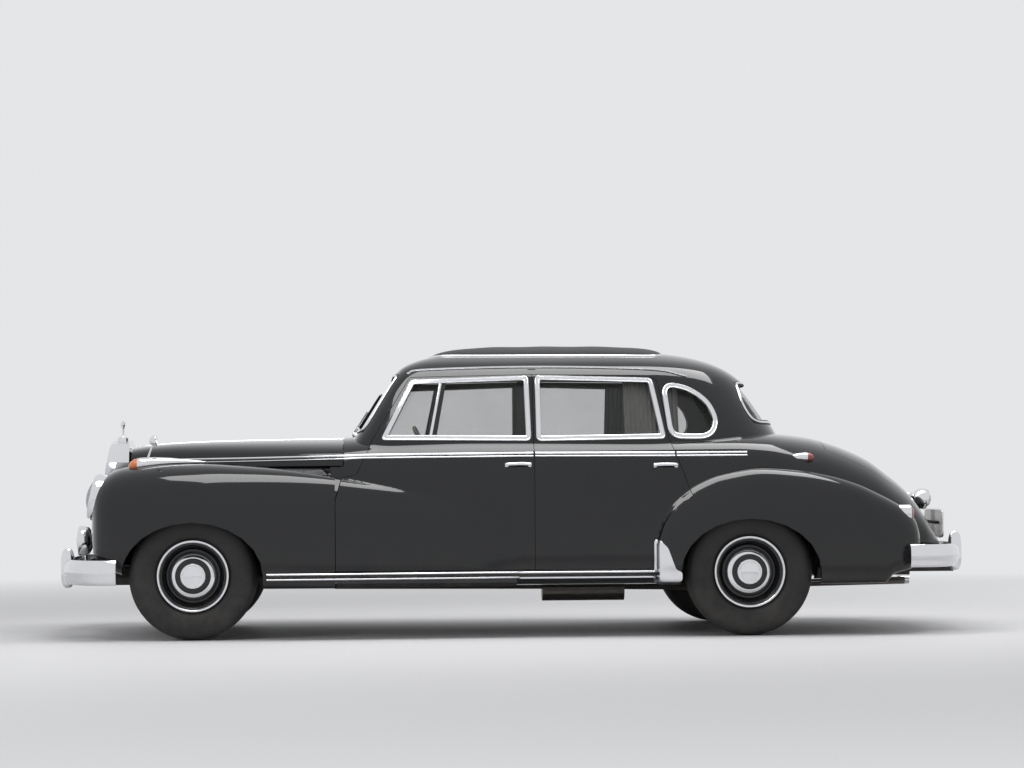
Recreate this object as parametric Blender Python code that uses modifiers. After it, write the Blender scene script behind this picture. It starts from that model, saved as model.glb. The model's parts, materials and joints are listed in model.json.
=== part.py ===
"""A full-size four-door saloon car of the early 1950s, as an assembly of separate panels.

Frame: X runs to the rear, Y to the car's right and Z up, in metres. The origin is on the ground
under the middle of the car's length. The left side is -Y.
Tables named SHARES hold outlines as shares: x of the length, y of half the width, z of the roof height.
"""

import math

import bmesh
import bpy
from mathutils import Matrix, Vector

# Driving sizes
LENGTH = 5.065
WIDTH = 1.838
ROOF_HEIGHT = 1.600
WHEELBASE = 3.050
FRONT_OVERHANG = 0.755
FRONT_TRACK = 1.480
REAR_TRACK = 1.525
TYRE_RADIUS = 0.350
TYRE_WIDTH = 0.185
RIM_RADIUS = 0.192
RIM_WIDTH = 0.140

# Walls and gaps
SEAT_GAP = 0.0003
SLOPE_GAP = 0.003
SHEET_GAP = 0.0022
LAMP_GAP = 0.0015
PANEL_GAP = 0.006
HINGE_GAP = 0.010
OVERRUN = 0.050
SIDE_WALL = 0.070
ROOF_WALL = 0.045
FENDER_WALL = 0.016
LID_WALL = 0.024
GLASS_THICKNESS = 0.006
GLASS_DEPTH = 0.022
FLOOR_THICKNESS = 0.030
BULKHEAD = 0.040

# Worked out from the driving sizes
HALF_WIDTH = WIDTH / 2
FRONT_AXLE_X = FRONT_OVERHANG - LENGTH / 2
REAR_AXLE_X = FRONT_AXLE_X + WHEELBASE
HUB_Z = TYRE_RADIUS
LEFT, RIGHT = -1, 1
SIDES = ((LEFT, "left"), (RIGHT, "right"))
HULL_RING = 24
INNER_RING = 24
FENDER_RING = 16


def at_x(share):
    return share * LENGTH


def at_y(share):
    return share * HALF_WIDTH


def at_z(share):
    return share * ROOF_HEIGHT


# Smooth curves through tables of shares


def curve_value(shares, share):
    """Cubic through a table of (place, value) rows, flat where the table turns, ends held."""
    if share <= shares[0][0]:
        return shares[0][1]
    if share >= shares[-1][0]:
        return shares[-1][1]
    index = max(i for i in range(len(shares) - 1) if shares[i][0] <= share)

    def slope(i):
        if i in (0, len(shares) - 1):
            j = min(max(i, 1), len(shares) - 1)
            return (shares[j][1] - shares[j - 1][1]) / (shares[j][0] - shares[j - 1][0])
        before = (shares[i][1] - shares[i - 1][1]) / (shares[i][0] - shares[i - 1][0])
        after = (shares[i + 1][1] - shares[i][1]) / (shares[i + 1][0] - shares[i][0])
        if before * after <= 0:
            return 0
        return 2 * before * after / (before + after)

    (x0, y0), (x1, y1) = shares[index], shares[index + 1]
    step = x1 - x0
    t = (share - x0) / step
    m0, m1 = slope(index) * step, slope(index + 1) * step
    return (
        (2 * t**3 - 3 * t**2 + 1) * y0
        + (t**3 - 2 * t**2 + t) * m0
        + (3 * t**2 - 2 * t**3) * y1
        + (t**3 - t**2) * m1
    )


# Scene and material helpers


def clear_scene():
    for thing in list(bpy.data.objects):
        bpy.data.objects.remove(thing, do_unlink=True)


def new_collection(name):
    group = bpy.data.collections.new(name)
    bpy.context.scene.collection.children.link(group)
    return group


def principled(name, colour, roughness, metallic, transmission=0.0):
    material = bpy.data.materials.new(name)
    material.use_nodes = True
    shader = material.node_tree.nodes["Principled BSDF"]
    shader.inputs["Base Color"].default_value = (*colour, 1)
    shader.inputs["Roughness"].default_value = roughness
    shader.inputs["Metallic"].default_value = metallic
    shader.inputs["Transmission Weight"].default_value = transmission
    return material


clear_scene()
CAR = new_collection("saloon_car")
CUTTERS = new_collection("cutters")
PAINT = principled("black_paint", (0.008, 0.010, 0.016), 0.12, 0.0)
CHROME = principled("chrome", (0.72, 0.73, 0.75), 0.08, 1.0)
GLASS = principled("window_glass", (0.60, 0.66, 0.64), 0.03, 0.0, 0.9)
LENS = principled("lamp_glass", (0.85, 0.86, 0.84), 0.06, 0.0)
AMBER = principled("amber_lens", (0.80, 0.30, 0.03), 0.12, 0.0)
RED_LENS = principled("red_lens", (0.45, 0.02, 0.02), 0.12, 0.0)
RUBBER = principled("tyre_rubber", (0.020, 0.020, 0.021), 0.70, 0.0)
FRAME_BLACK = principled("chassis_black", (0.025, 0.025, 0.027), 0.55, 0.2)
CAST_IRON = principled("cast_iron", (0.14, 0.14, 0.15), 0.50, 0.8)
STEEL = principled("steel", (0.32, 0.32, 0.33), 0.40, 0.9)
CLOTH = principled("seat_cloth", (0.22, 0.20, 0.17), 0.85, 0.0)
WALNUT = principled("walnut", (0.16, 0.07, 0.03), 0.25, 0.0)
CANVAS = principled("roof_canvas", (0.020, 0.020, 0.022), 0.80, 0.0)
BAKELITE = principled("bakelite", (0.55, 0.50, 0.40), 0.30, 0.0)


# Mesh helpers


def make_object(name, mesh, material, group):
    thing = bpy.data.objects.new(name, mesh)
    group.objects.link(thing)
    if group is CUTTERS:
        thing.hide_render = True
        thing.display_type = "WIRE"
    if material:
        mesh.materials.append(material)
    return thing


def finish_mesh(name, shape, material, group, smooth_angle=math.radians(32)):
    bmesh.ops.recalc_face_normals(shape, faces=shape.faces)
    mesh = bpy.data.meshes.new(name)
    shape.to_mesh(mesh)
    shape.free()
    mesh.shade_smooth()
    mesh.set_sharp_from_angle(angle=smooth_angle)
    return make_object(name, mesh, material, group)


def loft(name, rings, material=None, group=CUTTERS):
    """Skin over closed rings with the same number of points, with both ends capped."""
    shape = bmesh.new()
    rows = [[shape.verts.new(point) for point in ring] for ring in rings]
    count = len(rings[0])
    for row, following in zip(rows, rows[1:]):
        for i in range(count):
            j = (i + 1) % count
            shape.faces.new((row[i], row[j], following[j], following[i]))
    shape.faces.new(rows[0])
    shape.faces.new(rows[-1])
    return finish_mesh(name, shape, material, group)


def side_prism(name, outline, inner_y, outer_y, material=None, group=CUTTERS):
    """A side-view outline of (x, z) points, drawn out along Y."""
    rings = [[(x, y, z) for x, z in outline] for y in (inner_y, outer_y)]
    return loft(name, rings, material, group)


def front_prism(name, outline, from_x, to_x, material=None, group=CUTTERS):
    """A front-view outline of (y, z) points, drawn out along X."""
    rings = [[(x, y, z) for y, z in outline] for x in (from_x, to_x)]
    return loft(name, rings, material, group)


def plan_prism(name, outline, from_z, to_z, material=None, group=CUTTERS):
    """A plan outline of (x, y) points, drawn out along Z."""
    rings = [[(x, y, z) for x, y in outline] for z in (from_z, to_z)]
    return loft(name, rings, material, group)


def block(name, low, high, material=None, group=CUTTERS):
    shape = bmesh.new()
    size = [b - a for a, b in zip(low, high)]
    middle = [(a + b) / 2 for a, b in zip(low, high)]
    place = Matrix.Translation(middle) @ Matrix.Diagonal((*size, 1))
    bmesh.ops.create_cube(shape, size=1, matrix=place)
    return finish_mesh(name, shape, material, group)


AXIS_TURNS = {
    "X": Matrix.Rotation(math.pi / 2, 4, "Y"),
    "Y": Matrix.Rotation(math.pi / 2, 4, "X"),
    "Z": Matrix.Identity(4),
}


def cylinder(name, radius, depth, axis, centre, material=None, group=CUTTERS, segments=32, top=None):
    shape = bmesh.new()
    bmesh.ops.create_cone(
        shape,
        cap_ends=True,
        segments=segments,
        radius1=radius,
        radius2=radius if top is None else top,
        depth=depth,
        matrix=Matrix.Translation(centre) @ AXIS_TURNS[axis],
    )
    return finish_mesh(name, shape, material, group)


def ball(name, radius, centre, material=None, group=CUTTERS, segments=16):
    shape = bmesh.new()
    bmesh.ops.create_uvsphere(
        shape, u_segments=segments, v_segments=segments // 2, radius=radius,
        matrix=Matrix.Translation(centre),
    )
    return finish_mesh(name, shape, material, group)


def turned(name, profile, axis, centre, direction=1, segments=32, material=None, group=CUTTERS):
    """A closed profile of (along, radius) points turned about an axis through the centre."""
    turn = {"X": Vector((1, 0, 0)), "Y": Vector((0, 1, 0)), "Z": Vector((0, 0, 1))}[axis]
    across = {"X": Vector((0, 1, 0)), "Y": Vector((0, 0, 1)), "Z": Vector((1, 0, 0))}[axis]
    other = turn.cross(across)
    shape = bmesh.new()
    closed = all(radius > 0 for _, radius in profile)
    columns = []
    for i in range(segments):
        angle = 2 * math.pi * i / segments
        out = across * math.cos(angle) + other * math.sin(angle)
        columns.append([
            shape.verts.new(Vector(centre) + turn * (along * direction) + out * radius)
            for along, radius in profile
        ])
    for i in range(segments):
        here, there = columns[i], columns[(i + 1) % segments]
        pairs = list(zip(range(len(profile)), range(1, len(profile))))
        if closed:
            pairs.append((len(profile) - 1, 0))
        for a, b in pairs:
            shape.faces.new((here[a], here[b], there[b], there[a]))
    bmesh.ops.remove_doubles(shape, verts=shape.verts, dist=SEAT_GAP / 10)
    bmesh.ops.dissolve_degenerate(shape, edges=shape.edges, dist=SEAT_GAP / 10)
    return finish_mesh(name, shape, material, group)


def tube(name, points, radius, material=None, group=CUTTERS, resolution=1):
    """A round bar along straight runs between points, as a mesh with welded caps."""
    data = bpy.data.curves.new(name + "_line", "CURVE")
    data.dimensions = "3D"
    data.bevel_depth = radius
    data.bevel_resolution = resolution
    data.use_fill_caps = True
    line = data.splines.new("POLY")
    line.points.add(len(points) - 1)
    for knot, point in zip(line.points, points):
        knot.co = (*point, 1)
    holder = bpy.data.objects.new(name + "_line", data)
    CUTTERS.objects.link(holder)
    graph = bpy.context.evaluated_depsgraph_get()
    mesh = bpy.data.meshes.new_from_object(holder.evaluated_get(graph))
    shape = bmesh.new()
    shape.from_mesh(mesh)
    bmesh.ops.remove_doubles(shape, verts=shape.verts, dist=SEAT_GAP / 10)
    bpy.data.objects.remove(holder)
    bpy.data.meshes.remove(mesh)
    return finish_mesh(name, shape, material, group)


def boolean(target, tool, operation):
    step = target.modifiers.new(operation.lower() + "_" + tool.name, "BOOLEAN")
    step.operation = operation
    step.object = tool
    step.solver = "EXACT"
    return target


def cut(target, *tools):
    for tool in tools:
        boolean(target, tool, "DIFFERENCE")
    return target


def keep(target, tool):
    return boolean(target, tool, "INTERSECT")


def fuse(target, *tools):
    for tool in tools:
        boolean(target, tool, "UNION")
    return target


def settle(thing, material=None, group=None, name=None):
    """The thing with its modifiers applied, as a new object."""
    graph = bpy.context.evaluated_depsgraph_get()
    mesh = bpy.data.meshes.new_from_object(thing.evaluated_get(graph))
    shape = bmesh.new()
    shape.from_mesh(mesh)
    bmesh.ops.dissolve_degenerate(shape, edges=shape.edges, dist=SEAT_GAP / 10)
    bpy.data.meshes.remove(mesh)
    label = name or thing.name
    home = group or CUTTERS
    bpy.data.objects.remove(thing, do_unlink=True)
    return finish_mesh(label, shape, material, home)


def bevelled(thing, width, segments=2, angle=math.radians(40)):
    step = thing.modifiers.new("round_edges", "BEVEL")
    step.width = width
    step.segments = segments
    step.limit_method = "ANGLE"
    step.angle_limit = angle
    return thing


def pivot(thing, point):
    """Moves an object's origin to a point on its joint's axis and leaves its shape in place."""
    thing.data.transform(Matrix.Translation(-Vector(point)))
    thing.location = point
    return thing


def mirrored(thing, name):
    """A copy of a left-hand piece for the right-hand side, with its own mesh."""
    mesh = thing.data.copy()
    mesh.name = name
    mesh.transform(Matrix.Diagonal((1, -1, 1, 1)))
    mesh.flip_normals()
    copy = bpy.data.objects.new(name, mesh)
    CAR.objects.link(copy)
    x, y, z = thing.location
    copy.location = (x, -y, z)
    return copy


def offset_outline(points, distance):
    """A closed outline moved outward by a distance, with mitred corners."""
    area = sum(a[0] * b[1] - b[0] * a[1] for a, b in zip(points, points[1:] + points[:1]))
    sign = 1 if area > 0 else -1
    moved = []
    for i, point in enumerate(points):
        before, after = Vector(points[i - 1]), Vector(points[(i + 1) % len(points)])
        here = Vector(point)
        first, second = (here - before).normalized(), (after - here).normalized()
        normal_a = Vector((first.y, -first.x)) * sign
        normal_b = Vector((second.y, -second.x)) * sign
        mitre = (normal_a + normal_b).normalized()
        moved.append(tuple(here + mitre * (distance / max(mitre.dot(normal_a), 0.4))))
    return moved


def from_shares(shares):
    return [(at_x(x), at_z(z)) for x, z in shares]


def superellipse(angle, power):
    """Point of the unit superellipse in the direction of the angle."""
    c, s = math.cos(angle), math.sin(angle)
    size = (abs(c) ** power + abs(s) ** power) ** (-1 / power)
    return c * size, s * size


# Lower body: sections across the car from the cowl to the tail

HULL_STATION_SHARES = (
    -0.2034, -0.160, -0.110, -0.040, 0.080, 0.178, 0.230, 0.276,
    0.299, 0.330, 0.352, 0.376, 0.399, 0.421, 0.4385, 0.450, 0.466, 0.474,
)
HULL_HALF_WIDTH_SHARES = (
    (-0.2034, 0.870), (-0.148, 0.898), (-0.040, 0.914), (0.080, 0.914), (0.178, 0.898),
    (0.276, 0.860), (0.3554, 0.805), (0.4146, 0.735), (0.454, 0.635), (0.474, 0.520),
)
HULL_TOP_SHARES = (
    (-0.2034, 0.690), (-0.148, 0.697), (-0.040, 0.700), (0.276, 0.700), (0.299, 0.696),
    (0.330, 0.685), (0.352, 0.668), (0.376, 0.6425), (0.399, 0.609), (0.4213, 0.559),
    (0.4385, 0.515), (0.450, 0.475), (0.466, 0.390), (0.474, 0.330),
)
HULL_BOTTOM_SHARES = (
    (-0.2034, 0.175), (0.395, 0.175), (0.405, 0.206), (0.423, 0.223), (0.454, 0.240), (0.474, 0.265),
)
HULL_MIDDLE_SHARES = ((-0.2034, 0.390), (0.276, 0.390), (0.399, 0.360), (0.474, 0.300))
HULL_UPPER_POWER_SHARES = ((-0.2034, 5.0), (-0.100, 6.0), (0.230, 5.5), (0.330, 3.4), (0.421, 2.6), (0.474, 2.3))
HULL_LOWER_POWER_SHARES = ((-0.2034, 9.0), (0.276, 8.0), (0.399, 5.0), (0.474, 3.5))


def hull_ring(station, grow=0.0, count=HULL_RING):
    half = at_y(curve_value(HULL_HALF_WIDTH_SHARES, station)) + grow
    top = at_z(curve_value(HULL_TOP_SHARES, station)) + grow
    bottom = at_z(curve_value(HULL_BOTTOM_SHARES, station)) - grow
    middle = at_z(curve_value(HULL_MIDDLE_SHARES, station))
    upper = curve_value(HULL_UPPER_POWER_SHARES, station)
    lower = curve_value(HULL_LOWER_POWER_SHARES, station)
    ring = []
    for i in range(count):
        angle = 2 * math.pi * i / count
        y, z = superellipse(angle, upper if math.sin(angle) >= 0 else lower)
        height = top - middle if z >= 0 else middle - bottom
        ring.append((at_x(station), y * half, middle + z * height))
    return ring


def hull_solid(name, grow=0.0, stations=HULL_STATION_SHARES):
    rings = [hull_ring(station, grow) for station in stations]
    if grow:
        rings[0] = [(x - grow, y, z) for x, y, z in rings[0]]
        rings[-1] = [(x + grow, y, z) for x, y, z in rings[-1]]
    return loft(name, rings)


def hull_half_at(x, z):
    """Half width of the lower body's outside at a place along the car and a height."""
    station = x / LENGTH
    half = at_y(curve_value(HULL_HALF_WIDTH_SHARES, station))
    top = at_z(curve_value(HULL_TOP_SHARES, station))
    bottom = at_z(curve_value(HULL_BOTTOM_SHARES, station))
    middle = at_z(curve_value(HULL_MIDDLE_SHARES, station))
    power = curve_value(HULL_UPPER_POWER_SHARES if z >= middle else HULL_LOWER_POWER_SHARES, station)
    reach = (z - middle) / (top - middle) if z >= middle else (middle - z) / (middle - bottom)
    return half * max(0, 1 - min(reach, 1) ** power) ** (1 / power)


# Upper cabin: plan rings stacked from the belt to the roof

CABIN_MIDDLE_SHARE = 0.056
CABIN_LEVEL_SHARES = (0.650, 0.675, 0.720, 0.770, 0.820, 0.865, 0.900, 0.928, 0.952, 0.970, 0.986, 0.997)
CABIN_FRONT_SHARES = (
    (0.650, -0.1835), (0.675, -0.1795), (0.750, -0.1643), (0.825, -0.1495), (0.8875, -0.137), (0.918, -0.1295),
    (0.934, -0.124), (0.956, -0.110), (0.975, -0.088), (0.9875, -0.060), (0.995, -0.025), (1.0, 0.035),
)
CABIN_REAR_SHARES = (
    (0.650, 0.306), (0.675, 0.303), (0.750, 0.290), (0.825, 0.275), (0.8875, 0.2595), (0.918, 0.247),
    (0.934, 0.238), (0.956, 0.221), (0.975, 0.198), (0.9875, 0.170), (0.995, 0.130), (1.0, 0.075),
)
CABIN_HALF_WIDTH_SHARES = (
    (0.650, 0.828), (0.675, 0.820), (0.750, 0.780), (0.825, 0.732), (0.8875, 0.684), (0.918, 0.648),
    (0.944, 0.590), (0.969, 0.480), (0.984, 0.370), (0.995, 0.220), (1.0, 0.080),
)
WINDSCREEN_POWER = 11.0
BACK_POWER = 3.2
BACK_ANGLES_DEG = (0, 15, 30, 42, 54, 70)
FRONT_ANGLES_DEG = (90, 112, 125, 131, 135, 139, 145, 158)


def cabin_angles():
    """Angles round a plan ring, closer together at the tight corners beside the windscreen."""
    half = BACK_ANGLES_DEG + FRONT_ANGLES_DEG
    return [math.radians(a) for a in half + (180,) + tuple(360 - a for a in reversed(half[1:]))]


def cabin_ring(level, grow):
    middle = at_x(CABIN_MIDDLE_SHARE)
    front = middle - at_x(curve_value(CABIN_FRONT_SHARES, level)) + grow
    rear = at_x(curve_value(CABIN_REAR_SHARES, level)) - middle + grow
    half = at_y(curve_value(CABIN_HALF_WIDTH_SHARES, level)) + grow
    base = CABIN_LEVEL_SHARES[0]
    height = at_z(base) + (at_z(level) - at_z(base)) * (at_z(1 - base) + grow) / at_z(1 - base)
    ring = []
    for angle in cabin_angles():
        x, y = superellipse(angle, BACK_POWER if math.cos(angle) >= 0 else WINDSCREEN_POWER)
        ring.append((middle + x * (rear if x >= 0 else front), y * half, height))
    return ring


def cabin_solid(name, grow=0.0, lowest=None):
    rings = [cabin_ring(level, grow) for level in CABIN_LEVEL_SHARES]
    if lowest is not None:
        rings[0] = [(x, y, lowest) for x, y, z in rings[0]]
    return loft(name, rings)


def skin_y(z):
    """Half width of the cabin side's outside at a height, at the middle of the car."""
    share = z / ROOF_HEIGHT
    if share >= CABIN_LEVEL_SHARES[0]:
        return at_y(curve_value(CABIN_HALF_WIDTH_SHARES, share))
    return hull_half_at(0, z)


# Front fenders: sections from the lamp to the tail that fades out on the door

FENDER_STATION_SHARES = (
    -0.461, -0.4585, -0.454, -0.447, -0.437, -0.425, -0.405, -0.375, -0.343, -0.300, -0.257,
    -0.214, -0.190, -0.160, -0.128, -0.085, -0.041, -0.002,
)
FENDER_OUTER_SHARES = (
    (-0.461, 0.755), (-0.4585, 0.800), (-0.454, 0.845), (-0.447, 0.880), (-0.437, 0.910), (-0.405, 0.955),
    (-0.375, 0.978), (-0.320, 0.996), (-0.257, 1.000), (-0.196, 0.988), (-0.128, 0.966), (-0.060, 0.940),
    (-0.002, 0.905),
)
FENDER_INNER_SHARES = (
    (-0.461, 0.560), (-0.4585, 0.500), (-0.454, 0.420), (-0.447, 0.340), (-0.437, 0.285), (-0.425, 0.275),
    (-0.375, 0.360), (-0.320, 0.465), (-0.257, 0.575), (-0.196, 0.700), (-0.128, 0.740), (-0.002, 0.760),
)
FENDER_TOP_SHARES = (
    (-0.461, 0.485), (-0.4585, 0.515), (-0.454, 0.540), (-0.447, 0.562), (-0.437, 0.581), (-0.425, 0.5915),
    (-0.405, 0.5985), (-0.375, 0.602), (-0.343, 0.601), (-0.300, 0.593), (-0.257, 0.581), (-0.214, 0.561),
    (-0.171, 0.539), (-0.128, 0.518), (-0.0845, 0.489), (-0.041, 0.451), (-0.002, 0.410),
)
FENDER_MIDDLE_SHARES = ((-0.461, 0.400), (-0.425, 0.360), (-0.214, 0.350), (-0.128, 0.345), (-0.002, 0.320))
FENDER_FLOOR_SHARES = (
    (-0.461, 0.330), (-0.4585, 0.290), (-0.454, 0.268), (-0.437, 0.235), (-0.425, 0.220), (-0.400, 0.175),
    (-0.002, 0.175),
)
FENDER_VALLEY_SHARES = (
    (-0.461, 0.300), (-0.340, 0.585), (-0.2140, 0.585), (-0.1968, 0.540), (-0.160, 0.300), (-0.002, 0.300),
)
FENDER_LOWER_POWER = 7.0
FENDER_CROWN_POWER = 2.7
FENDER_VALLEY_POWER = 6.0


def fender_ring(station, side, grow, count=FENDER_RING):
    """Section of a fender; one that shrinks for the hollow runs out below."""
    outer = at_y(curve_value(FENDER_OUTER_SHARES, station)) + grow
    inner = at_y(curve_value(FENDER_INNER_SHARES, station)) - grow
    top = at_z(curve_value(FENDER_TOP_SHARES, station)) + grow
    valley = max(at_z(curve_value(FENDER_VALLEY_SHARES, station)) + grow, top)
    middle = at_z(curve_value(FENDER_MIDDLE_SHARES, station))
    bottom = at_z(curve_value(FENDER_FLOOR_SHARES, station)) - (grow if grow >= 0 else OVERRUN)
    ring = []
    for i in range(count):
        angle = 2 * math.pi * i / count
        c, s = math.cos(angle), math.sin(angle)
        power = FENDER_LOWER_POWER if s < 0 else (FENDER_CROWN_POWER if c >= 0 else FENDER_VALLEY_POWER)
        y, z = superellipse(angle, power)
        crest = top + (valley - top) * min(1, max(0, -c) * 2)
        height = crest - middle if z >= 0 else middle - bottom
        ring.append((
            at_x(station),
            side * ((outer + inner) / 2 + y * (outer - inner) / 2),
            middle + z * height,
        ))
    return ring


def front_fender_solid(name, side, grow=0.0, stations=FENDER_STATION_SHARES):
    rings = [fender_ring(station, side, grow) for station in stations]
    if grow > 0:
        rings[0] = [(x - grow, y, z) for x, y, z in rings[0]]
    if grow:
        rings[-1] = [(x + OVERRUN, y, z) for x, y, z in rings[-1]]
    return loft(name, rings)


# Rear fenders: bulges outside the lower body

REAR_FENDER_STATION_SHARES = (
    0.150, 0.153, 0.158, 0.166, 0.178, 0.195, 0.220, 0.251, 0.280, 0.310, 0.340, 0.370, 0.395, 0.415,
    0.430, 0.438, 0.442,
)
REAR_FENDER_OUTER_SHARES = (
    (0.150, 0.915), (0.153, 0.938), (0.158, 0.955), (0.166, 0.972), (0.195, 0.992), (0.251, 1.000),
    (0.310, 0.993), (0.370, 0.965), (0.415, 0.915), (0.430, 0.880), (0.438, 0.845), (0.442, 0.800),
)
REAR_FENDER_TOP_SHARES = (
    (0.150, 0.345), (0.153, 0.375), (0.158, 0.425), (0.166, 0.466), (0.178, 0.500), (0.195, 0.532),
    (0.220, 0.560), (0.263, 0.578), (0.306, 0.567), (0.339, 0.549), (0.372, 0.5175), (0.394, 0.486),
    (0.419, 0.444), (0.430, 0.420), (0.438, 0.390), (0.442, 0.360),
)
REAR_FENDER_FLOOR_SHARES = ((0.150, 0.180), (0.400, 0.177), (0.410, 0.207), (0.430, 0.225), (0.442, 0.250))
REAR_FENDER_INNER_SHARE = 0.620
REAR_FENDER_MIDDLE_SHARE = 0.300
REAR_FENDER_CROWN_POWER = 2.5


def rear_fender_ring(station, side, grow, count=FENDER_RING):
    outer = at_y(curve_value(REAR_FENDER_OUTER_SHARES, station)) + grow
    inner = at_y(REAR_FENDER_INNER_SHARE)
    top = at_z(curve_value(REAR_FENDER_TOP_SHARES, station)) + grow
    bottom = at_z(curve_value(REAR_FENDER_FLOOR_SHARES, station)) - (grow if grow >= 0 else OVERRUN)
    middle = at_z(REAR_FENDER_MIDDLE_SHARE)
    ring = []
    for i in range(count):
        angle = 2 * math.pi * i / count
        c, s = math.cos(angle), math.sin(angle)
        power = FENDER_LOWER_POWER if s < 0 else (REAR_FENDER_CROWN_POWER if c >= 0 else FENDER_VALLEY_POWER)
        y, z = superellipse(angle, power)
        height = top - middle if z >= 0 else middle - bottom
        ring.append((
            at_x(station),
            side * ((outer + inner) / 2 + y * (outer - inner) / 2),
            middle + z * height,
        ))
    return ring


def rear_fender_solid(name, side, grow=0.0):
    rings = [rear_fender_ring(station, side, grow) for station in REAR_FENDER_STATION_SHARES]
    if grow < 0:
        rings = rings[1:-1]
    return loft(name, rings)


# Wheel openings

ARCH_HALF_LENGTH = 0.385
ARCH_RISE = 0.292
WHEELHOUSE_RADIUS = 0.395
WHEELHOUSE_INNER_Y = 0.600
WHEELHOUSE_WALL = 0.028
ARCH_STEPS = 12


def arch_outline(axle_x):
    """Half ellipse over the hub with straight sides down past the ground line."""
    points = []
    for i in range(ARCH_STEPS + 1):
        angle = math.pi * i / ARCH_STEPS
        points.append((axle_x + ARCH_HALF_LENGTH * math.cos(angle), HUB_Z + ARCH_RISE * math.sin(angle)))
    return points + [(axle_x - ARCH_HALF_LENGTH, 0), (axle_x + ARCH_HALF_LENGTH, 0)]


# Side-view outlines of the doors and windows

FRONT_DOOR_SHARES = (
    (-0.1974, 0.2325), (-0.1976, 0.473), (-0.1905, 0.550), (-0.1747, 0.561), (-0.161, 0.650),
    (-0.158, 0.677), (-0.116, 0.8975), (0.018, 0.9055), (0.018, 0.2325),
)
REAR_DOOR_SHARES = (
    (0.018, 0.2325), (0.018, 0.9055), (0.149, 0.900), (0.156, 0.880), (0.161, 0.790), (0.166, 0.684), (0.1832, 0.535),
    (0.190, 0.477), (0.1787, 0.4605), (0.1655, 0.423), (0.1556, 0.369), (0.149, 0.3125), (0.1457, 0.2325),
)
DOOR_SHARES = {"front": FRONT_DOOR_SHARES, "rear": REAR_DOOR_SHARES}
DOOR_REAR_EDGE_SHARES = {"front": 0.0, "rear": 0.130}
FRONT_GLASS_SHARES = ((-0.140, 0.696), (-0.1115, 0.873), (0.0087, 0.885), (0.0100, 0.691))
REAR_GLASS_SHARES = ((0.0263, 0.690), (0.0263, 0.886), (0.146, 0.8756), (0.1568, 0.695))
QUARTER_GLASS_SHARES = (
    (0.1655, 0.862), (0.1714, 0.695), (0.2077, 0.694), (0.2154, 0.715), (0.2178, 0.746), (0.2113, 0.795),
    (0.2004, 0.827), (0.186, 0.851),
)
WINDSCREEN_SHARES = ((-0.713, 0.710), (-0.598, 0.906), (0.598, 0.906), (0.713, 0.710))
REAR_WINDOW_SHARES = ((-0.560, 0.735), (-0.540, 0.800), (-0.440, 0.878), (0.440, 0.878), (0.540, 0.800), (0.560, 0.735))
SIDE_GLASS_SHARES = {
    "front": FRONT_GLASS_SHARES,
    "rear": REAR_GLASS_SHARES,
    "quarter": QUARTER_GLASS_SHARES,
}
VENT_BAR_SHARES = ((-0.0905, 0.685), (-0.0785, 0.885))
VENT_BAR_WIDTH = 0.026
DOOR_INNER_Y_SHARE = 0.52
EDGE_TAPER_SHARES = {"front": 0.34, "rear": 0.46}
PILLAR_HALF_WIDTH = 0.052
PILLAR_TOP_HALF_WIDTH = 0.022
PILLAR_DEPTH_SHARE = 0.52
PILLAR_CLEARANCE = 0.017
PILLAR_LEVEL_SHARES = (0.216, 0.250, 0.310, 0.330, 0.400, 0.550, 0.590, 0.610, 0.640, 0.660, 0.720, 0.770, 0.820, 0.865, 0.900, 0.925)
BUFFER_SIZE = 0.030
BUFFER_LEVEL_SHARES = ((0.310, 0.330), (0.590, 0.610))


def with_levels(shares):
    """A side-view outline in metres, with points added where long edges cross the listed levels."""
    outline = []
    points = from_shares(shares)
    for point, following in zip(points, points[1:] + points[:1]):
        outline.append(point)
        low, high = sorted((point[1], following[1]))
        steps = [at_z(share) for share in DOOR_LEVEL_SHARES if low + PANEL_GAP < at_z(share) < high - PANEL_GAP]
        if following[1] < point[1]:
            steps.reverse()
        for z in steps:
            t = (z - point[1]) / (following[1] - point[1])
            outline.append((point[0] + (following[0] - point[0]) * t, z))
    return outline


def door_prism(name, end, grow, side):
    """A door's side-view outline drawn inward along Y, its rear edge tapered from the skin inward."""
    outline = offset_outline(with_levels(DOOR_SHARES[end]), grow)
    rear_from = at_x(DOOR_REAR_EDGE_SHARES[end])
    deep = at_y(DOOR_INNER_Y_SHARE)
    inner, skin, outer = [], [], []
    for x, z in outline:
        reach = skin_y(min(max(z, at_z(DOOR_LOW_SHARE)), at_z(CABIN_LEVEL_SHARES[6])))
        taper = EDGE_TAPER_SHARES[end] if x > rear_from and grow < 0 else 0
        inner.append((x - taper * (reach - deep), side * deep, z))
        skin.append((x, side * reach, z))
        outer.append((x, side * WIDTH, z))
    return keep(loft(name, [inner, skin, outer]), wall_zone(name + "_zone", side, grow))


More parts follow.
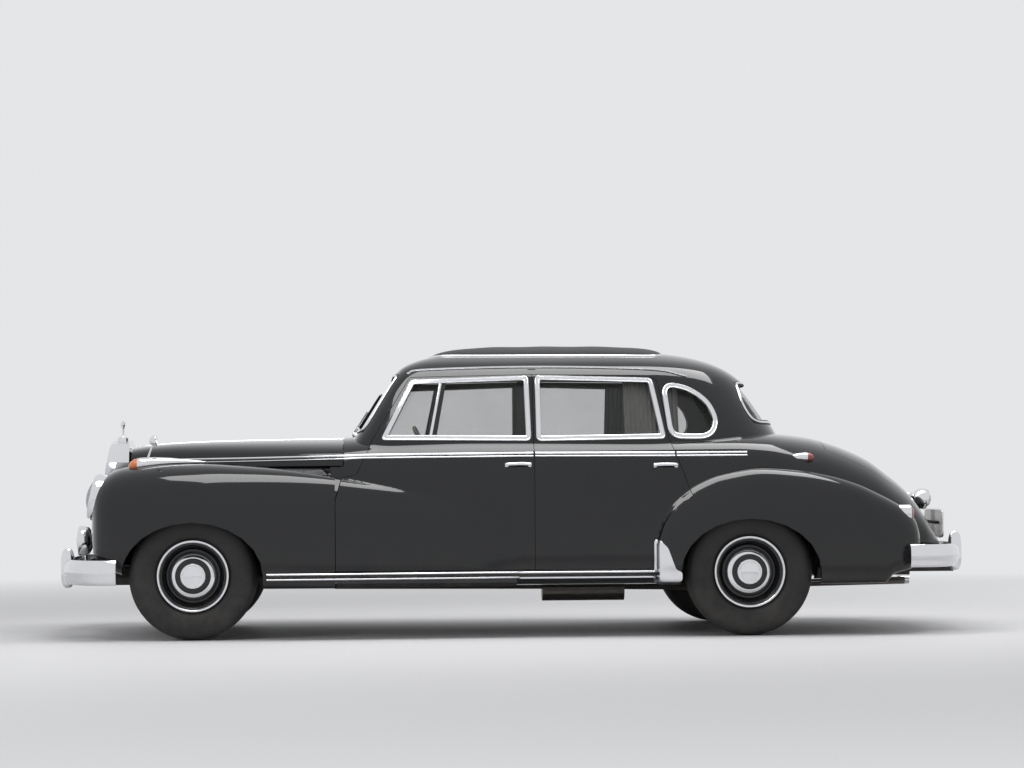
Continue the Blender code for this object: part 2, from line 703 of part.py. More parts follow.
def wall_zone(name, side, grow):
    """Space that the side wall stands in: no deeper than the wall beside the floor."""
    spare = PANEL_GAP if grow > 0 else 0
    depth = SIDE_WALL + DOOR_EXTRA_DEPTH + spare
    stations = [s for s in HULL_STATION_SHARES if s < DOOR_ZONE_END_SHARE]
    plan = [(at_x(s), side * (at_y(curve_value(HULL_HALF_WIDTH_SHARES, s)) - depth)) for s in stations]
    plan[0] = (plan[0][0] - OVERRUN, plan[0][1])
    plan += [(plan[-1][0], side * WIDTH * 2), (plan[0][0], side * WIDTH * 2)]
    low = plan_prism(name, plan, -ROOF_HEIGHT, at_z(DEEP_DOOR_SHARE) + OVERRUN)
    near, far = side * at_y(DOOR_INNER_Y_SHARE) / 2, side * WIDTH * 2
    high = block(
        name + "_high",
        (at_x(DEEP_DOOR_X_SHARE) - spare, min(near, far), at_z(DEEP_DOOR_SHARE) - spare),
        (LENGTH, max(near, far), ROOF_HEIGHT * 2),
    )
    return settle(fuse(low, high))


DOOR_EXTRA_DEPTH = 0.008
DEEP_DOOR_SHARE = 0.5375
DEEP_DOOR_X_SHARE = -0.1787
DOOR_LOW_SHARE = 0.300
DOOR_ZONE_END_SHARE = 0.240
DOOR_LEVEL_SHARES = (0.320, 0.350, 0.450, 0.550, 0.655, 0.720, 0.770, 0.820, 0.865)


# Bonnet: sections from the radiator to the cowl

BONNET_STATION_SHARES = (-0.4260, -0.415, -0.395, -0.370, -0.340, -0.305, -0.270, -0.230, -0.189)
BONNET_HALF_WIDTH_SHARES = (
    (-0.4260, 0.285), (-0.395, 0.335), (-0.340, 0.445), (-0.270, 0.590), (-0.230, 0.672), (-0.189, 0.745),
)
BONNET_TOP_SHARES = ((-0.4260, 0.660), (-0.407, 0.669), (-0.375, 0.677), (-0.330, 0.682), (-0.260, 0.686), (-0.189, 0.6885))
BONNET_BASE_SHARE = 0.592
BONNET_POWER = 3.0
BONNET_WALL = 0.016
BONNET_ARC_STEPS = 12


def bonnet_surface():
    """Open surface: half a superellipse over the engine bay, with a short skirt each side."""
    shape = bmesh.new()
    rows = []
    for station in BONNET_STATION_SHARES:
        half = at_y(curve_value(BONNET_HALF_WIDTH_SHARES, station))
        base = at_z(BONNET_BASE_SHARE)
        rise = at_z(curve_value(BONNET_TOP_SHARES, station)) - base
        row = []
        for i in range(BONNET_ARC_STEPS + 1):
            y, z = superellipse(math.pi * i / BONNET_ARC_STEPS, BONNET_POWER)
            row.append(shape.verts.new((at_x(station), y * half, base + z * rise)))
        rows.append(row)
    for row, following in zip(rows, rows[1:]):
        for i in range(BONNET_ARC_STEPS):
            shape.faces.new((row[i], row[i + 1], following[i + 1], following[i]))
    return shape


def bonnet():
    shape = bonnet_surface()
    thing = finish_mesh("bonnet", shape, PAINT, CAR)
    outward = thing.data.polygons[BONNET_ARC_STEPS // 2].normal.z > 0
    wall = thing.modifiers.new("wall", "SOLIDIFY")
    wall.thickness = BONNET_WALL
    wall.offset = -1 if outward else 1
    wall.use_even_offset = True
    rib = block(
        "bonnet_rib",
        (at_x(BONNET_STATION_SHARES[-1]) - RIB_LENGTH, -RIB_HALF_WIDTH, RIB_Z),
        (at_x(BONNET_STATION_SHARES[-1]) - PANEL_GAP, RIB_HALF_WIDTH, RIB_Z + RIB_HEIGHT),
    )
    fuse(thing, rib)
    return pivot(thing, BONNET_AXIS)


RIB_LENGTH = 0.060
RIB_HALF_WIDTH = 0.250
RIB_HEIGHT = 0.045
RIB_Z = at_z(0.6885) - BONNET_WALL - 0.030
BONNET_AXIS = (at_x(-0.189), 0, at_z(0.6885))

# Boot lid

LID_SIDE_SHARES = ((0.344, 0.600), (0.380, 0.595), (0.410, 0.575), (0.432, 0.530), (0.450, 0.465), (0.4695, 0.360))
LID_BOTTOM_SHARE = 0.325
LID_AXIS = (at_x(0.344), 0, at_z(0.674))
LID_SHELF = 0.050
LID_SHELF_DROP = 0.060


def lid_outline(grow=0.0):
    """Plan outline of the boot lid, wide at its front edge."""
    left = [(at_x(x), -at_y(y)) for x, y in LID_SIDE_SHARES]
    right = [(at_x(x), at_y(y)) for x, y in reversed(LID_SIDE_SHARES)]
    outline = left + [(left[-1][0] + OVERRUN, left[-1][1]), (right[0][0] + OVERRUN, right[0][1])] + right
    return offset_outline(outline, grow)


# Body shell

INNER_STATION_SHARES = (-0.1817, -0.110, -0.040, 0.080, 0.178, 0.2725)
BOOT_STATION_SHARES = (0.2805, 0.300, 0.316, 0.340, 0.376, 0.399, 0.421, 0.4385, 0.454, 0.464)
BOOT_TOP_SHARES = (
    (0.2805, 0.606), (0.300, 0.615), (0.316, 0.655), (0.340, 0.661), (0.376, 0.622), (0.399, 0.587),
    (0.421, 0.537), (0.4385, 0.490), (0.454, 0.430), (0.464, 0.365),
)
FLOOR_Z = 0.420
FLOOR_POWER = 14
REAR_FLOOR_Z = 0.560
FOOTWELL_FLOOR_Z = 0.432
BELT_VOID_HALF_WIDTH = 0.690
REAR_FLOOR_X_SHARE = 0.172
UNDERFLOOR_HALF_WIDTH = 0.700
NOTCH_Z_SHARE = 0.566
NOTCH_X_SHARE = -0.1862
FOOTWELL_X_SHARE = -0.1975
FOOTWELL_TOP_SHARE = 0.540
BOOT_FLOOR_Z = 0.520
BOOT_HALF_WIDTH = 0.640
WHEELHOUSE_SEGMENTS = 28


def cabin_void():
    """The space inside: lower cabin, footwell, upper cabin, less floor step and wheelhouses."""
    void = hull_void("cabin_void", INNER_STATION_SHARES, SIDE_WALL, FLOOR_Z, None)
    roof_void = cabin_solid("roof_void", -ROOF_WALL, at_z(0.645))
    footwell = block(
        "footwell",
        (at_x(FOOTWELL_X_SHARE), -UNDERFLOOR_HALF_WIDTH, FOOTWELL_FLOOR_Z),
        (at_x(INNER_STATION_SHARES[0]) + OVERRUN, UNDERFLOOR_HALF_WIDTH, at_z(FOOTWELL_TOP_SHARE)),
    )
    belt = block(
        "belt_void",
        (at_x(INNER_STATION_SHARES[0]) + SIDE_WALL, -BELT_VOID_HALF_WIDTH, at_z(0.590)),
        (at_x(INNER_STATION_SHARES[-1]) - BULKHEAD, BELT_VOID_HALF_WIDTH, at_z(0.651)),
    )
    fuse(void, footwell, belt, roof_void)
    step = block(
        "rear_floor_step",
        (at_x(REAR_FLOOR_X_SHARE), -WIDTH, 0),
        (at_x(0.474), WIDTH, REAR_FLOOR_Z),
    )
    cut(void, step)
    for side, word in SIDES:
        cut(void, wheelhouse("cabin_wheelhouse_" + word, side, WHEELHOUSE_WALL))
    return settle(void)


def hull_void(name, stations, wall, floor, top_shares):
    rings = []
    for station in stations:
        half = at_y(curve_value(HULL_HALF_WIDTH_SHARES, station)) - wall
        top = at_z(curve_value(top_shares or HULL_TOP_SHARES, station))
        top -= 0 if top_shares else wall
        middle = at_z(curve_value(HULL_MIDDLE_SHARES, station)) + OVERRUN
        power = curve_value(HULL_UPPER_POWER_SHARES, station)
        ring = []
        for i in range(INNER_RING):
            y, z = superellipse(2 * math.pi * i / INNER_RING, power)
            if z < 0:
                y, z = superellipse(2 * math.pi * i / INNER_RING, FLOOR_POWER)
            height = top - middle if z >= 0 else middle - floor
            ring.append((at_x(station), y * half, middle + z * height))
        rings.append(ring)
    return loft(name, rings)


def wheelhouse(name, side, wall=0.0):
    """Round space over a rear wheel, grown by the wall that stands round it."""
    inner = WHEELHOUSE_INNER_Y - wall
    outer = WIDTH
    return cylinder(
        name, WHEELHOUSE_RADIUS + wall, outer - inner, "Y",
        (REAR_AXLE_X, side * (inner + outer) / 2, HUB_Z), segments=WHEELHOUSE_SEGMENTS,
    )


def boot_void():
    void = hull_void("boot_void", BOOT_STATION_SHARES, LID_WALL, BOOT_FLOOR_Z, BOOT_TOP_SHARES)
    sides = block("boot_width", (0, -BOOT_HALF_WIDTH, 0), (LENGTH, BOOT_HALF_WIDTH, ROOF_HEIGHT))
    keep(void, sides)
    for side, word in SIDES:
        cut(void, wheelhouse("boot_wheelhouse_" + word, side, WHEELHOUSE_WALL))
    return settle(void)


def underfloor():
    """Space under the floor for the chassis frame and the rear axle."""
    low = block(
        "underfloor_low",
        (-LENGTH, -UNDERFLOOR_HALF_WIDTH, 0),
        (at_x(REAR_FLOOR_X_SHARE), UNDERFLOOR_HALF_WIDTH, FLOOR_Z - FLOOR_THICKNESS),
    )
    high = block(
        "underfloor_high",
        (at_x(REAR_FLOOR_X_SHARE) - FLOOR_THICKNESS, -WHEELHOUSE_INNER_Y, 0),
        (at_x(0.345), WHEELHOUSE_INNER_Y, REAR_FLOOR_Z - FLOOR_THICKNESS),
    )
    tail = block(
        "underfloor_tail",
        (at_x(0.345) - OVERRUN, -TAIL_HALF_WIDTH, 0),
        (at_x(0.455), TAIL_HALF_WIDTH, BOOT_FLOOR_Z - FLOOR_THICKNESS),
    )
    return [low, high, tail]


TAIL_HALF_WIDTH = 0.560


def shell_solid():
    """Outer form of the lower body and the upper cabin as one solid."""
    outer = hull_solid("shell_outer")
    fuse(outer, cabin_solid("cabin_outer"))
    return settle(outer)


def window_cutters():
    """Every window opening, as cutters that go through the wall."""
    tools = {}
    for side, word in SIDES:
        for label, shares in SIDE_GLASS_SHARES.items():
            name = label + "_opening_" + word
            tools[name] = side_prism(name, from_shares(shares), side * at_y(DOOR_INNER_Y_SHARE), side * WIDTH)
    screen = [(at_y(y), at_z(z)) for y, z in WINDSCREEN_SHARES]
    back = [(at_y(y), at_z(z)) for y, z in REAR_WINDOW_SHARES]
    tools["windscreen_opening"] = front_prism("windscreen_opening", screen, -LENGTH, at_x(-0.115))
    tools["rear_window_opening"] = front_prism("rear_window_opening", back, at_x(0.200), LENGTH)
    return tools


def pillar_face(share, deep=False):
    """Half width of the door pillar's outer face, or of its inner face, at a level."""
    wall = SIDE_WALL if share < 0.65 else ROOF_WALL
    skin = skin_y(at_z(min(share, CABIN_LEVEL_SHARES[6])))
    return skin - wall * (1 if deep else PILLAR_DEPTH_SHARE)


def b_pillar(side, word, clearance=0.0):
    """Inner layer of the side wall between the doors, on which both doors close."""
    seam = at_x(FRONT_DOOR_SHARES[-1][0])
    rings = []
    for share in PILLAR_LEVEL_SHARES:
        z = at_z(share)
        reach = (PILLAR_HALF_WIDTH if share < 0.65 else PILLAR_TOP_HALF_WIDTH) + clearance
        near = side * (pillar_face(share) + (PANEL_GAP if clearance else 0))
        deep = side * (pillar_face(share, True) - clearance)
        rings.append([(seam - reach, near, z), (seam + reach, near, z), (seam + reach, deep, z), (seam - reach, deep, z)])
    return loft("b_pillar_" + word + ("_clear" if clearance else ""), rings)


def pillar_buffers(side, word):
    """Rubber stops on the pillar that both doors rest on when they are shut."""
    seam = at_x(FRONT_DOOR_SHARES[-1][0])
    half = BUFFER_SIZE / 4
    pads = []
    for pair in BUFFER_LEVEL_SHARES:
        for way in (-1, 1):
            x = seam + way * PILLAR_HALF_WIDTH * 0.55
            rings = []
            for share in pair:
                near = side * (pillar_face(share) + PANEL_GAP - SEAT_GAP)
                deep = side * (pillar_face(share) - PANEL_GAP * 2)
                z = at_z(share)
                rings.append([(x - half, near, z), (x + half, near, z), (x + half, deep, z), (x - half, deep, z)])
            pads.append(loft("buffer_%s_%d_%d" % (word, round(pair[0] * 1000), way), rings))
    return pads


def shell_guides():
    """The solids that the body and the doors share."""
    return {
        "cabin": cabin_void(),
        "boot": boot_void(),
        "windows": window_cutters(),
        "underfloor": underfloor(),
    }


def fender_tail(name, side):
    """The part of the front fender's form that runs on behind the door seam."""
    stations = (FENDER_TAIL_SHARE,) + tuple(s for s in FENDER_STATION_SHARES if s > FENDER_TAIL_SHARE)
    return front_fender_solid(name, side, 0.0, stations)


FENDER_TAIL_SHARE = -0.1966
SILL_TOP_SHARE = 0.280


def outer_form(name):
    """Lower body and upper cabin as one solid, the start of the body and of each door."""
    thing = loft(name, [hull_ring(station) for station in HULL_STATION_SHARES], PAINT, CAR)
    return fuse(thing, cabin_solid(name + "_cabin"))


def body_shell(guides):
    """Body with its openings: the left half is worked, then mirrored."""
    thing = outer_form("body_shell")
    tail = fender_tail("body_tail", LEFT)
    keep(tail, block("sill_zone", (-LENGTH, -WIDTH, -ROOF_HEIGHT), (LENGTH, WIDTH, at_z(SILL_TOP_SHARE))))
    fuse(thing, settle(tail))
    cut(thing, guides["cabin"], guides["boot"])
    cut(thing, *guides["underfloor"])
    notch = block(
        "bonnet_notch",
        (-LENGTH, -WIDTH, at_z(NOTCH_Z_SHARE)),
        (at_x(NOTCH_X_SHARE), WIDTH, ROOF_HEIGHT),
    )
    doorways = []
    for end in ("front", "rear"):
        doorways.append(settle(door_prism(end + "_doorway", end, PANEL_GAP / 2, LEFT)))
    cut(thing, *doorways, notch)
    cut(thing, wheelhouse("wheelhouse", LEFT))
    fuse(thing, b_pillar(LEFT, "left"), *pillar_buffers(LEFT, "left"))
    for name in ("quarter_opening_left", "windscreen_opening", "rear_window_opening"):
        cut(thing, guides["windows"][name])
    cut(thing, plan_prism("boot_opening", lid_outline(PANEL_GAP), at_z(LID_BOTTOM_SHARE) - PANEL_GAP, ROOF_HEIGHT))
    shelf = block(
        "lid_shelf",
        (at_x(0.344) - PANEL_GAP - BULKHEAD, -at_y(0.300), LID_SHELF_Z - LID_SHELF_DROP),
        (at_x(0.344) + LID_SHELF, at_y(0.300), LID_SHELF_Z),
    )
    stop = block(
        "bonnet_stop",
        (at_x(NOTCH_X_SHARE) - RIB_LENGTH, -BUFFER_SIZE, at_z(NOTCH_Z_SHARE) - OVERRUN / 2),
        (at_x(NOTCH_X_SHARE) + LID_WALL / 2, BUFFER_SIZE, RIB_Z - SEAT_GAP),
    )
    web = block(
        "lid_shelf_web",
        (at_x(0.344) - PANEL_GAP - BULKHEAD, -at_y(0.300), LID_SHELF_Z - LID_SHELF_DROP / 2),
        (at_x(0.344) - PANEL_GAP * 2, at_y(0.300), at_z(0.672)),
    )
    fuse(thing, settle(fuse(shelf, web)), stop)
    halves = thing.modifiers.new("both_sides", "MIRROR")
    halves.use_axis = (False, True, False)
    halves.use_bisect_axis = (False, True, False)
    halves.use_bisect_flip_axis = (False, True, False)
    halves.merge_threshold = SEAT_GAP / 6
    halves.bisect_threshold = SEAT_GAP / 6
    return thing


LID_SHELF_Z = at_z(0.674) - LID_WALL - 0.055


def door(side, word, end, guides):
    """A door: the side wall between its seams, with its window opening and pillar rebate."""
    front = end == "front"
    name = "door_%s_%s" % (end, word)
    thing = outer_form(name)
    if front:
        fuse(thing, fender_tail(name + "_tail", side))
    else:
        fuse(thing, rear_fender_solid(name + "_bulge", side))
    cut(thing, guides["cabin"])
    keep(thing, settle(door_prism(name + "_form", end, -PANEL_GAP / 2, side)))
    cut(thing, guides["windows"]["%s_opening_%s" % (end, word)])
    cut(thing, b_pillar(side, word + "_" + end, PILLAR_CLEARANCE))
    if front:
        fuse(thing, vent_bar(name, side))
    return pivot(settle(thing, PAINT, CAR, name), door_axis(side, end))


def vent_bar(name, side):
    """Upright divider in the front door's window."""
    (low_x, low_z), (high_x, high_z) = from_shares(VENT_BAR_SHARES)
    half = VENT_BAR_WIDTH / 2
    outline = [(low_x - half, low_z), (low_x + half, low_z), (high_x + half, high_z), (high_x - half, high_z)]
    bar = cabin_solid(name + "_vent_bar")
    cut(bar, cabin_solid(name + "_vent_bar_back", SEAT_GAP - GLASS_DEPTH))
    keep(bar, side_prism(name + "_vent_bar_form", outline, side * at_y(DOOR_INNER_Y_SHARE), side * WIDTH))
    return settle(bar)


def door_axis(side, end):
    """A point on the hinge line: at the outer skin just behind the door's front seam."""
    if end == "front":
        x = at_x(-0.1950)
        return (x, side * (at_y(curve_value(FENDER_OUTER_SHARES, -0.195)) + SEAT_GAP), at_z(0.400))
    x = at_x(0.018) + HINGE_GAP / 2
    return (x, side * (hull_half_at(x, at_z(0.39)) + SEAT_GAP), at_z(0.400))


# Window glass


def glass_sheet(name, opening, side_outline=None):
    """A pane that follows the cabin's surface, set back from it, within an opening."""
    pane = cabin_solid(name, -GLASS_DEPTH)
    cut(pane, cabin_solid(name + "_back", -GLASS_DEPTH - GLASS_THICKNESS))
    keep(pane, opening)
    return pane


def side_glass(side, word, label):
    outline = offset_outline(from_shares(SIDE_GLASS_SHARES[label]), -SEAT_GAP)
    opening = side_prism(label + "_pane_" + word, outline, side * at_y(DOOR_INNER_Y_SHARE), side * WIDTH)
    name = "%s_glass_%s" % (label, word)
    pane = settle(glass_sheet(name, opening), GLASS, CAR, name)
    return pane if label == "quarter" else pivot(pane, door_axis(side, label))


def end_glasses():
    screen = offset_outline([(at_y(y), at_z(z)) for y, z in WINDSCREEN_SHARES], -SEAT_GAP)
    back = offset_outline([(at_y(y), at_z(z)) for y, z in REAR_WINDOW_SHARES], -SEAT_GAP)
    front_opening = front_prism("screen_pane", screen, -LENGTH, at_x(-0.124))
    rear_opening = front_prism("back_pane", back, at_x(0.200), LENGTH)
    settle(glass_sheet("windscreen", front_opening), GLASS, CAR, "windscreen")
    settle(glass_sheet("rear_window", rear_opening), GLASS, CAR, "rear_window")


# Roof cover

SUNROOF_RISE = 0.038
SUNROOF_SHARES = ((-0.0945, 0.430), (-0.085, 0.455), (0.160, 0.455), (0.1695, 0.430))


def sunroof():
    outline = [(at_x(x), -at_y(y)) for x, y in SUNROOF_SHARES]
    outline += [(at_x(x), at_y(y)) for x, y in reversed(SUNROOF_SHARES)]
    thing = cabin_solid("sunroof", SUNROOF_RISE)
    thing_form = plan_prism("sunroof_form", outline, ROOF_HEIGHT / 2, ROOF_HEIGHT * 2)
    keep(thing, thing_form)
    cut(thing, cabin_solid("sunroof_seat", SEAT_GAP))
    return settle(thing, CANVAS, CAR, "sunroof")


# Fenders


def front_fender(side, word):
    """Shell from the lamp to the door seam, open below and at the wheel."""
    name = "front_fender_" + word
    thing = loft(name, [fender_ring(station, side, 0.0) for station in FENDER_STATION_SHARES], PAINT, CAR)
    hollow = front_fender_solid(name + "_inside", side, -FENDER_WALL, FENDER_STATION_SHARES[2:])
    seam = offset_outline(from_shares(FRONT_DOOR_SHARES), PANEL_GAP / 2)[:5]
    behind = [(seam[0][0], 0)] + seam[1:] + [(0, at_z(NOTCH_Z_SHARE)), (at_x(0.1), at_z(NOTCH_Z_SHARE)), (at_x(0.1), 0)]
    cut(thing, side_prism(name + "_behind", behind, 0, side * WIDTH))
    cut(thing, hull_solid(name + "_hull", SEAT_GAP))
    cut(thing, side_prism(name + "_arch", arch_outline(FRONT_AXLE_X), side * ARM_WINDOW_Y, side * WIDTH))
    near, far = side * FENDER_WALL, side * HALF_WIDTH / 2
    arms = block(
        name + "_arms",
        (FRONT_AXLE_X - ARM_WINDOW_LENGTH / 2, min(near, far), 0),
        (FRONT_AXLE_X + ARM_WINDOW_LENGTH / 2, max(near, far), ARM_WINDOW_TOP),
    )
    rail = block(
        name + "_rail",
        (-LENGTH, min(near, far), -ROOF_HEIGHT),
        (at_x(HULL_STATION_SHARES[0]) + OVERRUN, max(near, far), RAIL_WINDOW_TOP),
    )
    cut(thing, arms, rail, headlamp_pocket(side, word), hollow)
    return settle(thing, PAINT, CAR, name)


ARM_WINDOW_Y = 0.500
ARM_WINDOW_LENGTH = 0.520
ARM_WINDOW_TOP = 0.560
RAIL_WINDOW_TOP = 0.400


def rear_fender(side, word):
    name = "rear_fender_" + word
    thing = loft(name, [rear_fender_ring(station, side, 0.0) for station in REAR_FENDER_STATION_SHARES], PAINT, CAR)
    cut(thing, rear_fender_solid(name + "_inside", side, -FENDER_WALL))
    cut(thing, hull_solid(name + "_hull", SHEET_GAP))
    cut(thing, side_prism(name + "_arch", arch_outline(REAR_AXLE_X), 0, side * WIDTH))
    outline = offset_outline(from_shares(REAR_DOOR_SHARES), PANEL_GAP / 2)
    cut(thing, side_prism(name + "_doorway", outline, 0, side * WIDTH))
    return settle(thing, PAINT, CAR, name)


# Lamps

HEADLAMP_RADIUS = 0.128
HEADLAMP_Y = 0.612
HEADLAMP_Z_SHARE = 0.488
HEADLAMP_X_SHARE = -0.4555
HEADLAMP_DEPTH = 0.150
HEADLAMP_TILT = math.radians(12)


def lean(thing, centre, angle):
    """Turns a mesh about a crosswise line through the centre."""
    place = Matrix.Translation(centre) @ Matrix.Rotation(angle, 4, "Y") @ Matrix.Translation(-Vector(centre))
    thing.data.transform(place)
    return thing


def headlamp_place(side):
    return (at_x(HEADLAMP_X_SHARE), side * HEADLAMP_Y, at_z(HEADLAMP_Z_SHARE))


def headlamp_pocket(side, word):
    profile = [
        (-HEADLAMP_RADIUS, 0), (-HEADLAMP_RADIUS, HEADLAMP_RADIUS + SEAT_GAP),
        (HEADLAMP_DEPTH * 0.45, HEADLAMP_RADIUS + SEAT_GAP),
        (HEADLAMP_DEPTH + SEAT_GAP, HEADLAMP_RADIUS * 0.55), (HEADLAMP_DEPTH + SEAT_GAP, 0),
    ]
    centre = headlamp_place(side)
    return lean(turned("headlamp_pocket_" + word, profile, "X", centre), centre, HEADLAMP_TILT)


def headlamp(side, word):
    """Round lamp: bowl, rim and a domed glass, leaning back a little."""
    radius = HEADLAMP_RADIUS
    profile = [
        (HEADLAMP_DEPTH, 0), (HEADLAMP_DEPTH, radius * 0.52), (HEADLAMP_DEPTH * 0.45, radius - SEAT_GAP),
        (-radius * 0.16, radius - SEAT_GAP), (-radius * 0.26, radius * 0.96), (-radius * 0.28, radius * 0.86),
        (-radius * 0.38, radius * 0.70), (-radius * 0.47, radius * 0.42), (-radius * 0.50, 0),
    ]
    centre = headlamp_place(side)
    thing = turned("headlamp_" + word, profile, "X", centre, material=CHROME, group=CAR, segments=20)
    return lean(thing, centre, HEADLAMP_TILT)


TURN_LAMP_SHARES = ((-0.4225, 0.0), (-0.4205, 0.55), (-0.416, 0.90), (-0.409, 1.0), (-0.395, 0.88), (-0.375, 0.62), (-0.355, 0.34), (-0.339, 0.08))
TURN_LAMP_RADIUS = 0.036
TURN_LAMP_Y = 0.660
TURN_LAMP_RISE = 0.012
TEARDROP_RING = 12


def teardrop(name, shares, radius, y, heights, material):
    """Long drop: round sections along X that swell and fade, on a sloping line."""
    rings = []
    for share, size in shares:
        z = heights(share)
        ring_radius = max(radius * size, radius * 0.06)
        rings.append([
            (at_x(share), y + ring_radius * math.cos(2 * math.pi * i / TEARDROP_RING),
             z + ring_radius * math.sin(2 * math.pi * i / TEARDROP_RING))
            for i in range(TEARDROP_RING)
        ])
    return loft(name, rings, material, CAR)


def fender_crown_z(station, side_y):
    outer = at_y(curve_value(FENDER_OUTER_SHARES, station))
    inner = at_y(curve_value(FENDER_INNER_SHARES, station))
    top = at_z(curve_value(FENDER_TOP_SHARES, station))
    middle = at_z(curve_value(FENDER_MIDDLE_SHARES, station))
    reach = (side_y - (outer + inner) / 2) / ((outer - inner) / 2)
    power = FENDER_CROWN_POWER if reach >= 0 else FENDER_VALLEY_POWER
    return middle + (top - middle) * (1 - min(abs(reach), 1) ** power) ** (1 / power)


def turn_lamp(side, word):
    name = "turn_lamp_" + word
    thing = teardrop(
        name, TURN_LAMP_SHARES, TURN_LAMP_RADIUS, side * TURN_LAMP_Y,
        lambda share: fender_crown_z(share, TURN_LAMP_Y) + TURN_LAMP_RISE, CHROME,
    )
    cut(thing, front_fender_solid(name + "_seat", side, SEAT_GAP))
    return settle(thing, CHROME, CAR, name)


SIDE_LAMP_SHARES = ((0.289, 0.08), (0.298, 0.45), (0.308, 0.80), (0.316, 1.0), (0.322, 0.90), (0.3255, 0.55), (0.327, 0.0))
SIDE_LAMP_RADIUS = 0.026
SIDE_LAMP_Z_SHARE = 0.611
SIDE_LAMP_GAP = 0.0012


def side_lamp(side, word):
    name = "side_lamp_" + word
    z = at_z(SIDE_LAMP_Z_SHARE)
    y = hull_half_at(at_x(0.314), z)
    thing = teardrop(name, SIDE_LAMP_SHARES, SIDE_LAMP_RADIUS, side * y, lambda share: z, CHROME)
    cut(thing, hull_solid(name + "_seat", SIDE_LAMP_GAP), cabin_solid(name + "_cabin", SLOPE_GAP))
    return settle(thing, CHROME, CAR, name)


TAIL_LAMP_RADIUS = 0.044
TAIL_LAMP_DEPTH = 0.090
TAIL_LAMP_X_SHARE = 0.427
TAIL_LAMP_Y = 0.735
TAIL_LAMP_Z_SHARE = 0.415


def tail_lamp(side, word):
    name = "tail_lamp_" + word
    radius = TAIL_LAMP_RADIUS
    profile = [
        (-TAIL_LAMP_DEPTH, 0), (-TAIL_LAMP_DEPTH, radius), (radius * 0.35, radius), (radius * 0.75, radius * 0.72),
        (radius * 0.95, radius * 0.35), (radius, 0),
    ]
    centre = (at_x(TAIL_LAMP_X_SHARE), side * TAIL_LAMP_Y, at_z(TAIL_LAMP_Z_SHARE))
    thing = turned(name, profile, "X", centre, material=RED_LENS, group=CAR, segments=16)
    cut(thing, rear_fender_solid(name + "_seat", side, LAMP_GAP))
    cut(thing, hull_solid(name + "_body", SLOPE_GAP))
    return settle(thing, RED_LENS, CAR, name)


# Radiator and grille

SHELL_BACK_X_SHARE = -0.4285
SHELL_TOP_FRONT_X_SHARE = -0.4490
SHELL_LOW_FRONT_X_SHARE = -0.4700
SHELL_SHARES = (
    (0.215, 0.290), (0.250, 0.420), (0.272, 0.560), (0.283, 0.610), (0.262, 0.652), (0.180, 0.676),
    (0.0, 0.689),
)
SHELL_BORDER = 0.040
SHELL_BORDER_LOW = 0.030
GRILLE_SLATS = 11
SLAT_HEIGHT = 0.009
SLAT_DEPTH = 0.030
GRILLE_PEAK = 0.035
GRILLE_SETBACK = 0.020


def shell_outline(grow=0.0):
    right = [(at_y(y), at_z(z)) for y, z in SHELL_SHARES]
    left = [(-y, z) for y, z in reversed(right[:-1])]
    return offset_outline(right + left, grow)


def shell_front_x(z, setback=0.0):
    """The radiator's front leans back: x of its face at a height."""
    low, high = at_z(SHELL_SHARES[0][1]), at_z(SHELL_SHARES[-1][1])
    t = (z - low) / (high - low)
    x = at_x(SHELL_LOW_FRONT_X_SHARE) * (1 - t) + at_x(SHELL_TOP_FRONT_X_SHARE) * t
    return x + setback


def radiator_shell():
    back = at_x(SHELL_BACK_X_SHARE)
    outline = shell_outline()
    rings = [[(back, y, z) for y, z in outline], [(shell_front_x(z), y, z) for y, z in outline]]
    thing = loft("radiator_shell", rings, CHROME, CAR)
    mouth = offset_outline(shell_outline(), -SHELL_BORDER)
    cut(thing, front_prism("radiator_mouth", mouth, -LENGTH, at_x(SHELL_BACK_X_SHARE) - RADIATOR_WEB))
    neck_z = at_z(SHELL_SHARES[-1][1])
    profile = [
        (-CAP_RADIUS * 0.5, 0), (-CAP_RADIUS * 0.5, CAP_RADIUS), (CAP_RADIUS * 0.45, CAP_RADIUS),
        (CAP_RADIUS * 0.65, CAP_RADIUS * 0.75), (CAP_RADIUS * 0.8, CAP_RADIUS * 0.25),
        (CAP_RADIUS * 1.2, CAP_RADIUS * 0.16), (CAP_RADIUS * 2.1, CAP_RADIUS * 0.20),
        (CAP_RADIUS * 2.8, CAP_RADIUS * 0.42), (CAP_RADIUS * 3.3, CAP_RADIUS * 0.36), (CAP_RADIUS * 3.7, 0),
    ]
    cap = turned("radiator_cap", profile, "Z", (at_x(SHELL_TOP_FRONT_X_SHARE) + CAP_RADIUS * 1.5, 0, neck_z), segments=14)
    fuse(thing, cap)
    return settle(thing, CHROME, CAR, "radiator_shell")


CAP_RADIUS = 0.032
RADIATOR_WEB = 0.012


